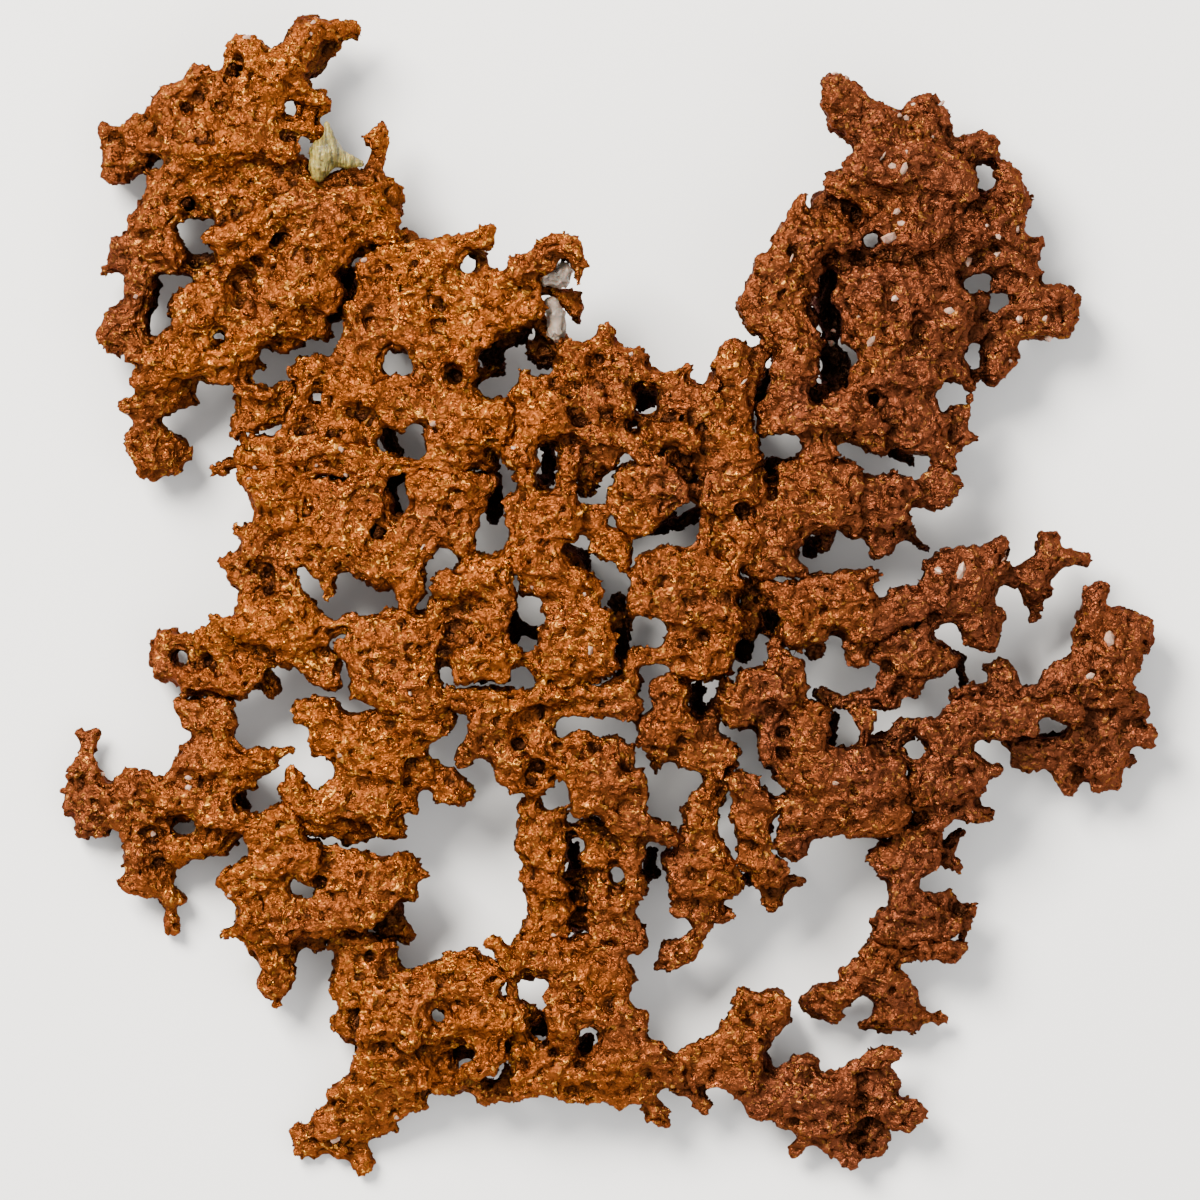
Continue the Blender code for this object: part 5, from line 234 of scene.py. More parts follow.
10 10 | -23.4 22.2 .9 | -22.8 24 .8 | -23.2 25.6 .8
11 10 | -12.9 14.4 .9 | -11.9 13.4 .8 | -11.4 12.8 .7
""",
    "lower_stem": """
12 12 | -8.4 -10.4 1.1 | -7.2 -9.9 1.1 | -5.8 -9.6 1.2 | -4.4 -9.8 .9
12 12 | -2.6 -9.6 1.1 | -1 -9.4 .9 | .4 -9.4 1 | 1.8 -9.4 1.3
11 12 | -5.4 -11.1 1 | -4 -10.9 .8 | -2.8 -11.1 .8 | 1.2 -11 1 | 2.4 -10.9 1.1 | 2 -11.8 .7
12 12 | -14.6 -9.6 .5 | -13.2 -9.8 .9 | -11.8 -10 1.2 | -10.2 -10.1 1.1
12 12 | -13.2 -11.4 1 | -11.8 -11.6 1.3 | -10.2 -11.6 1.2 | -8.9 -11.3 .7
12 11 | -13 -12.8 1 | -11.6 -13.1 1.3 | -10.2 -13.2 1.2 | -8.9 -12.9 1
11 10 | -13 -14.6 1.1 | -11.4 -14.8 1.2 | -10 -15 1.1 | -8.8 -14.2 .8
10 10 | -14 -15.4 .9 | -14.3 -16.4 .8
11 11 | -10.5 -16.6 1.1 | -9.2 -16.1 1.2 | -8.3 -17 .9 | -9 -17.9 .5 | -10.2 -18 .9 | -9.4 -18.9 .7
| -8.2 -19.2 .5
11 11 | -6.6 -13 1.2 | -5.8 -14 .9 | -7 -14.4 1 | -8 -13.1 .8 | -5.9 -12.2 .7
12 12 | -8 -15.2 .4 | -7 -15.7 .5 | -6 -16.2 .6 | -5.2 -16.3 .8 | -4 -16 1
11 11 | -5.4 -17.2 .7 | -6.2 -17.6 .6 | -6 -18.6 .7 | -7 -19.4 .6
11 11 | -3.7 -14.8 .9 | -2.5 -14.4 1 | -2.6 -15.9 1.2
11 11 | -.4 -14.8 1 | .8 -14.9 1.1 | 1.9 -15.2 .8 | 2 -16.3 .6
12 12 | -4 -17.3 1 | -2.6 -17.2 1.2 | -1 -16.6 1.3 | .4 -16.4 1 | .3 -17.6 .9
12 12 | -2.9 -18.6 1 | -1.5 -18.3 1.2 | .1 -18.6 1.2 | 1.6 -18.6 1 | 2.9 -18.3 1 | 3.2 -17.6 .5
12 11 | -3 -20 1 | -1.6 -19.8 1.1 | -.2 -20 1.1 | 1 -19.6 .9 | 3 -19.4 1 | 3.1 -20.9 .9
12 11 | -3 -21 1 | -1.2 -20.9 .9 | .3 -21.1 1 | .6 -22.2 1 | 2.2 -22.2 1.1 | 3.4 -22 .9
11 10 | 1 -23 1 | 2.4 -23.4 1.1 | 4 -23 1.2 | 5.4 -23.4 1 | 6.6 -24 .9
9 10 | -7.2 -20.4 .9 | -7.6 -21.6 1.1 | -6 -21.9 .9 | -4.7 -21.7 .8
9 9 | -7.7 -23.2 1.3 | -6.2 -23.3 1.4 | -4.8 -22.9 1.1
9 9 | -7.8 -24.6 1.3 | -6.2 -24.8 1.4 | -5 -24.6 1.2
9 9 | -7.4 -26.2 1.1 | -5.9 -26.1 1.2 | -4.8 -26.2 .8 | -5.6 -27.4 1
8 9 | -7.7 -27.6 1 | -7.4 -28.9 1.1 | -6 -29 1.3 | -4.5 -29 1
8 8 | -6.9 -30.2 1.2 | -5.3 -30.3 1.3 | -4 -30.5 .8 | -6.6 -31.8 1.3 | -5 -32 1.3
8 8 | -7.4 -33.4 1.2 | -5.8 -33.4 1.2 | -4.5 -33.2 .8
9 9 | -1.8 -23.2 1.2 | -1 -22.9 .9 | -.8 -24.6 1.2 | -1.6 -25.8 1.1 | -.1 -26 1.1 | 1.2 -25.6 1
10 9 | 1.7 -24.3 .9 | 2.6 -25.6 1.1 | 2.3 -26.6 .9 | 2.8 -28 1 | 2.6 -29.2 1.2 | 2 -30.2 1
8 9 | -1.2 -27.2 1.1 | -.3 -27.6 .8 | -.6 -28.8 1.1 | -.9 -30.3 1.3 | .4 -30.6 .9 | 1.6 -31 1
8 8 | -1.2 -32 1.3 | .4 -32.2 1.3 | 1.8 -32.2 1 | 2.8 -33.2 1
8 8 | -.6 -33.6 1.2 | 1 -33.8 1.2 | 3 -34.2 1
6 6 | -3.8 -27.9 .7 | -2.2 -29 .8 | -2.3 -30.6 .9 | -2.4 -32.2 .9
4 4 | -3.4 -25 .8 | -3.2 -32.9 .8
4 4 | 4.2 -25.8 .7 | 4.3 -27.2 .7
11 11 | -13.8 -11.3 .8 | -15 -10.6 .8 | -15.8 -9.4 .7
""",
    "lower_arch": """
11 11 | 5.4 -10.4 1.1 | 4.8 -9 .9 | 6.2 -8.4 1 | 7 -9.6 1.1
11 11 | 4 -12.9 1.2 | 5.4 -12.2 1.3 | 6.9 -11.8 1.3 | 8 -12.6 1.1 | 8.4 -13.4 .8
11 11 | 3.6 -14.2 1 | 5 -14 1.3 | 6.6 -13.6 1.1
10 9 | 5.2 -15.6 1.1 | 4.8 -16.4 .8
10 10 | 10.3 -12.6 .8 | 10 -13.8 .7 | 8.4 -15 1.1 | 9.8 -15 1.3 | 11.2 -14.9 1.1 | 12.6 -15.2 .7
10 10 | 7.7 -16.4 1 | 9.2 -16.4 1 | 10.7 -16.4 1.1 | 12 -16.3 .9
10 9 | 11 -17.9 1 | 10.2 -18.9 .9 | 11.6 -18.6 .9 | 9.4 -20.1 1.2 | 10.8 -20 1
9 9 | 8.5 -21.6 1.2 | 9.8 -21.5 1.2 | 8.6 -23 1.3 | 10 -23.2 1.1
9 9 | 7.6 -24.6 1 | 9 -24.6 1.2 | 10.6 -24.6 1 | 11.2 -25.6 .9
8 9 | 6.4 -26.2 1.2 | 8 -26.4 1.4 | 9.6 -26.4 1.2 | 11.2 -26.8 1.3
8 8 | 7 -28 1.4 | 8.6 -28 1.4 | 10.4 -28.6 1.3 | 12 -28.2 1.4 | 12.9 -28.8 .8
8 8 | 7 -29.4 1 | 8.2 -29.2 .9 | 11.6 -29.2 .9
7 7 | 6.8 -31.1 .8 | 8.2 -31.1 1 | 9.8 -31 1.1 | 11 -31.6 .9 | 12.2 -31.7 .5
7 6 | 9.2 -32.2 1 | 9 -33.6 .8 | 8.2 -34.3 .8
6 6 | 7.6 -35 .7 | 8.6 -34.6 .7 | 8.2 -35.8 .5 | 6.6 -35.3 1.1 | 5.9 -36.2 1 | 6.6 -36.4 .9
| 4.9 -36.6 .5
5 5 | 8.9 -9.2 .8 | 8.7 -10.6 .8 | 9.2 -12.2 .8
8 1.2 | 9.4 -26.8 1.8 | 9.6 -26.6 1.6
6 10 | 9.4 -12.1 .8 | 10.6 -11 .8 | 11.4 -9.6 .8 | 11.8 -8.6 .7
""",
    "right_core": """
12 11 | 12.2 -10.6 1.3 | 13.8 -10.4 1.3 | 15.4 -10.2 1.3 | 12.4 -12 1.1 | 13.8 -11.9 1
12 11 | 13.9 -8.4 1.3 | 15.6 -8.3 1.4 | 17.2 -8.3 1.4 | 18.6 -8.4 1.2
11 11 | 16 -7.1 .9 | 17.5 -6.9 1.1 | 18.7 -6.8 .9
12 11 | 17.2 -9.8 1.4 | 18.4 -10.2 1
11 11 | 16.5 -12.2 .9 | 15.9 -13.2 1 | 15.9 -14.8 1.1 | 16.2 -15.8 1.1
11 11 | 17.9 -11.4 .9 | 19.3 -11.9 1.3 | 20.7 -11.8 1.2 | 19.3 -13.4 1.3 | 20.9 -13.4 1.2
11 11 | 19 -14.9 1.1 | 20.6 -14.9 1.2 | 18.4 -16.2 1.1
11 10 | 17.6 -17.3 1.3 | 19.1 -17.1 1.3 | 20.7 -16.8 1.3 | 22.4 -16.3 1.2 | 24 -16 1.1 | 25.6 -15.7 1
11 10 | 18.4 -18.4 1 | 20 -18.6 1.3 | 21.7 -18.2 1.3 | 23.4 -17.8 1.4 | 25.2 -17.9 1.4 | 27 -17.2 1.4
| 28.4 -17 1.2
10 10 | 19.4 -20 .9 | 21 -20 1.2 | 22.7 -19.8 1.3 | 24.4 -19.8 1.3 | 26.2 -19.6 1.4 | 28 -18.9 1.4
| 29.4 -19 1
10 9 | 18 -20.6 1 | 17.6 -22 1 | 19 -22 1.2 | 20.7 -21.6 1.3 | 22.4 -21.6 1.3 | 24.1 -21.5 1.3
| 25.8 -21.4 1.3 | 27.5 -21 1.3
9 9 | 17.9 -23.6 1.2 | 19.6 -23.2 1.1 | 21.2 -23 .9 | 22.8 -22.6 .9 | 24.5 -22.9 1 | 26.2 -22.8 1
| 27.8 -22.6 1.2 | 29.2 -21.4 1
9 8 | 17.1 -24.6 .9 | 18.3 -25 .9 | 19.4 -24.9 .5 | 18.4 -26.2 .25
9 9 | 25.6 -13 .7 | 24.9 -12 .6 | 24.4 -11.2 .7 | 25.9 -11.9 .8 | 25.4 -13.4 .6
7 7 | 26 -14.7 .9 | 27.3 -14.6 1 | 28.7 -14.2 1 | 29.3 -13.4 .9 | 30.6 -13 1 | 28.4 -12.8 .4
4 4 | 17.3 -13.8 .7 | 22 -13.2 .8 | 21.8 -14.9 .7 | 22.4 -12 .6
9 1.2 | 22.4 -18.6 2 | 22.4 -18.8 1.7
11 9.5 | 17.8 -6.6 .8 | 16.7 -5.6 .8 | 16.4 -4.6 .7
""",
    "arch_foot": """
11 10 | 13 -18.4 1.2 | 14.4 -18.6 1 | 13.6 -20 1.3 | 15 -19.9 1.2 | 16 -20.4 .8
10 10 | 13 -21.4 1.1 | 14.6 -21.6 1.1 | 13.9 -23 1.2 | 15.2 -22.9 1.1 | 15.3 -24 1
9 9 | 13.6 -24.9 1 | 15 -25.4 1.1 | 13.6 -26.2 .9 | 15.4 -26.8 1.3 | 16.9 -26.6 .8 | 15.2 -28 1.1
| 16.8 -27.8 .9 | 17.8 -27 .4
7 7 | 18 -28.2 .35 | 19.2 -28.4 .5
7 6 | 15.4 -29.2 .45 | 15.6 -30.4 .6 | 16.4 -30.7 .75 | 17 -30.4 .6 | 17 -29.2 .45
4 4 | 14 -28.2 .6
10 10 | 15.4 -22.6 .7 | 16.6 -21.2 .6 | 17.4 -20 .7
""",
    "right_shoulder": """
11 11 | 14.7 11.6 1.1 | 14.6 8.4 1.1 | 15.6 7.2 1.1
11 11 | 17.9 12.2 1.1 | 19.3 12.1 1.4 | 20.9 12.1 1.4 | 22.5 12.2 1.3 | 24 12.3 1.2
11 11 | 17.9 10.6 1.1 | 19.4 10.5 1.4 | 21 10.6 1.4 | 22.6 10.6 1.4 | 24.1 10.8 1.2
10 9 | 25.4 11 .9 | 27 10.8 1.2 | 28.5 11.1 1.2 | 29.8 10.8 .8 | 30.8 10.3 1
11 11 | 16.4 8.3 1.2 | 17.9 8.8 1.4 | 19.5 8.9 1.4 | 21.1 9 1.4 | 22.7 9 1.4 | 23.9 9.3 1.1
11 11 | 17 6.9 1.3 | 18.5 7.2 1.2 | 20.2 7.7 1 | 21.8 7.6 1.2 | 23.1 7.9 1
11 10 | 24.8 8.4 .7 | 24.3 7.4 .8 | 24.5 6.5 .8
10 10 | 26.1 9.2 1.1 | 27.4 9.1 1.4 | 28.8 9 1.1
10 10 | 26.9 7.4 1.1 | 28.2 7.4 1.2 | 29.2 7.9 .8
9 9 | 26.7 5.8 1.2 | 27.8 5.9 1.1 | 26.8 4.8 .9 | 27.7 4.9 .8 | 26.8 4.1 .4
9 8 | 20.9 6.8 .8 | 22.4 6.9 .6 | 21.2 5.2 .8
11 11 | 15.6 5.7 1.3 | 17.2 5.4 1.4 | 18.5 5.6 1
11 11 | 14.8 4.4 1.2 | 16.3 4 1.4 | 17.8 3.8 1.3
11 11 | 14.2 3.1 1 | 15.8 2.6 1 | 17.1 2.6 .7 | 18.5 2.7 .8 | 19.6 2.2 .5
5 5 | 20.1 5.6 .7 | 20.1 4.5 .7
5 5 | 16.3 10.6 .8 | 16.3 9.6 .8
7 6 | 30 6.4 .45 | 30.6 5.6 .5 | 31.2 5 .5 | 31.6 4.8 .45
8 8 | 31 10.2 1.1 | 32.4 10.3 1.3 | 33.5 10.3 1.1 | 34.2 11.2 .9
8 8 | 31.2 9.3 .7 | 32.6 9.7 .9 | 31.7 11.5 .9 | 33.2 12 1.1
""",
    "right_bridge": """
11 11 | 16.4 .8 .8 | 17.4 .4 .9 | 18.8 .5 .8 | 20.2 1.1 1.2 | 21.8 1 1.3 | 23.4 1.3 1.3 | 24.8 1.6 1.1
| 26 2.1 .7 | 26.7 2.3 .5
11 11 | 17 -.9 1 | 18.6 -.8 1.3 | 20.2 -.4 1.3 | 21.8 -.6 1.4 | 23.4 -.5 1.3 | 25 -.2 1.1 | 26.1 -.4 .8
11 10 | 18.4 -2.3 1.1 | 20 -2 1.4 | 21.6 -2.2 1.4 | 23.2 -2.1 1.4 | 24.8 -1.8 1.4 | 26.4 -1.8 1.2
| 27.5 -1.1 1
11 10 | 18.1 -3.8 1.1 | 19.4 -3.6 1.2 | 20.9 -3.4 1.1
10 10 | 24.2 -3.4 1.1 | 25.6 -3.4 1.3 | 27 -3 1.2 | 28.4 -2.1 1.2 | 29.9 -1.5 1.2 | 31.3 -.9 1.3
10 10 | 28.7 -.4 1.1 | 30 -.1 1.2
9 9 | 24.3 -4.8 1.1 | 25.4 -5.2 1.1 | 24.6 -6.3 .8 | 25.4 -6.4 .7
10 9 | 17.3 -3.2 .7 | 16.8 -4.4 .8
9 9 | 13.9 -1.7 1.1 | 14.6 -2.7 .9 | 14 -3.6 .8
9 9 | 13.7 .9 .7 | 14.1 1.4 .6
8 8 | 20.2 -5.8 .6 | 20.9 -5.4 .5
10 10 | 18.8 -5 .8
4 4 | 16.2 -2.2 .7 | 16.3 -3.3 .6
10 10.5 | 16.6 -1 .7 | 15.8 0 .6 | 15.7 1.6 .7
""",
    "right_arm": """
9 9 | 28 -4.2 1.1 | 29.6 -4.2 1.3 | 31.1 -3.8 1.1
9 8 | 26.6 -6 .6 | 27.2 -5.4 .7 | 28.8 -5.5 1 | 30.2 -5.4 1.2 | 31.8 -5.3 1.2 | 33 -6.1 1.1 | 34 -6.6 .9
9 8 | 29.2 -7 1 | 30.6 -7 1.2 | 32 -7 1.1 | 33.3 -7.2 .7
8 8 | 27.6 -8.3 .8 | 27.5 -9.6 .9 | 28 -10.4 .9
8 8 | 28.9 -7.9 .6 | 30 -8.6 1.1 | 30.6 -9.3 .8
8 7 | 24 -10.4 .8 | 25.3 -10.1 .9 | 26.6 -10.2 1
8 8 | 21.4 -9.8 1 | 22 -10.2 .9
4 4 | 35 -6.2 .35 | 35.1 -7.6 .45 | 35.3 -8.7 .35
10 9 | 32.4 2.4 1.2 | 33.9 3.4 1.3 | 35.5 3.6 1.3 | 37 3.7 1.2 | 38.4 4.5 1.1 | 39 4.9 .9
10 9 | 31.9 1 1.2 | 33.4 1.6 1.4 | 35 1.8 1.5 | 36.6 2.2 1.4 | 38 2.8 1.3 | 39.2 3.4 .7
10 9 | 31.4 -.5 1.2 | 32.8 -.2 1.4 | 34.4 .2 1.5 | 36 .4 1.5 | 37.4 .9 1.2
9 9 | 32.2 -1.8 .9 | 34.4 -1.6 1.1 | 35.8 -1.2 1.4 | 37.2 -.7 1.3
9 8 | 35.8 -2.8 1.1 | 37 -2.3 1.4 | 38.4 -2 1.1
8 8 | 36.2 -4.1 1 | 37.4 -3.9 1.3 | 38.1 -3.5 .9 | 37.6 -4.9 .7
8 7 | 38.6 2 1 | 40 1.8 .9 | 41.4 2 1.2 | 42.8 2.6 1.4 | 44 3.2 1.2
7 6 | 43.5 4 1 | 43.8 5.2 1.1 | 43.3 6 .65 | 44.4 6 .65
7 5 | 44.9 3.9 .9 | 46.2 3.8 .75 | 47.4 3.7 .75
7 5 | 42.6 1 1.4 | 43.2 .6 .8 | 42.1 .1 1 | 42.2 -.9 .8 | 42.4 -2 .6
""",
    "right_branch": """
9 8 | 31.6 -13.4 1.2 | 33.2 -13.4 1.1 | 34.8 -12.4 1.3 | 36.4 -12 1.3 | 38 -12 1.3 | 39.6 -11.6 1.3
| 41.2 -11.7 1.2 | 42.2 -11.8 1
8 8 | 35.6 -11 1 | 33 -12.9 .7 | 35 -10.4 .5 | 42.8 -11.2 1 | 44.6 -11 1.3 | 46.2 -11.6 1.3
9 8 | 33 -14.8 1.2 | 34.6 -14.2 1.3 | 35.9 -13.6 1 | 41.6 -13 .9 | 38.4 -13.2 .7
9 8 | 31.6 -16.8 1.2 | 33.2 -16.4 1.3 | 34.9 -16 1.3 | 36.4 -16.7 1.2 | 37 -17.8 .9 | 38.6 -17.2 .7
9 8 | 31 -18.4 1.3 | 32.8 -18.2 1.4 | 34.5 -18 1.3 | 36.2 -18.6 1.2 | 30.9 -20.1 1.2 | 32.6 -19.9 1.3
| 34.4 -19.6 1.2
8 6 | 35.4 -20.2 .7 | 35.8 -21.6 .8 | 37 -21.8 .8 | 37.7 -21.6 .7
8 7 | 32.2 -22.8 .8 | 33.4 -21.8 1 | 31 -23.6 .9 | 29.4 -23.4 1.1 | 32.6 -23.8 .8
5 5 | 35 -23.4 .5 | 34.3 -23.8 .4 | 33.8 -24.8 .4 | 33.9 -26.2 .6 | 34.6 -26.9 .7
3 3 | 31.3 -22 .5 | 33.3 -25 .5
7 7 | 27.4 -25.4 1 | 28.9 -25 1.2 | 30.4 -25 1.2 | 31.9 -25.2 1.1 | 26.4 -26 .8
7 7 | 27.6 -26.9 1.1 | 29.1 -26.8 1.2 | 30.7 -26.6 1.2 | 32 -26.4 .9 | 28.8 -28 1 | 30 -28.1 .9
7 7 | 29 -29.4 1.1 | 30.3 -29.8 1 | 29.2 -30.9 1.3 | 30.9 -31.2 1.2 | 32.4 -31.2 .9
6 6 | 27.8 -32.2 1.2 | 29.4 -32.4 1.3 | 31 -32.2 .9 | 33 -32 1 | 34.4 -32.4 .9 | 27.3 -33.4 1.2
| 29 -33.8 1.2 | 33.6 -33.2 1
5 5 | 26.2 -32.1 .35 | 26.1 -32.3 .3
5 4 | 33.9 -29.6 .5 | 34.3 -30.4 .6 | 34.5 -31 .45
5 4 | 36.4 -30.8 .5 | 36 -31.4 .6 | 35.4 -32 .4 | 35.7 -30.8 .4 | 35.4 -33.4 .6
7 1.1 | 32.8 -18.6 1.8 | 32.8 -18.8 1.6
5 7 | 34.2 -30 .6 | 32.6 -30 .6 | 30.9 -29.9 .7
8.5 8 | 30.6 -17.4 .7 | 29.6 -16.4 .6 | 28.8 -15.2 .7
""",
    "right_lobe": """
6 6 | 47.8 .3 .8 | 48.9 .7 .9
6 6 | 48.3 -.6 1 | 48.4 -1.9 1.3
6 5 | 47.9 -2.2 1.1 | 49.8 -2.3 1.1 | 51.4 -2.5 1.2 | 53.1 -3.1 1.1
6 5 | 47.6 -3.6 1.3 | 49.2 -3.8 1.4 | 50.8 -3.8 1.4 | 52.4 -4.2 1.4 | 53.2 -4.4 1.1
6 6 | 47.2 -5.2 1 | 48.6 -5.4 1.4 | 50.2 -5.4 1.5 | 51.7 -5.6 1.3
6 6 | 45.3 -7.1 .9 | 46.8 -6.8 1.3 | 48.4 -7 1.5 | 50 -7 1.5 | 51.4 -7.1 1.3
6 6 | 44.5 -7.8 1.1 | 46 -8.4 1.4 | 47.6 -8.6 1.4 | 49.4 -8.6 1.4 | 50.9 -8.6 1.3
6 6 | 36.2 -9.9 .9 | 37.9 -9.7 1 | 39.6 -9.6 1.3 | 41.2 -10 1.1 | 42.8 -9.9 1.1 | 44.4 -9.6 1.3
6 5 | 45.9 -10 1.4 | 47.6 -10.2 1.4 | 49.4 -10.2 1.5 | 51.2 -10.2 1.4 | 52.6 -10.4 1.1
6 6 | 39 -6.9 1 | 39.4 -8.2 1.3 | 40.1 -7.8 .9
5 5 | 37.6 -7 .45 | 38.2 -7.1 .4
6 5 | 39.4 -14.4 .4 | 40.8 -14.9 1.1 | 42.4 -15 1.1 | 44 -15.1 1.2 | 45.6 -15 1.2 | 46.8 -13.9 1.3
| 47.4 -12.4 1.3 | 49 -11.8 1.1
5 5 | 40.9 -16.3 .9 | 42 -16.5 .9 | 44 -16.4 .9 | 45.6 -16.3 1.1 | 47.2 -15.8 1.2 | 48.6 -14.2 1.3
| 50 -13.6 1.1 | 51.8 -14 .9 | 53.3 -14 1 | 53.9 -13.4 .6
5 4 | 45.3 -17.9 .9 | 45.9 -18.9 .8 | 45.1 -17 .9
5 4 | 48.2 -17.3 1.1 | 49.8 -17 1.3 | 50.4 -15.6 1.2 | 51.2 -16.2 .9 | 49.2 -18.4 1.1 | 50.2 -18.6 .9
5 4 | 51.6 -11.3 .9 | 52.9 -11.3 .9
2 2 | 52.2 -16.2 .5
5 1.1 | 49.6 -13.4 1.7 | 49.8 -13.4 1.5
5 1.1 | 50.6 -4 1.6 | 50.8 -4 1.4
7 7.5 | 36.6 -9.4 .7 | 35.4 -9.4 .7 | 34.6 -9.9 .7
""",
    "upper_right_lobe": """
9 9 | 22.6 50.6 1.4 | 22.9 49.2 1.7 | 23.2 47.6 1.6 | 24.2 46.8 1.3
9 9 | 23.6 51.2 .7 | 25 48.4 1.3 | 26.6 47.8 1.3 | 28.2 47.3 1.2
9 9 | 24.8 46 1.4 | 26.4 46.2 1.4 | 28 45.8 1.4
8 8 | 30.2 47.9 1 | 31.6 48.7 1.2 | 32.4 47.9 1.2 | 33 46.6 1.1
8 8 | 30 46.4 1.4 | 31.6 46.2 1.4 | 33.2 45.4 1.1
8 7 | 34.8 43.6 1.3 | 36.2 44.4 1.5 | 37.3 44.7 1.4 | 37 45.6 .7
10 9 | 25.6 44.2 1.5 | 27.3 44 1.6 | 29 43.8 1.6 | 30.8 43.8 1.7 | 32.8 43.4 1.7 | 34.6 42.4 1.6
| 35.8 41.6 .8
10 9 | 25 42.4 1.6 | 26.8 42 1.7 | 28.6 41.8 1.7 | 30.4 41.6 1.7 | 32.2 41.2 1.7 | 34 40.6 1.7
| 35.4 39.8 1.1
9 8 | 22.7 40.9 1.3 | 24.3 40.6 1.6 | 26.2 40.2 1.5 | 28 40 1.6 | 29.6 39.8 1.5 | 31.4 39.2 1.5
| 33.2 38.6 1.6 | 34.8 37.8 1.3
7 7 | 21.4 39 1.3 | 23 38.8 1.5 | 24.2 38.4 1.2
8 8 | 20.4 37.4 1.2 | 22.2 37 1.5 | 23.6 36.6 1.2
9 9 | 19.3 39.7 .5 | 18.9 38.6 .7 | 18.8 37.4 1
10 10 | 18.4 36.4 1.2 | 17.8 35 1.4 | 19.4 35.4 1.3 | 21.2 35.4 1.4 | 22.8 35.6 1.3 | 24.2 35.4 1.1
9 9 | 25.7 36.6 .5 | 27.4 37 .9 | 28 38.2 1.3 | 26.6 38.6 1.3
9 9 | 30.2 37.6 1.4 | 31.8 37 1.5 | 33 36.2 1.3
9 9 | 28.6 35.2 1.4 | 30.2 35.6 1.5 | 31.8 35 1.5 | 28 36.2 .8
8 8 | 35 36.2 1.2 | 35.2 35 1.2 | 34.8 33.8 .8
7 7 | 39.4 42.2 .9 | 39.9 41 1.3 | 40.4 39.6 1.4 | 40.2 38.2 1.4 | 40.2 37 1.2
5 5 | 36.9 39.8 .9
7 7 | 38.2 39.4 1.3 | 38.4 37.8 1.5 | 38.2 36.2 1.5 | 39.8 35.8 1.4 | 41 35.2 1.1
8 8 | 36.6 37.6 1.3 | 36.6 36 1.3 | 36.4 34.8 .8
7 6 | 35.6 32.4 .8 | 40.6 34 1 | 40.4 33 .8 | 41.4 32.6 1.1 | 42.4 32.4 .8 | 43 32.2 .4
6 6 | 43 35.4 .5 | 42.6 35 .9 | 42 34 1
6 6 | 39 31 .9 | 40.4 30.6 .8 | 41.6 31.2 .9 | 42 30.2 1.2
6 5 | 40.8 28.6 .9 | 42 28.8 1.6 | 43.6 29 1.8 | 45 29.2 1.6 | 46.2 29.2 .9
5 5 | 44.6 30.2 .9 | 45.2 30.7 .5
6 5 | 40 27.4 .8 | 41.4 26.9 1.5 | 43 27 1.6 | 44.6 27.2 1.4 | 45.4 26.8 .8 | 46.3 28 .7
6 6 | 39.9 26 .9 | 39.4 25 1.2 | 38.2 24.2 1.2 | 37.6 25.1 .6 | 39.6 23.8 1
6 5 | 38.6 22.8 1.3 | 37.6 22.3 1 | 38.4 21.4 .6
7 7 | 36.9 29.6 .9 | 36.6 28.2 1 | 36.2 26.9 .9 | 36.6 25.8 .8
8 8 | 25.2 33.2 1.1 | 26.8 33.4 1.5 | 28.4 33.4 1.6 | 30 33.4 1.6 | 31.6 33.2 1.6 | 33.2 33.2 1.4
10 9 | 24 31.2 1.3 | 25.6 31.4 1.6 | 27.4 31.6 1.6 | 29.2 31.4 1.6 | 31 31.3 1.6 | 32.8 31.4 1.5
| 34 32.2 1
10 9 | 23.3 29.6 1 | 25 29.4 1.6 | 26.8 29.6 1.6 | 28.6 29.4 1.6 | 30.4 29.4 1.6 | 32.2 29.4 1.6
| 34 29.6 1.5 | 35.2 29.2 1.1
10 10 | 24.6 27.4 1.4 | 26.2 27.4 1.6 | 28 27.4 1.6 | 29.2 27.2 1.1
9 9 | 32 27.6 1.3 | 33.6 27.6 1.6 | 35 27.4 1.2
10 10 | 24 25.9 1 | 25.6 25.6 1.5 | 27.4 25.4 1.6 | 29 25.2 1.1
9 8 | 32 25.6 1.3 | 33.6 25.4 1.5 | 35 25 .9
10 9 | 25.6 23.8 1 | 27.2 23.6 1.5 | 28.8 23.4 1.5 | 30.2 23.2 1.3 | 31.4 23.6 1.2
8 7 | 33.2 23.2 1.4 | 34.6 22.6 1.3 | 35.4 21.5 .8 | 36.2 20.8 .6
10 9 | 25.4 21.7 1.2 | 27 21.6 1.5 | 28.6 21.4 1.4 | 30 21.2 1.2 | 31.6 21.8 1.2 | 32.6 21.2 .8
11 10 | 15.6 32.6 1.4 | 17.2 32.8 1.6 | 18.8 32.8 1.6 | 20.2 32.6 1.3
11 10 | 14.8 31 1.2 | 16.4 30.8 1.6 | 18.2 30.8 1.6 | 19.8 30.6 1.2
11 10 | 14 29 1.3 | 15.6 29 1.6 | 17.4 29 1.6 | 19 28.9 1.2
11 10 | 14.4 27.4 1.2 | 16 27.2 1.6 | 17.8 27.2 1.6 | 19.4 27.4 1.2
11 10 | 16.4 25.7 1.1 | 18 25.6 1.5 | 19.6 25.4 1.3 | 20.6 25 .8
11 11 | 17.6 23.8 1.4 | 19 23.4 1.5 | 20.3 23.6 .9
11 11 | 17.2 22.2 1.2 | 18.8 22 1.4 | 20 22 1
11 11 | 16.8 20.4 .9 | 18 20 1.2 | 19.2 19.4 1.1
5 5 | 21.8 33 1.2 | 22 31 1.1 | 21.4 29 1.1 | 22.2 27 1.1
10 10 | 21.8 19 1.1 | 23.4 19.2 1.2 | 24.8 19.4 1.1
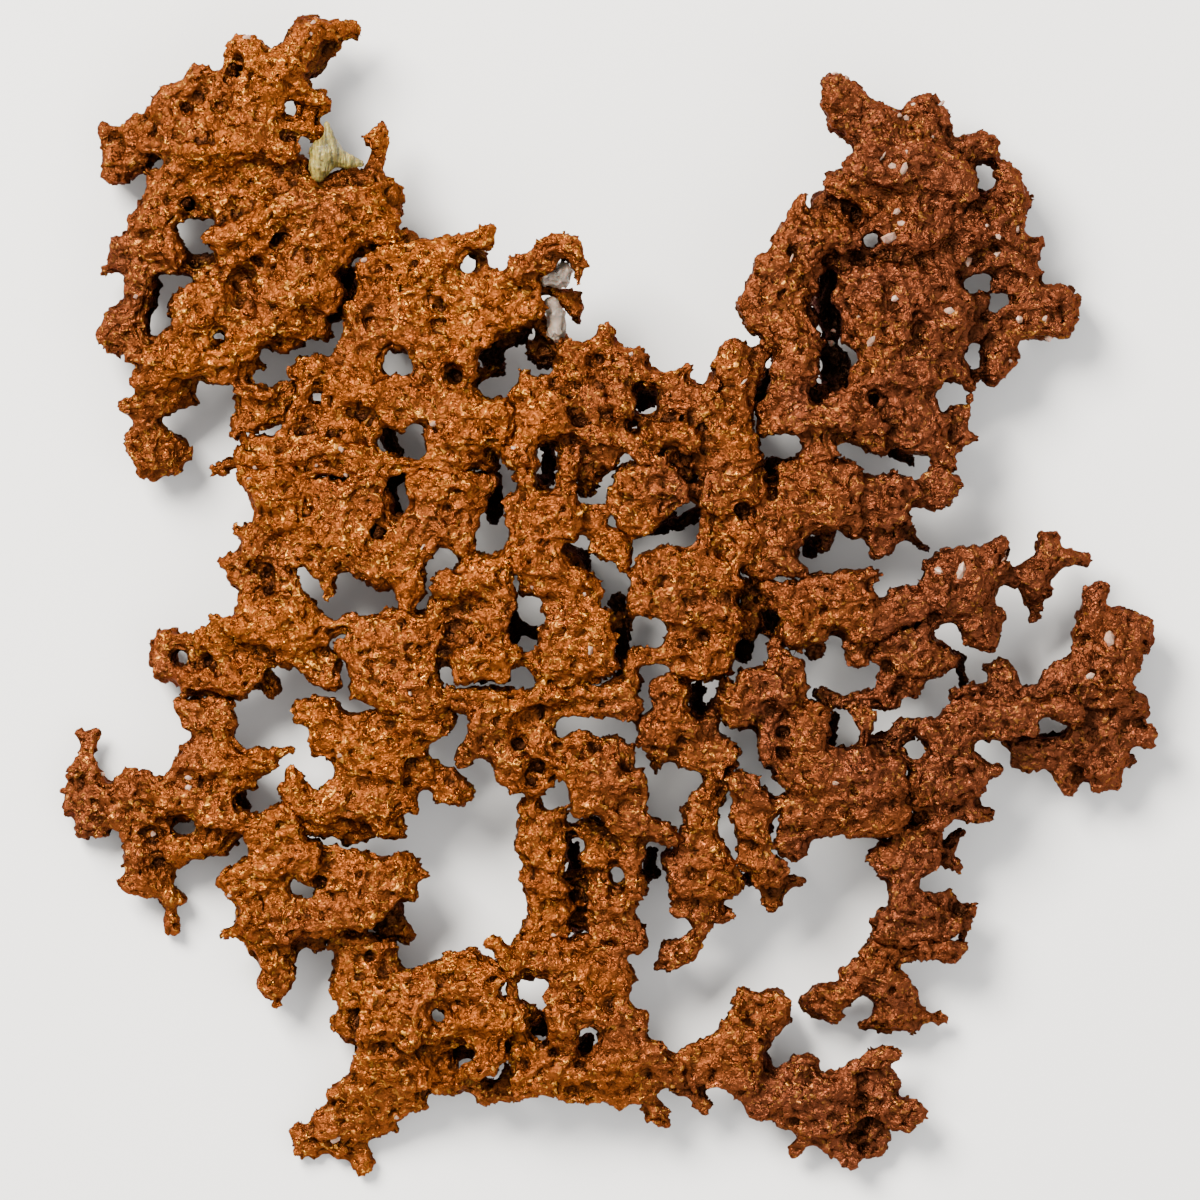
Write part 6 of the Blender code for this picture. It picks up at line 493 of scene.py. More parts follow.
11 10 | 18.3 16.8 .9 | 19.4 17.4 1.3 | 21 17.6 1.5 | 22.8 17.6 1.5 | 24.6 17.6 1.4 | 26.2 17.4 1.3
| 27 16.4 1
10 9 | 20.2 15.9 1.1 | 21.4 15.8 .8 | 23.4 16.2 1 | 25 16 1.1 | 26.4 15.2 .9 | 27.2 14.4 .7
9 8 | 28 19.8 1.2 | 29.6 19.4 1.5 | 31.2 19 1.3 | 31.9 18.2 1
9 8 | 29 17.6 1.4 | 30.6 17.2 1.5 | 32.2 16.8 1.4 | 33.6 17.4 .9
7 7 | 34.6 18.4 .8 | 35.6 18.4 .7 | 34.4 16.8 .9 | 35 15.8 .8 | 36.4 15.8 .5 | 34.8 15 .5
9 8 | 29.6 15.6 1.2 | 31 15.6 1.3 | 32.4 15.2 1.3 | 33.6 14.6 .9 | 32.6 13.9 .7 | 33.4 13.4 .9
| 34.2 13 .6
5 5 | 28.4 15 .8 | 29 14.3 .7 | 29.8 13.5 .35 | 30.2 13.1 .25
11 11 | 15.4 18.4 .9 | 16.2 17.4 1 | 15.4 16.4 .8 | 17.8 18.4 1 | 16.8 16.6 .8
11 11 | 20.4 14.4 1.1 | 21.8 14.2 1 | 19.8 13.6 1
5 5 | 21.8 24.4 .9 | 23 23.2 1.2 | 23.4 21.6 1.2 | 21.7 21.8 .7
7 7 | 16.2 13.2 .8 | 16 12.5 .8 | 18 13.2 .6
8 1.3 | 29 42 2 | 29.4 41.6 1.7
7 1.2 | 29 30.6 2 | 29 30 1.7
5 1.2 | 43 28 1.7 | 43.2 27.8 1.5
7 6.5 | 36.8 26 .8 | 38.2 26.9 .7 | 39.4 28.1 .7 | 40.6 28.6 .8
6 8 | 23.2 21.2 .9 | 21.8 20.6 .8 | 20.3 20.4 .8
8 9 | 22.6 33 .9 | 23.6 33.6 .8 | 24 35 .8
""",
    "upper_left_lobe": """
4 4 | -50 46.5 .75 | -49.9 45.2 .8 | -49.3 44 1 | -49.2 42.9 1.2 | -49.3 42 .9
4 5 | -49.2 42 .9 | -48.1 42.6 1.4 | -47 43.4 1.4 | -45.8 43.9 1.2
4 6 | -48 45.6 .7 | -47.3 46.4 1.3 | -45.6 46.7 1.4 | -44.5 47.4 1.5
5 7 | -47.2 44.9 1.2 | -45.6 44.9 1.2 | -44.8 44.7 .8
7 8 | -44.3 48.6 1.5 | -43.9 49.7 1 | -42.7 49.8 1.1 | -41.6 50.6 1.1 | -40.6 51.6 1.1 | -40 52.3 .6
7 8 | -43.6 48.4 1.2 | -43.2 46.8 1.1 | -42 45.8 1.1 | -43.8 45.9 .9 | -43.2 44.4 1.1
5 5 | -42.2 48.8 .8 | -40.9 50 .9 | -39.9 51 .8 | -39.2 51.7 .5
8 8 | -38.3 51.4 .8 | -38.4 50.2 1.1 | -39.4 49.5 .8 | -37.5 49.6 1
8 9 | -41 46 .9 | -40.6 48.3 .7 | -39.4 47.6 1 | -38.9 46.2 1.3 | -37.3 46.9 1.3 | -36.2 48.3 1.5
| -34.6 49.6 1.7
9 8 | -36.5 50.2 .8 | -35.2 51.6 1.3 | -34.7 53.2 1.3 | -35.3 54.4 1.2 | -36.6 55 .8 | -37.5 54.3 .6
| -37.6 53.3 .5
9 8 | -33.2 51 1.7 | -31.8 52.6 2 | -30.9 54.2 1.9 | -29.8 55.7 1.7
8 5 | -29 56.4 1.1 | -28 56.2 1.2 | -26.7 56.2 .8 | -25.6 56.4 .9 | -25 55.9 .6
5 5 | -29.3 52.6 .8 | -28.5 53.3 .7 | -28.2 54.2 .9 | -27.3 54.7 .8
9 8 | -32 50.8 1.3 | -30.6 50.4 1 | -30 49.5 1.1 | -28.8 49 1.1 | -28 48.5 .7
9 8 | -33.9 48.4 1.2 | -33.7 46.8 1.2 | -31.8 46.8 .6 | -30.4 46.9 .9 | -29.2 46.3 .9 | -28.6 45.7 .6
9 9 | -41.4 43.9 1.3 | -39.6 43.8 1.3 | -37.9 44.2 1.5 | -36 44.6 1.6 | -34.2 45 1.5 | -32.8 44 1.2
| -31.4 44 1
8 8 | -43.4 42.2 1 | -41.8 42.1 1.3 | -40 41.8 1.5 | -38.2 42.4 1.3 | -36.2 43.2 1.2
8 7 | -40.5 40.4 1.2 | -39.7 39.3 1.1 | -39.6 38.3 .8 | -40.9 38 .7
9 9 | -35.9 47.3 1.5 | -35.4 46.2 1.5 | -33.2 47.6 .9 | -32.6 49.6 .8
8 8 | -31.2 42.6 1.2 | -33.2 42.9 1.2 | -34.4 42 1.1 | -35.8 41 1.1 | -37.2 39.8 1.1 | -38 38.4 1
8 8 | -38.3 37.6 .9 | -36.8 37.9 1.1 | -35.2 39.2 1.3 | -33.5 40.6 1.4 | -31.8 41 1.4
9 8 | -30 41 1.2 | -28.2 40.6 1.2 | -26.7 41.2 1.2 | -25.2 41.6 .9 | -23.6 41.6 1.1
7 6 | -23.2 42.4 .8 | -22.9 43.6 .8 | -22.9 44.8 .9 | -22.6 46 .8 | -22.4 46.6 .5
7 7 | -23.4 45.5 .5 | -24.1 45.6 .4
8 7 | -22.2 41 .9 | -21.1 40.4 .8 | -21.2 39 .9 | -20.9 38.3 .8
10 10 | -39.4 35.5 .9 | -38 35.4 1.4 | -36.3 36 1.6 | -34.5 37 1.7 | -32.7 38.2 1.7 | -30.8 39 1.7
10 10 | -29 39 1.6 | -27 39.2 1.6 | -25.2 39.6 1.5 | -23.4 39.6 1.4 | -22.6 37.9 1.2 | -21.7 37.4 1
9 10 | -37.7 33.5 1.6 | -36 34.2 1.5 | -34.5 35 1.4 | -33.4 36.4 1.2 | -31.4 37 1.2 | -29.6 36.8 1.6
10 10 | -27.8 37 1.7 | -26 37.2 1.5 | -24.6 37.4 1.1 | -24.3 35.9 1 | -22.6 35.9 1.2 | -21.7 35.6 1
10 10 | -30.4 35 1.4 | -28.7 35 1.7 | -27 35.3 1.7 | -25.9 34.3 1 | -27.4 33.4 1.4
8 8 | -24.2 34.4 .9 | -23 34.4 1.1 | -21.8 34.4 1 | -20.2 35.6 .9 | -20.1 34.4 .8
9 10 | -34.7 33.6 1.2 | -34 32 1.3 | -33.7 30.4 1.4 | -33.6 28.6 1.5 | -33.5 26.8 1.3
10 10 | -32.2 33.1 1.3 | -30.6 32.8 1.5 | -29 32.5 1.6 | -28 31.7 1.1
10 10 | -32 31 1.4 | -30.4 30.5 1.6 | -28.8 30.2 1.6 | -27.3 30.2 1.1 | -27.6 28.9 .9
10 8 | -31.8 29 1.5 | -31.4 27.2 1.6 | -29.8 26.9 1.4 | -28.6 26.6 1.1 | -27.9 26.2 .7
8 8 | -32.6 25.4 1.1 | -31.1 25.6 1.1
8 8 | -40.2 31.8 1 | -39 31.9 1.3 | -37.7 31.8 1.2 | -36.5 32.2 1
5 6 | -41.9 33.1 1 | -40.8 32.6 1 | -39.8 33.4 .8
9 9 | -42 28.7 1.6 | -40.5 29.7 1.5 | -38.9 30 1.5 | -37.6 29.6 1.1
9 9 | -42 26.9 1.5 | -40.3 27.6 1.5 | -38.7 27.8 1.4 | -37.2 28 1.2 | -35.8 27.3 1.3
9 9 | -36.6 25.9 1.2 | -35.2 25.8 1.3 | -34 25.6 .8
8 9 | -43.4 25 1.4 | -41.8 25 1.4 | -40.4 25.7 .9 | -40.2 24.4 1.1
8 9 | -44.8 23.6 1.6 | -43 23.2 1.6 | -41.2 23.2 1.5 | -39.4 23.5 1.4 | -37.7 23.7 1.2 | -36.2 24.3 1.2
| -35 24.5 .8
8 7 | -39 22 1.1 | -37.5 22.1 1.2 | -36.4 22.7 1 | -35.2 23 .6 | -34.3 22.8 .5
8 5 | -46.3 21.2 1 | -44.9 21.4 1.5 | -43.4 21.5 1.3 | -42.1 21 .9 | -41.5 20 .6 | -40.8 19.2 .35
5 5 | -41.6 19.4 .4 | -42.6 19.5 .8
7 6 | -48.1 18.9 .7 | -46.8 18.9 1 | -45.4 19.5 1.4 | -43.8 19.6 1.3
6 5 | -46.2 17.7 1 | -45.6 16.5 1.3
5 4 | -46.9 15.5 1.3 | -45.3 15.5 1.5 | -43.7 15.2 1.2 | -42.3 14.5 .9 | -41.5 14 .5
5 4 | -46.2 13.9 1.3 | -44.6 13.8 1.5 | -43.3 13.3 1.1 | -43.1 12.5 .6
4 3 | -45.9 12.8 1 | -44.9 12.7 .8 | -45.4 11.7 .45
4 4 | -47.8 15 .5 | -48 14.6 .3
7 8 | -44.9 41.4 1 | -44.4 40.2 1.5 | -45.1 38.7 1.6 | -43.6 38.3 1.1 | -42.6 37.6 .7
8 8 | -43.2 41 .9 | -42.6 39.8 .6
7 8 | -46.2 37.1 1.6 | -44.7 36.8 1.5 | -43.8 35.6 1.1
6 8 | -48.2 34.6 1.5 | -46.6 35 1.7 | -45 34.4 1.7 | -43.2 34 1.5
6 8 | -47.6 33.2 1.4 | -46 33.2 1.3 | -44.2 33.2 1 | -42.8 32.9 1.1
5 4 | -49.2 32.9 .8 | -50 32.4 .7
7 6 | -46.4 31.7 1.4 | -46.4 30.3 1.4 | -46.9 28.9 1.4 | -47.3 27.4 1.5
6 5 | -48.8 27.2 1.4 | -49.5 26.1 1.3 | -48.6 25 1.1 | -49.6 24.6 .6
4 4 | -45.5 28.8 .5 | -45 30.4 .5 | -45.2 31.6 .4
6 7 | -46.7 26 1.3 | -46.3 24.9 1.3 | -47.4 23.9 .8
8 8 | -36.6 20.7 .7 | -35.2 20.3 .8 | -34.3 20.6 .5
7 8 | -36.2 19.2 .9 | -36.2 18 1 | -36.9 16.9 .8 | -37 16.2 .7
8 8 | -34.6 18.4 .9 | -33.5 18 .8 | -32.3 18.2 1
8 8 | -32.6 20.3 1 | -31.5 20.7 .8 | -31.6 19.2 .9
9 9 | -33.4 19.9 .7 | -34.6 19.9 .4
6 6 | -25.8 32 1 | -25.6 30.4 1 | -26.8 28.2 .9
5 5 | -31.8 35.2 .7 | -37 40.6 .8 | -35.4 42 .7
5 5 | -41 32.9 .6 | -36.3 31 .8
8 1.2 | -34.2 45.4 1.8 | -34.6 45 1.6
8 1.1 | -36 29.4 1.6 | -36.4 29 1.5
4 1.1 | -45.4 15 1.3 | -45.6 14.8 1.3
8 8 | -33.6 17.6 .8 | -34.9 17 .7 | -36.6 16.8 .7
""",
    "left_shelf": """
10 10 | -36.1 12.4 .9 | -35 11.4 1.2 | -33.2 11.6 1.5 | -31.4 11.6 1.4
10 10 | -34.4 9.8 1.2 | -32.8 9.9 1.5 | -31.3 9.8 1.2
9 10 | -34.5 8.4 .7 | -34.2 7.2 .9 | -32.8 6.9 1.2 | -31.2 7.2 1.4
10 10 | -32.2 8.4 .9 | -30.9 8.6 .9
8 9 | -36.8 6.7 .5 | -36 6.4 .9 | -35 5.8 1.3 | -33 5.5 1.1
9 9 | -35.2 4.6 1.2 | -33.8 4.1 1 | -32.4 4.6 1.2 | -32.4 3.4 1.1 | -32.3 2.2 .8
7 8 | -38.3 3.4 .5 | -37.2 3.4 .9 | -35.9 3.1 1.3 | -34.8 3.2 1
7 8 | -36.6 2 1.2 | -35.4 1.7 1.3 | -34.6 1.3 .9
8 8 | -35.6 -.4 1.1 | -34.4 -.5 .7 | -34.4 -1.6 .8
8 9 | -36 -1.8 1.1 | -34.6 -2.2 1.2 | -33.2 -1.4 .9 | -32.6 -.3 .8
8 9 | -37.3 -3.1 1.2 | -35.8 -3.3 1.3 | -34.2 -3.6 1.1 | -32.7 -2.9 1.3
7 7 | -39.1 -2.3 .6 | -38.9 -3.3 .7 | -38.9 -4.2 .6
6 7 | -40.5 -3.8 .7 | -40.3 -4.8 .8 | -39 -5.2 .7 | -37.5 -5.1 1 | -36.2 -4.8 1
4 5 | -44.2 -4.6 1.2 | -42.6 -4.4 1 | -41.2 -4.7 .8
4 4 | -44.4 -5.6 1.2 | -44 -7.1 1.3 | -43.2 -7.7 .9
5 5 | -40.8 -5.6 .8 | -40.8 -6.8 .8
5 7 | -42.3 -7.9 1.1 | -41.1 -8.3 1.2 | -39.7 -8.4 1.2 | -38.1 -8.6 1.3 | -36.6 -8.9 1.1
6 7 | -38.3 -6.4 1 | -36.9 -6.4 1.2 | -35.5 -6.9 1.1 | -34.9 -7.7 .8
6 6 | -38.3 -7.4 1 | -36.9 -7.8 1.1
5 5 | -42 -9.3 .7 | -40.6 -9.3 .6 | -38.9 -9.5 .8 | -37.4 -9.4 .8 | -36.3 -9.6 .6
5 5 | -34.3 -6.6 .5 | -33.8 -7.7 .6 | -33.6 -8.9 1.1
9 9 | -33.1 -.6 .7 | -32.1 .1 .9 | -31.3 -.5 1.1 | -30.1 -.6 1 | -29.7 -1 .8
9 9 | -32.4 -2.2 1.2 | -30.8 -2.2 1.3 | -29.4 -2.3 1.1 | -28.2 -2.9 1 | -27.4 -3.2 .8
9 9 | -32.3 -4.5 1.1 | -31 -4 1.3 | -29.6 -3.9 1.2 | -28.3 -4.2 .9
8 8 | -32.3 -5.8 .9 | -31 -5.6 1.3 | -29.6 -5.4 1.2 | -29.6 -6.9 1 | -29.3 -8 .7
8 8 | -27.5 -5.9 .8 | -27.4 -7 .9 | -27.6 -8.3 1 | -26.9 -8.8 .6
9 9.5 | -27.4 -3.5 .8 | -26.4 -2.8 .8 | -25.2 -2.4 .8
7.5 7 | -32.6 -6.4 .7 | -34 -6.2 .7 | -35.6 -5.5 .7
9 9.5 | -31.3 -.2 .7 | -31.2 1.2 .7 | -31.4 3 .7
""",
    "left_arm": """
6 6 | -42.4 -10.9 .9 | -41 -11.4 1.2 | -39.3 -11.2 1.2 | -38.1 -10.9 1
6 6 | -41.2 -12.8 1 | -39.8 -12.8 1.3 | -38.2 -12.6 1.2 | -39.4 -14 1.2 | -38.1 -14.2 1.1
6 6 | -41.2 -15.5 1.2 | -39.6 -15.6 1.4 | -38 -15.6 1.3 | -36.9 -15.6 .9
6 7 | -41.9 -16.6 1.2 | -40.3 -16.8 1.4 | -38.6 -16.9 1.4 | -36.8 -16.9 1.3 | -35.4 -16.5 1.2
| -34.1 -16.4 1.1 | -33.3 -16 .8
7 7 | -34.5 -15.8 .9 | -33 -15.5 .6 | -32 -15.4 .5 | -31.4 -15.3 .35
5 6 | -43.2 -18 1 | -41.9 -18.1 1 | -40.4 -18.3 1 | -38.8 -18.1 1 | -37 -18.4 1.1 | -35.7 -18.4 .9
5 6 | -44.2 -19.4 1.3 | -42.6 -19.6 1.2 | -41 -19.6 1.2 | -39.4 -19.5 1.2 | -38 -19.6 1
5 6 | -44 -21 1.2 | -42.4 -21 1.1 | -40.8 -21 1.1 | -39.4 -21 1.2 | -38 -20.8 1
6 7 | -39.8 -22.4 1.1 | -38.4 -22.2 1.2 | -36.9 -22.3 1.2 | -35.4 -22.8 1.1 | -34 -22.6 1
5 5 | -39.8 -23.7 1.1 | -38.4 -23.9 1.2 | -37.4 -24 .8
5 4 | -38.6 -25 .9 | -40.2 -24.8 1.2 | -41.8 -25 1.3 | -43.4 -25.2 1.4 | -42.6 -26 1
3 3 | -36.6 -20.3 .6 | -35.9 -20.9 .5
4 4 | -46 -18.1 .9 | -47.4 -18 .9 | -48.4 -18.8 1
4 3 | -45.6 -20 1.4 | -47.4 -20.2 1.6 | -49.2 -20 1.5 | -50.8 -19.6 1.4 | -52 -20.4 1.2
4 3 | -45.4 -21.6 1.3 | -47.2 -21.6 1.4 | -49 -21.5 1.4 | -50.8 -21.3 1.4 | -52.4 -21.2 1
4 4 | -43.9 -22.4 .8 | -45.4 -22.4 .8
3 3 | -51.8 -22.8 1.1 | -50.6 -22.9 1.1 | -50.8 -23.5 .6
2 2 | -53.6 -20.4 .8 | -53.7 -21.2 .7 | -53.7 -19.6 .6 | -53.5 -18.8 .35
3 2 | -51.2 -18.2 1.1 | -51.6 -17 1 | -52.9 -17.4 .9 | -52 -15.8 .8
2 2 | -51.5 -14.9 .6 | -51.8 -14 .7 | -52.5 -14 .5 | -50.9 -13.7 .5
4 3 | -47.4 -23.8 1 | -46.9 -25 1.2 | -46.6 -26.4 1.4 | -46.2 -27.8 1.4 | -44.8 -28 1
3 3 | -48.1 -28.5 .7 | -46.9 -28.8 1 | -45.8 -29.4 .7
3 2 | -44.8 -29.2 .9 | -43.6 -30 1.1 | -42.7 -30 .8
2 1 | -43.4 -31.4 .6 | -43.4 -32.3 .8 | -43.4 -33.1 .8
3 3 | -45 -24 .6 | -43.7 -28.2 .5
3 3 | -43.9 -23.3 .6
3 1.1 | -49 -21 1.5 | -49 -21 1.4
""",
    "lower_left": """
8 8 | -30.2 -10.8 .9 | -28.8 -11 1.1 | -27.2 -10.9 .9 | -30.8 -12 .6
8 9 | -29 -12.6 1.1 | -27.6 -12.2 1.2 | -26.2 -12.8 1.1 | -24.6 -12.6 1.1 | -23 -12.4 1.2
| -22.2 -11.6 .9
8 9 | -28.7 -14.2 1.1 | -27.2 -14 1.3 | -25.6 -14.2 1.3 | -24 -14 1.3 | -22.4 -14 1.2
8 9 | -28.6 -15.2 .9 | -27.2 -15.4 1.1 | -25.7 -15.8 1.2 | -24.1 -15.7 1.3 | -22.5 -15.6 1.3
| -21 -15.6 1.3
8 9 | -26 -16.9 1 | -24.4 -17.1 1.1 | -22.9 -17.1 1.2 | -21.3 -17 1.2
10 9 | -20 -12.2 1.1 | -19.8 -13.6 1.1 | -19.2 -15.2 1.1 | -18.4 -14.6 .9
10 10 | -18.6 -12.2 1.1 | -17.4 -12.4 1.2 | -16 -12.2 1 | -15.5 -11.6 .7 | -17.6 -13.5 .9
| -16.2 -13.1 .8
8 8 | -19.3 -17.6 .7 | -18.2 -17 1 | -16.9 -17.3 1 | -15.6 -17.6 .8 | -18.6 -18.4 .9
8 8 | -16.6 -18.9 1 | -16.2 -19.7 .9 | -15 -19.6 1.2 | -13.9 -19.6 .9 | -14.8 -18.6 .7 | -17 -20.2 .4
8 8 | -29.4 -20.2 .9 | -28 -19.8 1 | -26.6 -18.9 1.1 | -25.2 -19.2 1 | -23.8 -19.6 1.1 | -22.4 -20 1.1
| -22.9 -18.1 .5
8 8 | -20.9 -18.3 .9 | -20.9 -19.7 1 | -19.8 -20.4 1 | -19.3 -21.1 .5
8 8 | -31.3 -20.6 1 | -29.8 -21.5 1.2 | -28.2 -21.4 1.3 | -26.6 -20.6 1.3 | -25 -21 1.3
| -23.4 -21.3 1.2 | -21.8 -21.5 1.2
8 7 | -22.2 -22.9 1 | -21.2 -23.2 .9 | -20.4 -23.4 .7
7 6 | -29.1 -23 1.1 | -27.6 -22.8 1.1 | -26.2 -23 1.1 | -25.2 -23.4 1 | -23.9 -23.4 .8 | -26 -24.1 .9
8 8 | -31.2 -17.7 .8 | -31 -18.8 1.1 | -31.8 -19.6 .9
""",
    "lower_left_block": """
8 8 | -33.8 -21.9 .9 | -32.4 -21.8 1.2 | -31.2 -22.6 1.2
8 8 | -35.2 -23.8 1 | -33.6 -23.7 .8 | -32.2 -23.8 1.2 | -30.8 -24.4 1
8 8 | -35 -25.2 .9 | -32.5 -25.4 1.2 | -31 -25.8 1.3 | -29.6 -25.6 1.3 | -29.2 -26.8 1.2 | -30 -27.4 .9
7 8 | -37.6 -28.2 1.3 | -36.2 -27.6 1.2 | -34.8 -27 1.3 | -33.2 -27.2 1.2 | -31.8 -26.8 1.1
7 7 | -37.3 -29.2 1 | -35.8 -29.2 1.3 | -34.2 -29 1.3 | -32.8 -28.8 1.2 | -32.4 -30.2 .9
7 7 | -35.6 -31 1 | -35.6 -32.4 1.3 | -34.2 -32.4 1.2 | -33.8 -30.6 1
6 6 | -37.8 -33.3 .6 | -36.6 -33.2 .7 | -35.2 -33.8 1 | -33.6 -33.8 1
7 7 | -32.4 -31.9 1.2 | -31 -31.4 .9 | -32 -33.4 1.2 | -30.4 -32.8 1.3
7 8 | -28.4 -29.6 .8 | -27 -29.2 1.2 | -25.4 -29 1.3 | -23.8 -28.8 1.3 | -22.2 -28.8 1.3
| -20.6 -28.9 1.3 | -19.7 -29.6 .8
7 8 | -27 -25.4 .9 | -26 -26 1 | -26.8 -27.6 1.2 | -25 -27.2 1.3 | -23.4 -27.4 1.2 | -21.9 -27.2 1.2
| -20.3 -27 1.5 | -20.5 -26.2 1 | -19.2 -27.8 .7 | -18 -27.6 .35
7 8 | -28 -31 1.2 | -26.4 -30.8 1.2 | -24.8 -30.6 1.3 | -23.2 -30.5 1.2 | -21.9 -30.4 .9
7 8 | -29 -32.6 1.2 | -27.4 -32.5 1.2 | -25.8 -32.2 1.2 | -24.2 -32 1.1 | -22.9 -31.6 .7
4 4 | -22.4 -33 1 | -21 -32.8 .9 | -20.4 -33.6 .9 | -23.2 -26.1 .6 | -21 -31.9 .5
5 4 | -34.6 -34.4 1.3 | -33 -34.8 1.2 | -33.4 -36.4 1.1 | -31.9 -36 1 | -33 -37.8 1.2 | -31.9 -37.6 .9
| -33.6 -38.7 1.2 | -32.4 -38.6 1 | -32.9 -39.8 .5 | -32.9 -40.4 .35
4 4 | -30.8 -34.3 .7 | -29.5 -34.6 .6 | -28.5 -34.4 .8
5 1.1 | -34 -33.4 1.6 | -34 -33.8 1.4
7 7 | -28.4 -31.1 .8 | -30 -30.7 .7 | -31.8 -30.3 .7
7 7 | -22 -26.8 .7 | -23.6 -26 .6 | -25.6 -25.6 .7
""",
    "middle_foot": """
9 9 | -12.1 -34.6 .35 | -11.1 -34.3 .6 | -10.4 -35.6 .9 | -9.6 -36.9 1.2
8 8 | -8.4 -34.9 1.1 | -7 -35 1.2 | -5.4 -35 1.3 | -3.8 -34.9 1.2 | -2.2 -34.9 1.2 | -.8 -35 1.1
8 8 | -8.8 -36.6 1.2 | -7.2 -36.4 1.2 | -5.6 -36.5 1.3 | -4 -36.6 1.3 | -2.3 -36.5 1.2 | -1 -36.6 1
8 8 | .2 -34.9 .8 | .8 -36.6 1 | 1.6 -37.8 1.1 | 1.4 -38.9 1 | .2 -38.1 1.1
8 8 | -9.4 -38.2 .7 | -9.6 -40.1 .6 | -9 -41.4 1 | -8.6 -42.7 .9
8 8 | -5 -38.2 1 | -3.6 -38.2 1.2 | -2 -38 1.3 | -1.2 -39.4 1.1 | .2 -39.6 .8
8 8 | -6.1 -39.7 .5 | -5.3 -39.8 .8 | -4 -39.8 1 | -2.6 -39.8 1
9 8 | -5.6 -41.2 .9 | -4.2 -41.2 1.1 | -2.8 -41 1 | -1.4 -41.6 1.1 | .1 -42 1.2 | 1.6 -41.6 1.1
| 2.2 -40.9 .5
9 8 | -5 -42.6 1 | -3.8 -43 1 | -5.2 -43.9 .9 | -3.6 -44.2 .9
8 8 | .2 -43.3 1.1 | 1.8 -42.9 1.2 | 3.2 -43.2 .9 | 3.4 -41.9 .6 | 3.5 -41.2 .45
8 8 | -.4 -45 1 | 1.2 -44.6 1.2 | 2.6 -44.6 1.1 | 4 -44.9 .9 | 5 -44.9 .9
7 7 | -7.6 -44.7 .9 | -6.6 -45.6 1 | -5.4 -45.6 1.1 | -4 -45.4 1.1 | -7.2 -46.6 1 | -5.6 -46.8 1.1
| -4.2 -46.6 1.1
7 7 | -8.6 -48.2 1.1 | -7.2 -48.2 1.2 | -5.8 -48.1 1 | -4.2 -47.4 .9 | -3.1 -47.8 .8
7 6 | -8.8 -49.2 .7 | -7.6 -49 .7 | -6.2 -48.8 .7 | -4.8 -49.5 .6 | -4.1 -49.8 .5
6 6 | -2.4 -48.7 .8 | -1.6 -49 .8 | -3 -50.1 .5 | -2.3 -50.1 .5 | -1.3 -49.5 .6
8 7 | -1.2 -46.4 1.1 | .4 -46.4 1.3 | 2 -46.3 1.3 | 3.6 -46.2 1.1 | 5.2 -46.3 1.1 | 6.6 -46.6 1.1
7 6 | -.6 -47.8 1.3 | .8 -48 1.4 | 2.4 -47.7 1.2 | 4 -47.6 1.1 | 5.6 -47.7 1 | 7.2 -47.6 1.1
6 6 | -.2 -49.2 1 | 1.2 -49.4 1 | 1 -50.2 .8 | 1.1 -50.7 .4 | 4.2 -49 .8
5 4 | 4.2 -50.2 .8 | 4.8 -51.2 1 | 5.3 -51.9 .8 | 5.7 -52.4 .5 | 3.4 -50.9 .25
4 4 | -2 -44.2 .8 | -2.1 -46 .7 | -7.4 -41.9 .8 | -7.9 -43.4 .6
9 9 | 3.2 -34.6 .7 | 3.1 -35 .5 | 2.4 -34.6 .5
6 7 | -8.7 -47.8 .8 | -9 -46 .8 | -8.9 -44.2 .8 | -8.7 -43 .8
6 7 | -7.2 -41.7 .8 | -8.2 -41 .7 | -9.4 -40.3 .7
""",
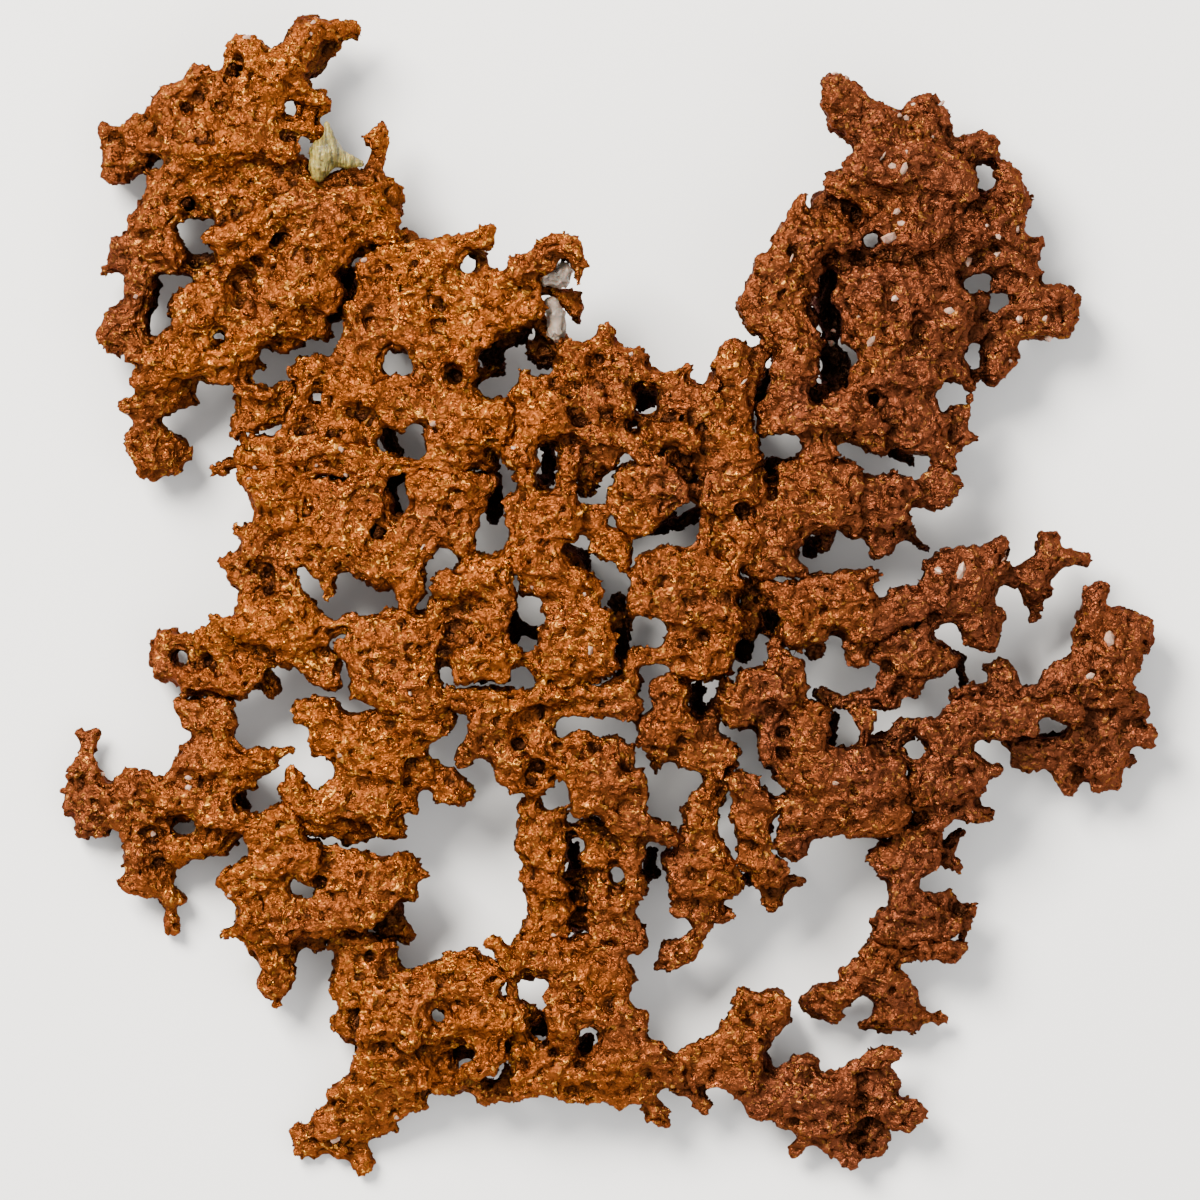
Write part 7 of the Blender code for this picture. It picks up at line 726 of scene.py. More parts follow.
    "left_foot": """
5 5 | -27 -34.8 1 | -25.4 -34.8 1.3 | -23.8 -34.6 1.2 | -22.2 -35 1.2 | -26.9 -33.8 .9
5 5 | -26.2 -36.6 1.2 | -24.6 -36.6 1.4 | -23 -36.4 1.3 | -21.8 -36.6 1.1 | -22.4 -37.6 1
5 5 | -26.4 -38.6 1.2 | -25 -38.4 1.4 | -26.4 -39.8 1 | -25.2 -40 1.1
4 4 | -26.3 -42.4 1.2 | -25.4 -43.2 1.3 | -25.8 -41.8 1
6 7 | -23.4 -38.4 1 | -22.6 -39.4 1 | -23.7 -40.2 1 | -20.4 -38.2 1.1 | -18.8 -38.2 1.2
| -17.2 -37.4 1.3
7 8 | -20.2 -39.9 1.1 | -18.8 -39.8 1.2 | -17.2 -39.4 1.3 | -15.6 -39.2 1.3 | -14 -39 1.3
| -12.4 -39 1.3
7 8 | -15.6 -36.4 1.2 | -14.8 -37.6 1.3 | -13.6 -36 1.1 | -13.2 -37.5 1.2 | -11.8 -36.9 1.1
| -11 -37.8 1
7 8 | -23.6 -42 1.2 | -22.2 -41.8 1.1 | -20.8 -41.6 1.1 | -19.2 -41.5 1.1 | -18.3 -41.9 .9
7 8 | -15.4 -40.9 1.2 | -14 -40.8 1.3 | -12.4 -40.8 1.3 | -11 -40.6 1.2 | -9.9 -41.6 1.1
7 8 | -24 -43.6 1.1 | -22.5 -43.2 1.1 | -20.8 -43.3 1.2 | -19.6 -44.2 1.3 | -19 -43 1
7 8 | -17.2 -43.5 1 | -16 -43.2 .9 | -14.6 -42.3 1.2 | -13 -42.4 1.3 | -11.4 -42.3 1.3 | -10 -43 .9
7 8 | -13.4 -44 1 | -12 -44 1.2 | -12.2 -45.4 1 | -11 -45.6 1 | -11.9 -46.6 1 | -13 -47 .9
6 6 | -16.6 -44.3 .9 | -15.6 -44.3 .8 | -17.8 -45 .8
6 6 | -24 -45.6 1 | -23 -45.9 .9 | -20.4 -45.6 1.1 | -19 -46 1.1 | -20.2 -44.6 1
5 6 | -24.4 -46.9 1.2 | -22.8 -47 1.2 | -21.3 -47 1.2 | -19.8 -47 1.1 | -18.2 -46.9 1.2 | -18.2 -48.2 1
4 5 | -25.6 -48.6 1.2 | -24 -48.6 1.3 | -22.5 -48.4 1.3 | -21 -48.5 1.3 | -19.4 -48.5 1.2
3 4 | -27 -49.6 1 | -25.6 -50 1.3 | -24 -50 1.4 | -22.4 -50 1.4 | -20.8 -50 1.3 | -19.3 -49.9 1.1
| -18.7 -50.3 .7
2 3 | -28.6 -51.9 1 | -27.2 -51.4 1.2 | -25.6 -51.6 1.3 | -24 -51.6 1.3 | -22.4 -51.4 1.3 | -21 -51.1 1
2 2 | -28.4 -53.2 1 | -27 -53 1.2 | -25.4 -53.2 1.3 | -24 -53 1.2 | -22.8 -52.6 1 | -21.7 -52.6 .8
1 1 | -28.4 -54.3 1.1 | -26.9 -54.8 1.1 | -25.2 -54.2 1 | -26.9 -55.2 .8
1 1 | -30.9 -53.2 .8 | -30.6 -54.2 1 | -30.3 -55 1 | -29.3 -55 .9
1 1 | -24.4 -55.2 .8 | -24.4 -56.2 1.1 | -24.3 -57 .8
5 5 | -17.2 -46.6 .6 | -15.8 -46.2 .8 | -16.6 -48.4 1.2 | -15.3 -48.4 1.1 | -15.9 -47.2 .7
5 5 | -13.8 -48.6 .8 | -12.6 -48.6 1.1 | -12 -49.6 1.1 | -11 -48.7 .9 | -10.4 -49.3 .7 | -9.4 -49.8 .5
| -9.9 -47.2 .6
4 4 | -21.5 -38.9 .7 | -22 -44.5 .5 | -10.6 -45.2 .8 | -9.8 -44.6 .7
6 1.2 | -14.2 -41 1.8 | -14.2 -41.4 1.6
6 7 | -14.8 -48.2 .8 | -14 -47 .7
""",
    "right_foot": """
6 6 | 8.4 -47 1.1 | 9.9 -46.8 1.2 | 11.2 -46 1.2 | 10.9 -44.9 .9 | 8.6 -48.2 .9 | 10 -48.2 .8
5 4 | 7.2 -48.8 .9 | 8.4 -49.3 .7 | 9.4 -50.4 .9 | 9.5 -51 .6
6 6 | 11.9 -43.6 1 | 12.8 -42.4 1.1 | 12.4 -44.8 1.1 | 13.8 -44.4 1.3 | 14.8 -43.6 1.2
5 5 | 13.4 -39.6 .8 | 13.3 -40.8 .9 | 14.8 -40.6 1.1 | 16.4 -40.2 1.2 | 17.3 -40.6 1 | 16.8 -39.6 .7
5 5 | 14 -41.8 1.2 | 15.6 -41.8 1.2 | 17 -41.8 1.1 | 16 -43.2 1 | 15.2 -44.4 .9
6 6 | 12.6 -46.4 1.2 | 14.1 -45.8 1.3 | 14.3 -46.9 1.1 | 12.6 -47.9 1.2 | 14.2 -48.4 1.3 | 11.4 -48 .9
5 5 | 13.4 -49.6 .9 | 14.9 -49.8 1.1 | 14 -50.4 .5 | 15.2 -51.6 .8 | 15.6 -50.6 .9
5 5 | 16.2 -48.3 1 | 17.6 -48.2 1.2 | 18.7 -47.4 1.1 | 19.9 -46.6 1.1 | 18.8 -46.4 .9 | 17 -47.3 .4
5 5 | 16.6 -50 1.2 | 18 -49.8 1.3 | 19.6 -49.2 1.3 | 21.2 -49.4 1.2 | 22.6 -49.2 1.1 | 24 -49 1
| 20.6 -48.1 .9 | 22.2 -48.1 .6
4 4 | 17.6 -51.6 1.2 | 19 -51.4 1.3 | 20.6 -51.2 1.3 | 22.2 -51 1.3 | 23.8 -50.8 1.2
4 4 | 18.9 -52.8 1 | 20.4 -53 1.2 | 22 -52.8 1.3 | 23.4 -52.4 1.1 | 24.3 -51.9 .8
3 2 | 19.4 -54 .8 | 18.8 -55 .7 | 18.5 -55.4 .5
3 3 | 21.8 -54.4 1 | 23.2 -54.2 1 | 22.8 -55 .8 | 24.2 -55.3 .8 | 24.2 -56.4 .75 | 24.8 -55.9 .5
5 5 | 26.4 -45.4 .7 | 27.6 -45.2 .6 | 28.8 -45.4 .5 | 26.4 -46.4 .9 | 25.6 -47 .7
4 4 | 26.2 -48 1.1 | 27.6 -47.8 1 | 28.2 -48.4 .8 | 26.4 -49.6 1 | 28 -49.7 1
4 4 | 26.6 -51.1 1 | 28 -51 1.1 | 29.4 -50.9 1.1 | 30.6 -50.9 .8 | 31.5 -51.6 .4
4 4 | 28.4 -52.2 .9 | 29.8 -52.4 .8 | 29.7 -52.9 .5
2 2 | 25.8 -53.6 .9 | 26.6 -53.2 1.1 | 26.2 -54.2 .8 | 27.4 -54 .8 | 27 -55 .7 | 26 -55.6 .5
1 1 | 24.6 -53.6 .6 | 25.2 -55.2 .6 | 25.3 -50.9 .6
4 1.1 | 14.6 -46.8 1.8 | 14.6 -47 1.6
4 1.1 | 20.6 -51.6 1.7 | 20.8 -51.8 1.5
6 7 | 12 -43.4 .9 | 10.4 -44.2 .8 | 8.4 -45.2 .8 | 7 -46.1 .8
5 5 | 28.4 -45.2 .6 | 26.6 -45.9 .7 | 24.6 -46.8 .7 | 22.6 -47.9 .7
""",
    "lower_right_branch": """
5 5 | 27 -34.8 1.1 | 28.4 -34.9 .9 | 26 -35.8 1 | 27.4 -36.4 1.3 | 24.8 -36.8 1 | 25.8 -37.6 1.2
| 28.6 -35.6 .5
5 4 | 23.9 -37.4 .9 | 24.2 -38.9 1.1 | 22.9 -39.8 1.2 | 21.4 -39.6 1.2 | 20.6 -40.4 1.1 | 22.3 -41.2 1.1
5 4 | 27.7 -38 1.1 | 29.3 -38.3 .9 | 26.4 -39.1 .9 | 27.7 -39.6 1.3 | 29.2 -39.8 1.3 | 30.2 -39.6 .8
4 3 | 27.4 -41.4 1.2 | 28.8 -41.6 1.3 | 30 -41.4 1.1 | 26.2 -42.4 .6 | 25.4 -42.6 .45 | 28.2 -42.7 .7
3 2 | 31.6 -41.8 .5 | 32.6 -41.8 .6 | 33.2 -42.2 .6
3 3 | 30.3 -42.9 .7
6 5 | 31.4 -34.7 .9 | 31.6 -35.6 .8 | 32.8 -34.6 .4 | 33.8 -34.9 .9 | 33.6 -35.8 .6 | 34.5 -35.9 .5
| 35.2 -34.9 .6 | 30.4 -35.6 .4
4 1.1 | 28.2 -39.8 1.6 | 28.2 -40 1.4
""",
}

# The other minerals, written in the same way.
minerals = {
    "green_mineral_crust": """
9.5 9.5 | -27.9 46.8 .3 | -27.6 45.4 .6 | -28 44 1.5 | -28.5 42.8 1.2 | -28.8 41.5 .5
9.3 9.0 | -28 44 1.2 | -26.6 43.4 1 | -25.4 43.1 .6 | -24.4 42.9 .3
""",
    "white_calcite_upper": """
11.6 11.4 | -6 31.6 .9 | -5 31.6 1.35 | -4.4 32.2 1
""",
    "white_calcite_lower": """
10.6 10.2 | -5.7 29 .7 | -5.2 27.9 .95 | -5.1 26.6 .95 | -4.9 25.5 .6
""",
}

copperShape = {
    "middle": (-0.04, -0.05),  # mm, the middle of the growth before it is brought over the origin
    "knobSpacing": 0.75,  # in knob radii
    "wobble": 0.12,  # how far a knob strays from its ridge, in radii
    "unevenness": 0.12,  # how much knobs differ in size
    "wartsPerKnob": 2,
    "wartSize": (0.3, 0.55),  # in knob radii
    "wartSunk": 0.55,  # how much of a wart's radius is inside its knob
    "closing": 0.45,  # mm, slits up to twice this wide grow shut
    "meltSteps": 3,  # how often the skin is evened out
    "meltShare": 0.5,
    "underFrom": 1.05,  # mm, knobs this large have another below them
    "underDrop": 1.3,  # in knob radii
    "underSize": 1.05,
    "leastKnob": 0.62,  # mm, and so are the next two
    "leastLap": 0.1,  # ridges that share less than this aren't held together
    "riserRadius": 0.85,  # of the short risers that hold them
    "voxel": 0.22,  # mm
    "lumpSize": 1.8,  # mm across
    "lumpHeight": 1.0,  # mm
    "facetSize": 1.0,  # mm across a crystal grain
    "facetHeight": 0.38,  # mm
    "facetSlope": 1.6,  # how steeply a grain is cut off, against how far it stands out
    "grainSize": 0.55,  # mm
    "grainHeight": 0.16,  # mm
    "hollowReach": 10,  # how many points away a point still counts as its surroundings
    "seed": 11,
}


def ridgesOf(text):
    joined = text.replace("\n|", " |")
    for line in filter(None, joined.splitlines()):
        heights, *knobs = line.split("|")
        first, last = (float(height) for height in heights.split())
        points = [[float(value) for value in knob.split()] for knob in knobs]
        steps = max(1, len(points) - 1)
        yield [(x, y, first + (last - first) * at / steps, r) for at, (x, y, r) in enumerate(points)]


def knobsAlong(ridge, shape):
    # The knobs of a ridge, those between them and the layer below, as x, y, z and radius in mm.
    knobs = [ridge[0]]
    for start, end in zip(ridge, ridge[1:]):
        length = math.dist(start[:3], end[:3])
        count = max(1, round(length / (shape["knobSpacing"] * min(start[3], end[3]))))
        for step in range(1, count + 1):
            knobs.append(tuple(a + (b - a) * step / count for a, b in zip(start, end)))
    for x, y, z, radius in knobs:
        yield x, y, z, radius
        if radius >= shape["underFrom"] and z > 2 * radius:
            yield x, y, z - shape["underDrop"] * radius, radius * shape["underSize"]


def gapsBetween(first, second, shape):
    apart = np.linalg.norm(first[:, None, :3] - second[None, :, :3], axis=2)
    radii = [np.maximum(knobs[:, 3], shape["leastKnob"]) for knobs in (first, second)]
    return apart - radii[0][:, None] - radii[1][None, :]


def knobsOf(text, shape):
    # Every knob of a limb. A ridge that would hang loose grows from the nearest knob by a short riser.
    loose = [np.array(list(knobsAlong(ridge, shape))) for ridge in ridgesOf(text)]
    limb = loose.pop(0)
    while loose:
        gaps = [gapsBetween(limb, ridge, shape) for ridge in loose]
        nearest = int(np.argmin([gap.min() for gap in gaps]))
        gap = gaps[nearest]
        ridge = loose.pop(nearest)
        joined = [limb, ridge]
        if gap.min() > -shape["leastLap"]:
            root, tip = np.unravel_index(gap.argmin(), gap.shape)
            riser = np.array([limb[root], ridge[tip]])
            riser[:, 3] = np.clip(riser[:, 3].min(), shape["leastKnob"], shape["riserRadius"])
            joined.append(np.array(list(knobsAlong(riser, shape))))
        limb = np.concatenate(joined)
    return limb


def ballOf(subdivisions):
    ball = bmesh.new()
    bmesh.ops.create_icosphere(ball, subdivisions=subdivisions, radius=1.0)
    points = np.array([vertex.co[:] for vertex in ball.verts])
    faces = np.array([[vertex.index for vertex in face.verts] for face in ball.faces])
    ball.free()
    return points, faces


def meshOf(name, points, faces):
    mesh = bpy.data.meshes.new(name)
    mesh.from_pydata(points.tolist(), [], faces.tolist())
    piece = bpy.data.objects.new(name, mesh)
    bpy.context.scene.collection.objects.link(piece)
    return piece


def ballsAt(centres, radii, ball):
    # One mesh with a ball at each centre, in mm.
    points, faces = ball
    allPoints = centres[:, None, :] + points[None] * radii[:, None, None]
    allFaces = faces[None] + (np.arange(len(centres)) * len(points))[:, None, None]
    return allPoints.reshape(-1, 3) * mm, allFaces.reshape(-1, 3)


def knobbly(name, text, shape, chance):
    # A skin over all the knobs and the warts that sit on them.
    knobs = knobsOf(text, shape)
    centres = knobs[:, :3] - np.array([*shape["middle"], 0.0])
    radii = knobs[:, 3]
    centres = centres + chance.uniform(-1, 1, centres.shape) * radii[:, None] * shape["wobble"]
    radii = radii * chance.uniform(1 - shape["unevenness"], 1 + shape["unevenness"], len(radii))
    count = shape["wartsPerKnob"]
    aim = chance.normal(size=(len(knobs), count, 3))
    aim /= np.linalg.norm(aim, axis=2, keepdims=True)
    wartRadii = radii[:, None] * chance.uniform(*shape["wartSize"], (len(knobs), count))
    warts = centres[:, None, :] + aim * (radii[:, None, None] - wartRadii[:, :, None] * shape["wartSunk"])
    swell = shape["closing"]
    knobPoints, knobFaces = ballsAt(centres, radii + swell, ballOf(2))
    wartPoints, wartFaces = ballsAt(warts.reshape(-1, 3), wartRadii.reshape(-1) + swell, ballOf(1))
    points = np.concatenate([knobPoints, wartPoints])
    faces = np.concatenate([knobFaces, wartFaces + len(knobPoints)])
    piece = meshOf(name, points, faces)
    skin = piece.modifiers.new("skin", "REMESH")
    skin.mode = "VOXEL"
    skin.voxel_size = shape["voxel"] * mm
    melt = piece.modifiers.new("melt", "SMOOTH")
    melt.factor = shape["meltShare"]
    melt.iterations = shape["meltSteps"]
    return applied(piece)


def applied(piece):
    # Bakes the modifiers of a piece into its mesh.
    bpy.context.view_layer.update()
    graph = bpy.context.evaluated_depsgraph_get()
    mesh = bpy.data.meshes.new_from_object(piece.evaluated_get(graph))
    piece.modifiers.clear()
    old = piece.data
    piece.data = mesh
    bpy.data.meshes.remove(old)
    return piece


def pointsOf(piece):
    points = np.empty(len(piece.data.vertices) * 3, np.float32)
    piece.data.vertices.foreach_get("co", points)
    return points.reshape(-1, 3)


def addNode(tree, kind, inputs=None, **settings):
    # A new node with its settings, and its inputs set to values or linked to other nodes' sockets.
    node = tree.nodes.new(kind)
    for name, value in settings.items():
        setattr(node, name, value)
    for name, value in (inputs or {}).items():
        if isinstance(value, bpy.types.NodeSocket):
            tree.links.new(value, node.inputs[name])
        else:
            node.inputs[name].default_value = value
    return node


def hackleTree():
    # Pushes a skin in and out as lumps, tilted crystal faces and fine grain, and marks its hollows.
    tree = bpy.data.node_groups.new("hackle", "GeometryNodeTree")
    sockets = tree.interface
    sockets.new_socket("Geometry", in_out="INPUT", socket_type="NodeSocketGeometry")
    for feature in ("Lump", "Facet", "Grain"):
        sockets.new_socket(feature + " Size", in_out="INPUT", socket_type="NodeSocketFloat")
        sockets.new_socket(feature + " Height", in_out="INPUT", socket_type="NodeSocketFloat")
    for name in ("Facet Slope", "Closing", "Seed"):
        sockets.new_socket(name, in_out="INPUT", socket_type="NodeSocketFloat")
    sockets.new_socket("Hollow Reach", in_out="INPUT", socket_type="NodeSocketInt")
    sockets.new_socket("Material", in_out="INPUT", socket_type="NodeSocketMaterial")
    sockets.new_socket("Geometry", in_out="OUTPUT", socket_type="NodeSocketGeometry")
    given = addNode(tree, "NodeGroupInput").outputs
    place = addNode(tree, "GeometryNodeInputPosition").outputs[0]
    normal = addNode(tree, "GeometryNodeInputNormal").outputs[0]

    def measured(size):
        # The place in units of one feature, so that a texture's scale stays 1.
        share = addNode(tree, "ShaderNodeMath", {0: 1.0, 1: given[size]}, operation="DIVIDE").outputs[0]
        return addNode(tree, "ShaderNodeVectorMath", {0: place, "Scale": share}, operation="SCALE").outputs[0]

    def bumps(feature, detail):
        # Soft noise, from minus to plus half the feature's height.
        noise = addNode(
            tree,
            "ShaderNodeTexNoise",
            {"Vector": measured(feature + " Size"), "W": given["Seed"], "Scale": 1.0, "Detail": detail},
            noise_dimensions="4D",
        )
        middle = addNode(tree, "ShaderNodeMath", {0: noise.outputs[0], 1: 0.5}, operation="SUBTRACT")
        factors = {0: middle.outputs[0], 1: given[feature + " Height"]}
        return addNode(tree, "ShaderNodeMath", factors, operation="MULTIPLY").outputs[0]

    # Each cell is one crystal grain, cut off by a plane that tilts its own way.
    at = measured("Facet Size")
    cell = addNode(tree, "ShaderNodeTexVoronoi", {"Vector": at, "Scale": 1.0, "Randomness": 1.0})
    tilt = addNode(
        tree, "ShaderNodeVectorMath", {0: cell.outputs["Color"], 1: (0.5, 0.5, 0.5)}, operation="SUBTRACT"
    )
    inCell = addNode(tree, "ShaderNodeVectorMath", {0: at, 1: cell.outputs["Position"]}, operation="SUBTRACT")
    slope = addNode(
        tree, "ShaderNodeVectorMath", {0: inCell.outputs[0], 1: tilt.outputs[0]}, operation="DOT_PRODUCT"
    )
    apart = addNode(tree, "ShaderNodeSeparateXYZ", {0: tilt.outputs[0]})
    step = addNode(
        tree,
        "ShaderNodeMath",
        {0: slope.outputs["Value"], 1: given["Facet Slope"], 2: apart.outputs["X"]},
        operation="MULTIPLY_ADD",
    )
    facet = addNode(
        tree, "ShaderNodeMath", {0: step.outputs[0], 1: given["Facet Height"]}, operation="MULTIPLY"
    )
    push = addNode(tree, "ShaderNodeMath", {0: bumps("Lump", 2.0), 1: bumps("Grain", 1.0)}, operation="ADD")
    push = addNode(tree, "ShaderNodeMath", {0: push.outputs[0], 1: facet.outputs[0]}, operation="ADD")
    push = addNode(tree, "ShaderNodeMath", {0: push.outputs[0], 1: given["Closing"]}, operation="SUBTRACT")
    offset = addNode(tree, "ShaderNodeVectorMath", {0: normal, "Scale": push.outputs[0]}, operation="SCALE")
    moved = addNode(
        tree, "GeometryNodeSetPosition", {"Geometry": given["Geometry"], "Offset": offset.outputs[0]}
    )
    # A point is in a hollow where its surroundings stand further out than it does.
    around = addNode(
        tree,
        "GeometryNodeBlurAttribute",
        {"Value": place, "Iterations": given["Hollow Reach"]},
        data_type="FLOAT_VECTOR",
    )
    lean = addNode(
        tree, "ShaderNodeVectorMath", {0: around.outputs[0], 1: place}, operation="SUBTRACT"
    )
    depth = addNode(tree, "ShaderNodeVectorMath", {0: lean.outputs[0], 1: normal}, operation="DOT_PRODUCT")
    marked = addNode(
        tree,
        "GeometryNodeStoreNamedAttribute",
        {"Geometry": moved.outputs[0], "Name": "hollow", "Value": depth.outputs["Value"]},
        data_type="FLOAT",
        domain="POINT",
    )
    real = addNode(tree, "GeometryNodeRealizeInstances", {"Geometry": marked.outputs[0]})
    done = addNode(
        tree, "GeometryNodeSetMaterial", {"Geometry": real.outputs[0], "Material": given["Material"]}
    )
    addNode(tree, "NodeGroupOutput", {0: done.outputs[0]})
    return tree


def hackled(piece, tree, shape, material):
    growth = piece.modifiers.new("hackle", "NODES")
    growth.node_group = tree
    values = {
        "Facet Slope": shape["facetSlope"],
        "Closing": shape["closing"] * mm,
        "Hollow Reach": shape["hollowReach"],
        "Seed": float(shape["seed"]),
        "Material": material,
    }
    for feature in ("Lump", "Facet", "Grain"):
        values[feature + " Size"] = shape[feature.lower() + "Size"] * mm
        values[feature + " Height"] = shape[feature.lower() + "Height"] * mm
    for socket in tree.interface.items_tree:
        if socket.in_out == "INPUT" and socket.name in values:
            growth[socket.identifier] = values[socket.name]
    applied(piece)
    low, high = (np.array(corner) for corner in cadBox)
    points = np.clip(pointsOf(piece), low, high)  # worn flat where it would pass the outer size
    piece.data.vertices.foreach_set("co", points.astype(np.float32).reshape(-1))
    piece.data.shade_smooth()
    piece.data.update()
    return piece


def linear(hexColour):
    # sRGB hex to the linear colour that a shader takes.
    values = [int(hexColour[at : at + 2], 16) / 255 for at in (1, 3, 5)]
    return (*(v / 12.92 if v <= 0.04045 else ((v + 0.055) / 1.055) ** 2.4 for v in values), 1.0)


copperLook = {
    "goldenBrown": "#7c3f13",  # thin tarnish on the left and the middle
    "redBrown": "#60301b",  # thicker tarnish and painted shade on the right
    "deepBrown": "#2c1305",  # painted shade between the grains and on steep faces
    "shadowBlack": "#1c0e06",  # painted black shadow, deep between the branches
    "bareMetalHighlight": "#ffb348",  # bare metal on the crests, with a painted highlight
    "patchSize": 9.1,  # mm, of thicker and thinner tarnish
    "rightTarnishAndShade": (-10, 35, -0.1, 0.6),  # mm across, from and to, and the tarnish and painted shade at both
    "leftTarnishAndShade": (-40, -52, 0.0, 0.5),
    "tarnishPatches": 1.2,  # how much the patches count
    "shadeAndTarnishFrom": 0.35,  # from golden here
    "shadeAndTarnishFull": 1.1,  # to red here
    "cellSize": 0.7,  # mm, a crystal face
    "cellTilt": 0.4,
    "wrinkleSize": 0.5,  # mm
    "wrinkleHeight": 0.4,  # mm
    "bareHighlightFrom": 0.57,  # of the wrinkles' height
    "bareHighlightEdge": 0.1,  # how gradually bare metal and its painted highlight start
    "wornHighlightSize": 2.5,  # mm, of the patches that are worn bare and carry painted highlights
    "wornHighlightFrom": 0.4,
    "wornHighlightFull": 0.65,
    "bareHighlightUnderTarnish": 0.3,  # how much of it still shows where the tarnish and painted shade are thickest
    "hollowDarkens": (0.00003, 0.0003, 1.0),  # painted shade, m deep, from and to, and the most that it darkens
    "steepDarkens": (0.45, 0.0, 0.85),  # painted shade, the same, by how far a face points up
    "buriedDarkens": (0.0012, 0.005, 1.0),  # painted shadow, m below the growth around it
    "edgeTint": "#ceae9e",  # oxide keeps steep faces from turning white
    "metallic": 0.9,
    "roughness": 0.32,
    "roughnessRange": 0.15,  # from one crystal face to the next
}


def tarnishedCopper(look):
    # Native copper with a thin brown tarnish: a rough metal whose crystal faces each catch the light alone.
    material = bpy.data.materials.new("tarnishedNativeCopper")
    material.use_nodes = True
    tree = material.node_tree
    shader = tree.nodes["Principled BSDF"]
    shader.inputs["Metallic"].default_value = look["metallic"]
    shader.inputs["Specular Tint"].default_value = linear(look["edgeTint"])
    coordinates = addNode(tree, "ShaderNodeTexCoord")
    place = coordinates.outputs["Object"]
    apart = addNode(tree, "ShaderNodeSeparateXYZ", {0: place})
    patches = addNode(
        tree, "ShaderNodeTexNoise", {"Vector": place, "Scale": 1 / (look["patchSize"] * mm), "Detail": 4.0}
    )
    # The tarnish is thicker towards the right, and at the far left, and painted shade darkens the same sides.
    tarnishAndShade = patches.outputs[0]
    weight = look["tarnishPatches"]
    for side in ("rightTarnishAndShade", "leftTarnishAndShade"):
        start, end, least, most = look[side]
        across = {0: apart.outputs["X"], 1: start * mm, 2: end * mm, 3: least, 4: most}
        across = addNode(tree, "ShaderNodeMapRange", across)
        tarnishAndShade = addNode(
            tree, "ShaderNodeMath", {0: tarnishAndShade, 1: weight, 2: across.outputs[0]}, operation="MULTIPLY_ADD"
        ).outputs[0]
        weight = 1.0
    tarnishAndShade = addNode(
        tree, "ShaderNodeMapRange", {0: tarnishAndShade, 1: look["shadeAndTarnishFrom"], 2: look["shadeAndTarnishFull"]}
    ).outputs[0]
    golden, red = linear(look["goldenBrown"]), linear(look["redBrown"])
    colour = addNode(tree, "ShaderNodeMix", {0: tarnishAndShade, 6: golden, 7: red}, data_type="RGBA").outputs[2]
    # The crests of the finest wrinkles are bare metal with a painted highlight, in patches, and less so under
    # thick tarnish and painted shade.
    wrinkles = addNode(
        tree,
        "ShaderNodeTexNoise",
        {"Vector": place, "Scale": 1 / (look["wrinkleSize"] * mm), "Detail": 3.0, "Distortion": 0.8},
    ).outputs[0]
    wornHighlightPatches = addNode(
        tree, "ShaderNodeTexNoise", {"Vector": place, "Scale": 1 / (look["wornHighlightSize"] * mm), "Detail": 2.0}
    ).outputs[0]
    bareHighlightShare = 1.0
    for share in (
        {0: wrinkles, 1: look["bareHighlightFrom"], 2: look["bareHighlightFrom"] + look["bareHighlightEdge"]},
        {0: wornHighlightPatches, 1: look["wornHighlightFrom"], 2: look["wornHighlightFull"]},
        {0: tarnishAndShade, 3: 1.0, 4: look["bareHighlightUnderTarnish"]},
    ):
        share = addNode(tree, "ShaderNodeMapRange", share).outputs[0]
        bareHighlightShare = addNode(tree, "ShaderNodeMath", {0: bareHighlightShare, 1: share}, operation="MULTIPLY").outputs[0]
    bareHighlightMix = {0: bareHighlightShare, 6: colour, 7: linear(look["bareMetalHighlight"])}
    colour = addNode(tree, "ShaderNodeMix", bareHighlightMix, data_type="RGBA").outputs[2]
    # Painted shade between the grains and on steep faces, and painted black shadow deep between the branches.
    hollow = addNode(tree, "ShaderNodeAttribute", attribute_name="hollow")
    facing = addNode(tree, "ShaderNodeSeparateXYZ", {0: coordinates.outputs["Normal"]})
    buried = addNode(tree, "ShaderNodeAttribute", attribute_name="buried")
    for mark, darkens, shade in (
        (hollow.outputs["Fac"], "hollowDarkens", "deepBrown"),
        (facing.outputs["Z"], "steepDarkens", "deepBrown"),
        (buried.outputs["Fac"], "buriedDarkens", "shadowBlack"),
    ):
        start, end, most = look[darkens]
        share = addNode(tree, "ShaderNodeMapRange", {0: mark, 1: start, 2: end, 4: most}).outputs[0]
        dark = {0: share, 6: colour, 7: linear(look[shade])}
        colour = addNode(tree, "ShaderNodeMix", dark, data_type="RGBA").outputs[2]
    tree.links.new(colour, shader.inputs["Base Color"])
    cells = addNode(tree, "ShaderNodeTexVoronoi", {"Vector": place, "Scale": 1 / (look["cellSize"] * mm)})
    lot = addNode(tree, "ShaderNodeSeparateXYZ", {0: cells.outputs["Color"]})
    least, most = (look["roughness"] + side * look["roughnessRange"] for side in (-1, 1))
    rough = addNode(tree, "ShaderNodeMapRange", {0: lot.outputs["Z"], 3: least, 4: most})
    tree.links.new(rough.outputs[0], shader.inputs["Roughness"])
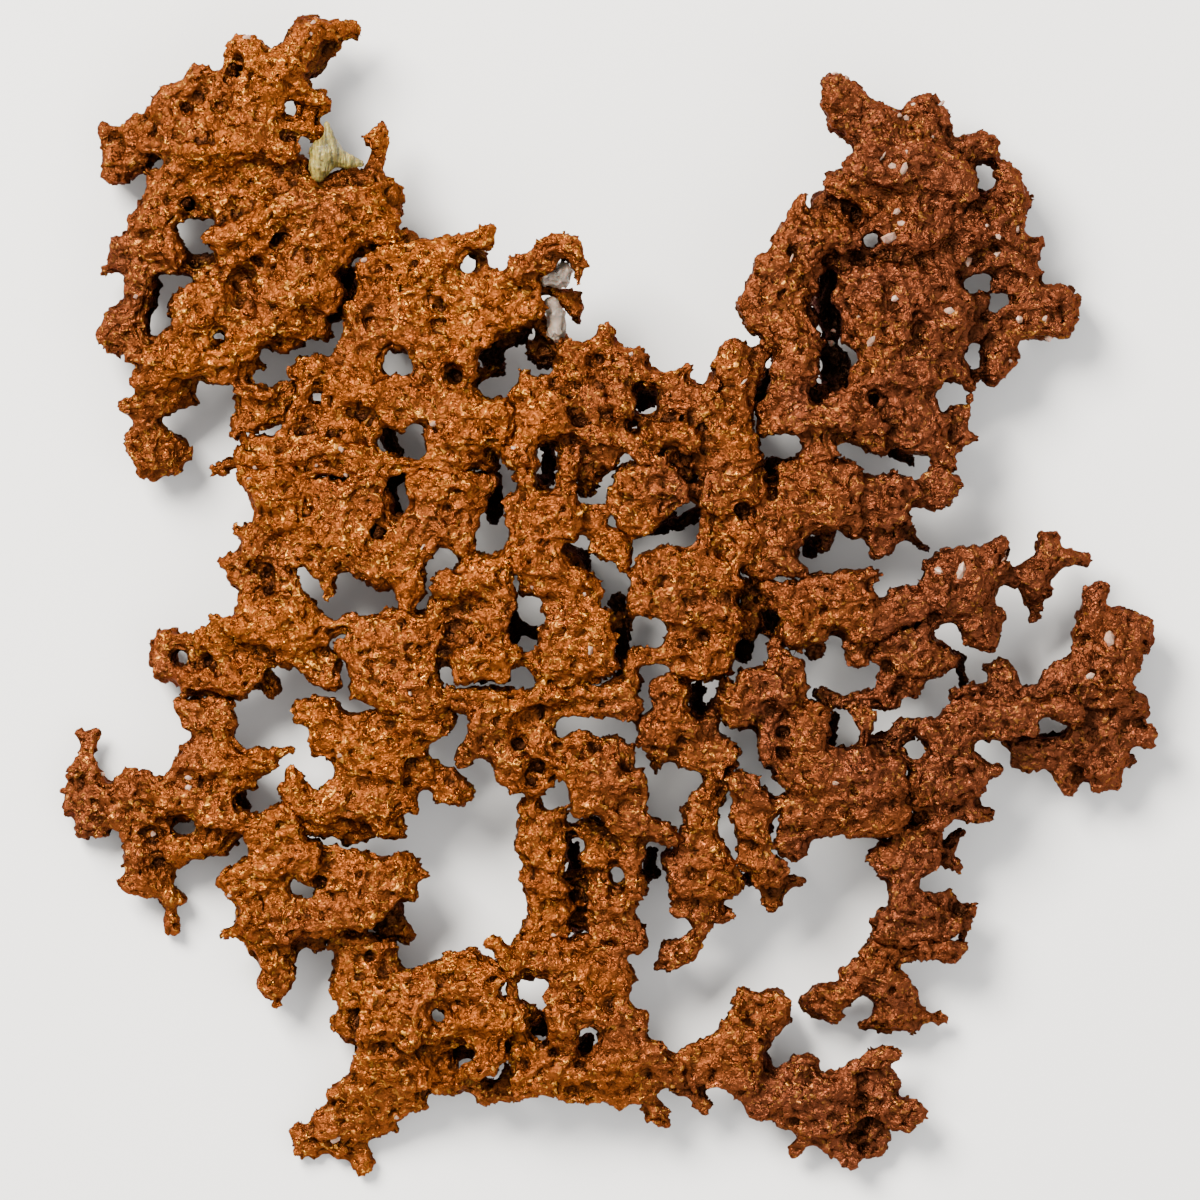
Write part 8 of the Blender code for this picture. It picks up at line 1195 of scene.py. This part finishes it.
    # Each face leans its own way.
    bump = addNode(
        tree,
        "ShaderNodeBump",
        {"Height": wrinkles, "Strength": 1.0, "Distance": look["wrinkleHeight"] * mm},
    )
    lean = addNode(
        tree, "ShaderNodeVectorMath", {0: cells.outputs["Color"], 1: (0.5, 0.5, 0.5)}, operation="SUBTRACT"
    )
    lean = addNode(
        tree, "ShaderNodeVectorMath", {0: lean.outputs[0], "Scale": look["cellTilt"]}, operation="SCALE"
    )
    leaning = addNode(tree, "ShaderNodeVectorMath", {0: bump.outputs[0], 1: lean.outputs[0]}, operation="ADD")
    leaning = addNode(tree, "ShaderNodeVectorMath", {0: leaning.outputs[0]}, operation="NORMALIZE")
    tree.links.new(leaning.outputs[0], shader.inputs["Normal"])
    return material


def spreadMost(field, reach):
    # Each cell takes the highest value within reach of it, and then the mean of its surroundings.
    for axis in (0, 1):
        field = np.max([np.roll(field, step, axis) for step in range(-reach, reach + 1)], axis=0)
    for axis in (0, 1):
        field = np.mean([np.roll(field, step, axis) for step in range(-reach, reach + 1)], axis=0)
    return field


def markBuried(pieces, cell=0.5 * mm, reach=3):
    # Stores how far each point lies below the growth within reach of its cell, which sets the painted shadow.
    # What faces down isn't counted.
    low, high = (np.array(corner) for corner in cadBox)
    margin = 2 * reach + 2
    size = np.ceil((high[:2] - low[:2]) / cell).astype(int) + 2 * margin
    top = np.zeros(size)
    places = [pointsOf(piece) for piece in pieces]
    cells = [((points[:, :2] - low[:2]) / cell).astype(int) + margin for points in places]
    for points, at in zip(places, cells):
        np.maximum.at(top, (at[:, 0], at[:, 1]), points[:, 2])
    top = spreadMost(top, reach)
    for piece, points, at in zip(pieces, places, cells):
        facing = np.empty(len(points) * 3, np.float32)
        piece.data.vertex_normals.foreach_get("vector", facing)
        upward = np.clip((facing.reshape(-1, 3)[:, 2] + 0.5) / 0.5, 0, 1)
        depth = (top[at[:, 0], at[:, 1]] - points[:, 2]) * upward
        mark = piece.data.attributes.new("buried", "FLOAT", "POINT")
        mark.data.foreach_set("value", depth.astype(np.float32))


hackle = hackleTree()
copper = tarnishedCopper(copperLook)
chance = np.random.default_rng(copperShape["seed"])
limbPieces = []
for name, text in limbs.items():
    limb = knobbly(name + "_growth", text, copperShape, chance)
    hackled(limb, hackle, copperShape, copper)
    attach(limb, "root")
    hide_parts(name)
    limbPieces.append(limb)
markBuried(limbPieces)
print("copper grown:", sum(len(limb.data.polygons) for limb in limbPieces), "faces")

crustShape = copperShape | {
    "wobble": 0.05,
    "wartsPerKnob": 1,
    "voxel": 0.12,
    "lumpHeight": 0.15,
    "facetSize": 0.5,
    "facetHeight": 0.05,
    "grainSize": 0.3,
    "grainHeight": 0.1,
}
crustLook = {
    "pale": "#938139",
    "olive": "#403a17",
    "threadWidth": 0.3,  # mm
    "threadTurn": 0.35,  # radians
    "threadStretch": (1.0, 0.15, 0.3),
    "threadHeight": 0.3,  # mm
    "roughness": 0.45,
    "glow": 0.35,
    "glowReach": 0.6,  # mm
}


def silkyCrust(look):
    # A green secondary mineral in fine silky fibres: a soft sheen along threads that run out to its tips.
    material = bpy.data.materials.new("silkyGreenCrust")
    material.use_nodes = True
    tree = material.node_tree
    shader = tree.nodes["Principled BSDF"]
    shader.inputs["Roughness"].default_value = look["roughness"]
    shader.inputs["Subsurface Weight"].default_value = look["glow"]
    shader.inputs["Subsurface Scale"].default_value = look["glowReach"] * mm
    place = addNode(tree, "ShaderNodeTexCoord").outputs["Object"]
    along = addNode(
        tree,
        "ShaderNodeMapping",
        {"Vector": place, "Rotation": (0.0, 0.0, look["threadTurn"]), "Scale": look["threadStretch"]},
    )
    scale = 1 / (look["threadWidth"] * mm)
    threads = addNode(
        tree,
        "ShaderNodeTexNoise",
        {"Vector": along.outputs[0], "Scale": scale, "Detail": 3.0, "Distortion": 0.4},
    ).outputs[0]
    share = addNode(tree, "ShaderNodeMapRange", {0: threads, 1: 0.35, 2: 0.65}).outputs[0]
    shades = {0: share, 6: linear(look["olive"]), 7: linear(look["pale"])}
    colour = addNode(tree, "ShaderNodeMix", shades, data_type="RGBA")
    tree.links.new(colour.outputs[2], shader.inputs["Base Color"])
    bump = addNode(
        tree, "ShaderNodeBump", {"Height": threads, "Strength": 1.0, "Distance": look["threadHeight"] * mm}
    )
    tree.links.new(bump.outputs[0], shader.inputs["Normal"])
    return material


calciteShape = copperShape | {
    "wobble": 0.1,
    "wartsPerKnob": 2,
    "voxel": 0.14,
    "lumpHeight": 0.2,
    "facetSize": 0.9,
    "facetHeight": 0.22,
    "grainSize": 0.3,
    "grainHeight": 0.08,
}
calciteLook = {
    "cloudy": "#958170",
    "grey": "#695d52",
    "cloudSize": 1.43,  # mm
    "cloudHeight": 0.2,  # mm
    "roughness": 0.4,
    "glow": 0.5,
    "glowReach": 0.8,  # mm
}
grainLook = calciteLook | {"cloudy": "#b08d78", "grey": "#7a5a46"}


def cloudyCalcite(look):
    # Massive calcite: white, cloudy, softly lit from inside, with a waxy gloss on its broken faces.
    material = bpy.data.materials.new("cloudyCalcite")
    material.use_nodes = True
    tree = material.node_tree
    shader = tree.nodes["Principled BSDF"]
    shader.inputs["Roughness"].default_value = look["roughness"]
    shader.inputs["Subsurface Weight"].default_value = look["glow"]
    shader.inputs["Subsurface Scale"].default_value = look["glowReach"] * mm
    place = addNode(tree, "ShaderNodeTexCoord").outputs["Object"]
    scale = 1 / (look["cloudSize"] * mm)
    clouds = addNode(tree, "ShaderNodeTexNoise", {"Vector": place, "Scale": scale, "Detail": 4.0}).outputs[0]
    share = addNode(tree, "ShaderNodeMapRange", {0: clouds, 1: 0.35, 2: 0.65}).outputs[0]
    shades = {0: share, 6: linear(look["grey"]), 7: linear(look["cloudy"])}
    colour = addNode(tree, "ShaderNodeMix", shades, data_type="RGBA")
    tree.links.new(colour.outputs[2], shader.inputs["Base Color"])
    bump = addNode(
        tree, "ShaderNodeBump", {"Height": clouds, "Strength": 0.3, "Distance": look["cloudHeight"] * mm}
    )
    tree.links.new(bump.outputs[0], shader.inputs["Normal"])
    return material


crustMaterial = silkyCrust(crustLook)
calciteMaterial = cloudyCalcite(calciteLook)
grainMaterial = cloudyCalcite(grainLook)  # stained by the copper round it
for name, text in minerals.items():
    isCrust = "crust" in name
    shape = crustShape if isCrust else calciteShape
    lump = knobbly(name + "_lump", text, shape, chance)
    hackled(lump, hackle, shape, crustMaterial if isCrust else calciteMaterial)
    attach(lump, "root")
    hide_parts(name)
print("other minerals made")

# Small pale grains that are stuck in the copper: x, y, half length, half width in mm and turn in degrees.
paleGrains = """
22.5 51.9 .35 .3 0 | 23.7 51.5 .2 .2 0 | 28.9 47.7 .25 .25 0 | 29.6 47.5 .35 .3 20 | 33.1 48.9 .4 .25 40
30.3 48.8 .3 .2 0 | 29.6 44.1 .25 .25 0 | 32.2 45.6 .2 .2 0 | 28.2 42.6 .4 .35 30 | 29.3 42.3 .9 .35 80
27.2 43.6 .7 .15 60 | 28.6 38.2 .4 .35 0 | 29.1 37 .5 .4 10 | 27.9 35.6 .8 .7 0 | 40.6 36.4 .45 .4 0
38.8 35.7 .35 .3 0 | 37.6 36.8 .2 .2 0 | 38.6 33.9 .5 .4 20 | 35.7 33.2 .6 .5 40 | 18.2 33.6 .7 .12 70
28.4 29.5 .4 .35 0 | 33.8 28.3 .5 .4 0 | 24.8 27.7 .25 .2 0 | 26.1 25.3 .7 .35 70 | 22.2 25.2 .45 .4 0
22.4 26.4 .3 .3 0 | 40.9 27.5 .5 .4 0 | 43.4 27.6 .4 .35 0 | 43.7 25.7 .6 .45 30 | 40 23.4 .3 .3 0
-24.2 33.4 .3 .3 0 | -26.5 14.6 .35 .3 0 | -35 12.8 .3 .25 0 | -35.5 11.7 .3 .3 0 | -17.3 17.1 .4 .3 0
-28.9 13 .2 .2 0 | -26 12.1 .3 .25 0 | -9.4 14.7 .25 .25 0 | 2.3 24 .3 .25 0 | .5 12.3 .2 .2 0
13.4 21.2 .6 .12 50 | -46.9 29.8 .25 .2 0 | -29.2 57 .5 .25 30 | -29.5 55.8 .25 .2 0 | -35.8 55.5 .5 .25 10
32.8 2.5 .45 .4 0 | 35 2.5 .9 .5 80 | 39.2 3.7 .6 .12 30 | 49.8 -4.1 1.2 .6 80 | 47.9 -7.9 .5 .3 20
22.5 -18.5 .4 .3 0 | -1.8 -5.4 .55 .5 0 | -2.3 .2 .2 .2 0 | -7.5 .9 .2 .2 0 | -18.3 5 .5 .12 60
-19.6 -9.7 .3 .25 0 | -41.7 -18 .5 .3 0 | -41.7 -19 .4 .3 0 | -26.6 -15.8 .3 .25 0 | -27.1 -54 .6 .4 40
-21 -51.8 .3 .25 0 | -37.6 -29.7 .25 .2 0 | -5.4 -33.6 .25 .2 0 | -50.3 -17.7 .3 .25 0 | -45.2 -23.6 .5 .4 0
"""
grainShape = {
    "sunk": 0.45,  # how much of a grain's width is in the copper
    "unevenness": 0.32,
    "flat": 0.7,  # its height, in half widths
    "roundness": 1,
}


def surfaceAt(x, y):
    # The highest copper under a point of the plan, and the way it faces.
    best = None
    for limb in limbPieces:
        hit, place, normal, _ = limb.ray_cast(Vector((x, y, 2 * cadBox[1][2])), Vector((0, 0, -1)))
        if hit and (best is None or place.z > best[0].z):
            best = (place, normal)
    return best


def paleGrainMesh(text, shape, chance):
    points, faces = ballOf(shape["roundness"])
    allPoints, allFaces, count = [], [], 0
    for grain in text.replace("\n", " | ").split("|"):
        if not grain.strip():
            continue
        x, y, long, wide, turn = (float(value) for value in grain.split())
        x, y = x - copperShape["middle"][0], y - copperShape["middle"][1]
        found = surfaceAt(x * mm, y * mm)
        if found is None:
            continue
        place, normal = found
        rough = 1 + chance.uniform(-1, 1, (len(points), 1)) * shape["unevenness"]
        local = points * rough * np.array([long, wide, wide * shape["flat"]])
        angle = math.radians(turn)
        spin = np.array(
            [[math.cos(angle), -math.sin(angle), 0], [math.sin(angle), math.cos(angle), 0], [0, 0, 1]]
        )
        tilt = np.array(Vector((0, 0, 1)).rotation_difference(normal).to_matrix())
        centre = np.array(place) + np.array(normal) * wide * mm * (0.5 - shape["sunk"])
        allPoints.append(local @ spin.T @ tilt.T * mm + centre)
        allFaces.append(faces + count)
        count += len(points)
    return np.concatenate(allPoints), np.concatenate(allFaces)


grains = meshOf("pale_grains", *paleGrainMesh(paleGrains, grainShape, chance))
grains.data.materials.append(grainMaterial)
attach(grains, "root")
print("pale grains set")

stage = {
    "floorColour": "#f4f2ef",
    "floorSide": 3.0,  # m
    "floorRoughness": 0.9,
    "skyStrength": 1.0,
    "keyPlace": (-0.5, 0.55, 0.75),
    "keySide": 0.5,
    "keyPower": 42.0,
    "keyColour": (1.0, 0.97, 0.92),
    "fillPlace": (0.7, -0.5, 0.9),
    "fillSide": 1.0,
    "fillPower": 8.0,
    "fillColour": (0.95, 0.97, 1.0),
    "cameraOver": (-0.75, -0.3),  # mm
    "cameraHeight": 2.0,
    "fieldAt": 0.01,  # m, the height at which the view is as wide as the next value says
    "fieldWidth": 0.119,
    "farthest": 10.0,
}


def areaLight(name, place, side, power, colour):
    data = bpy.data.lights.new(name, "AREA")
    data.shape = "SQUARE"
    data.size = side
    data.energy = power
    data.color = colour
    light = bpy.data.objects.new(name, data)
    light.location = place
    light.rotation_euler = Vector(place).to_track_quat("Z", "Y").to_euler()
    bpy.context.scene.collection.objects.link(light)


half = stage["floorSide"] / 2
floor = meshOf(
    "pale_floor",
    np.array([(-half, -half, 0), (half, -half, 0), (half, half, 0), (-half, half, 0)], float),
    np.array([(0, 1, 2, 3)]),
)
floorPaint = bpy.data.materials.new("paleMattBoard")
floorPaint.use_nodes = True
paint = floorPaint.node_tree.nodes["Principled BSDF"].inputs
paint["Base Color"].default_value = linear(stage["floorColour"])
paint["Roughness"].default_value = stage["floorRoughness"]
floor.data.materials.append(floorPaint)

world = bpy.data.worlds.new("softSky")
world.use_nodes = True
sky = world.node_tree.nodes["Background"].inputs
sky["Color"].default_value = (1.0, 1.0, 1.0, 1.0)
sky["Strength"].default_value = stage["skyStrength"]
bpy.context.scene.world = world
for name in ("key", "fill"):
    areaLight(name, *(stage[name + quality] for quality in ("Place", "Side", "Power", "Colour")))

camera = bpy.data.objects.new("camera", bpy.data.cameras.new("camera"))
x, y = stage["cameraOver"]
camera.location = (x * mm, y * mm, stage["cameraHeight"])
reach = stage["cameraHeight"] - stage["fieldAt"]
camera.data.lens = camera.data.sensor_width * reach / stage["fieldWidth"]
camera.data.clip_end = stage["farthest"]
bpy.context.scene.collection.objects.link(camera)
bpy.context.scene.camera = camera
print("stage set")
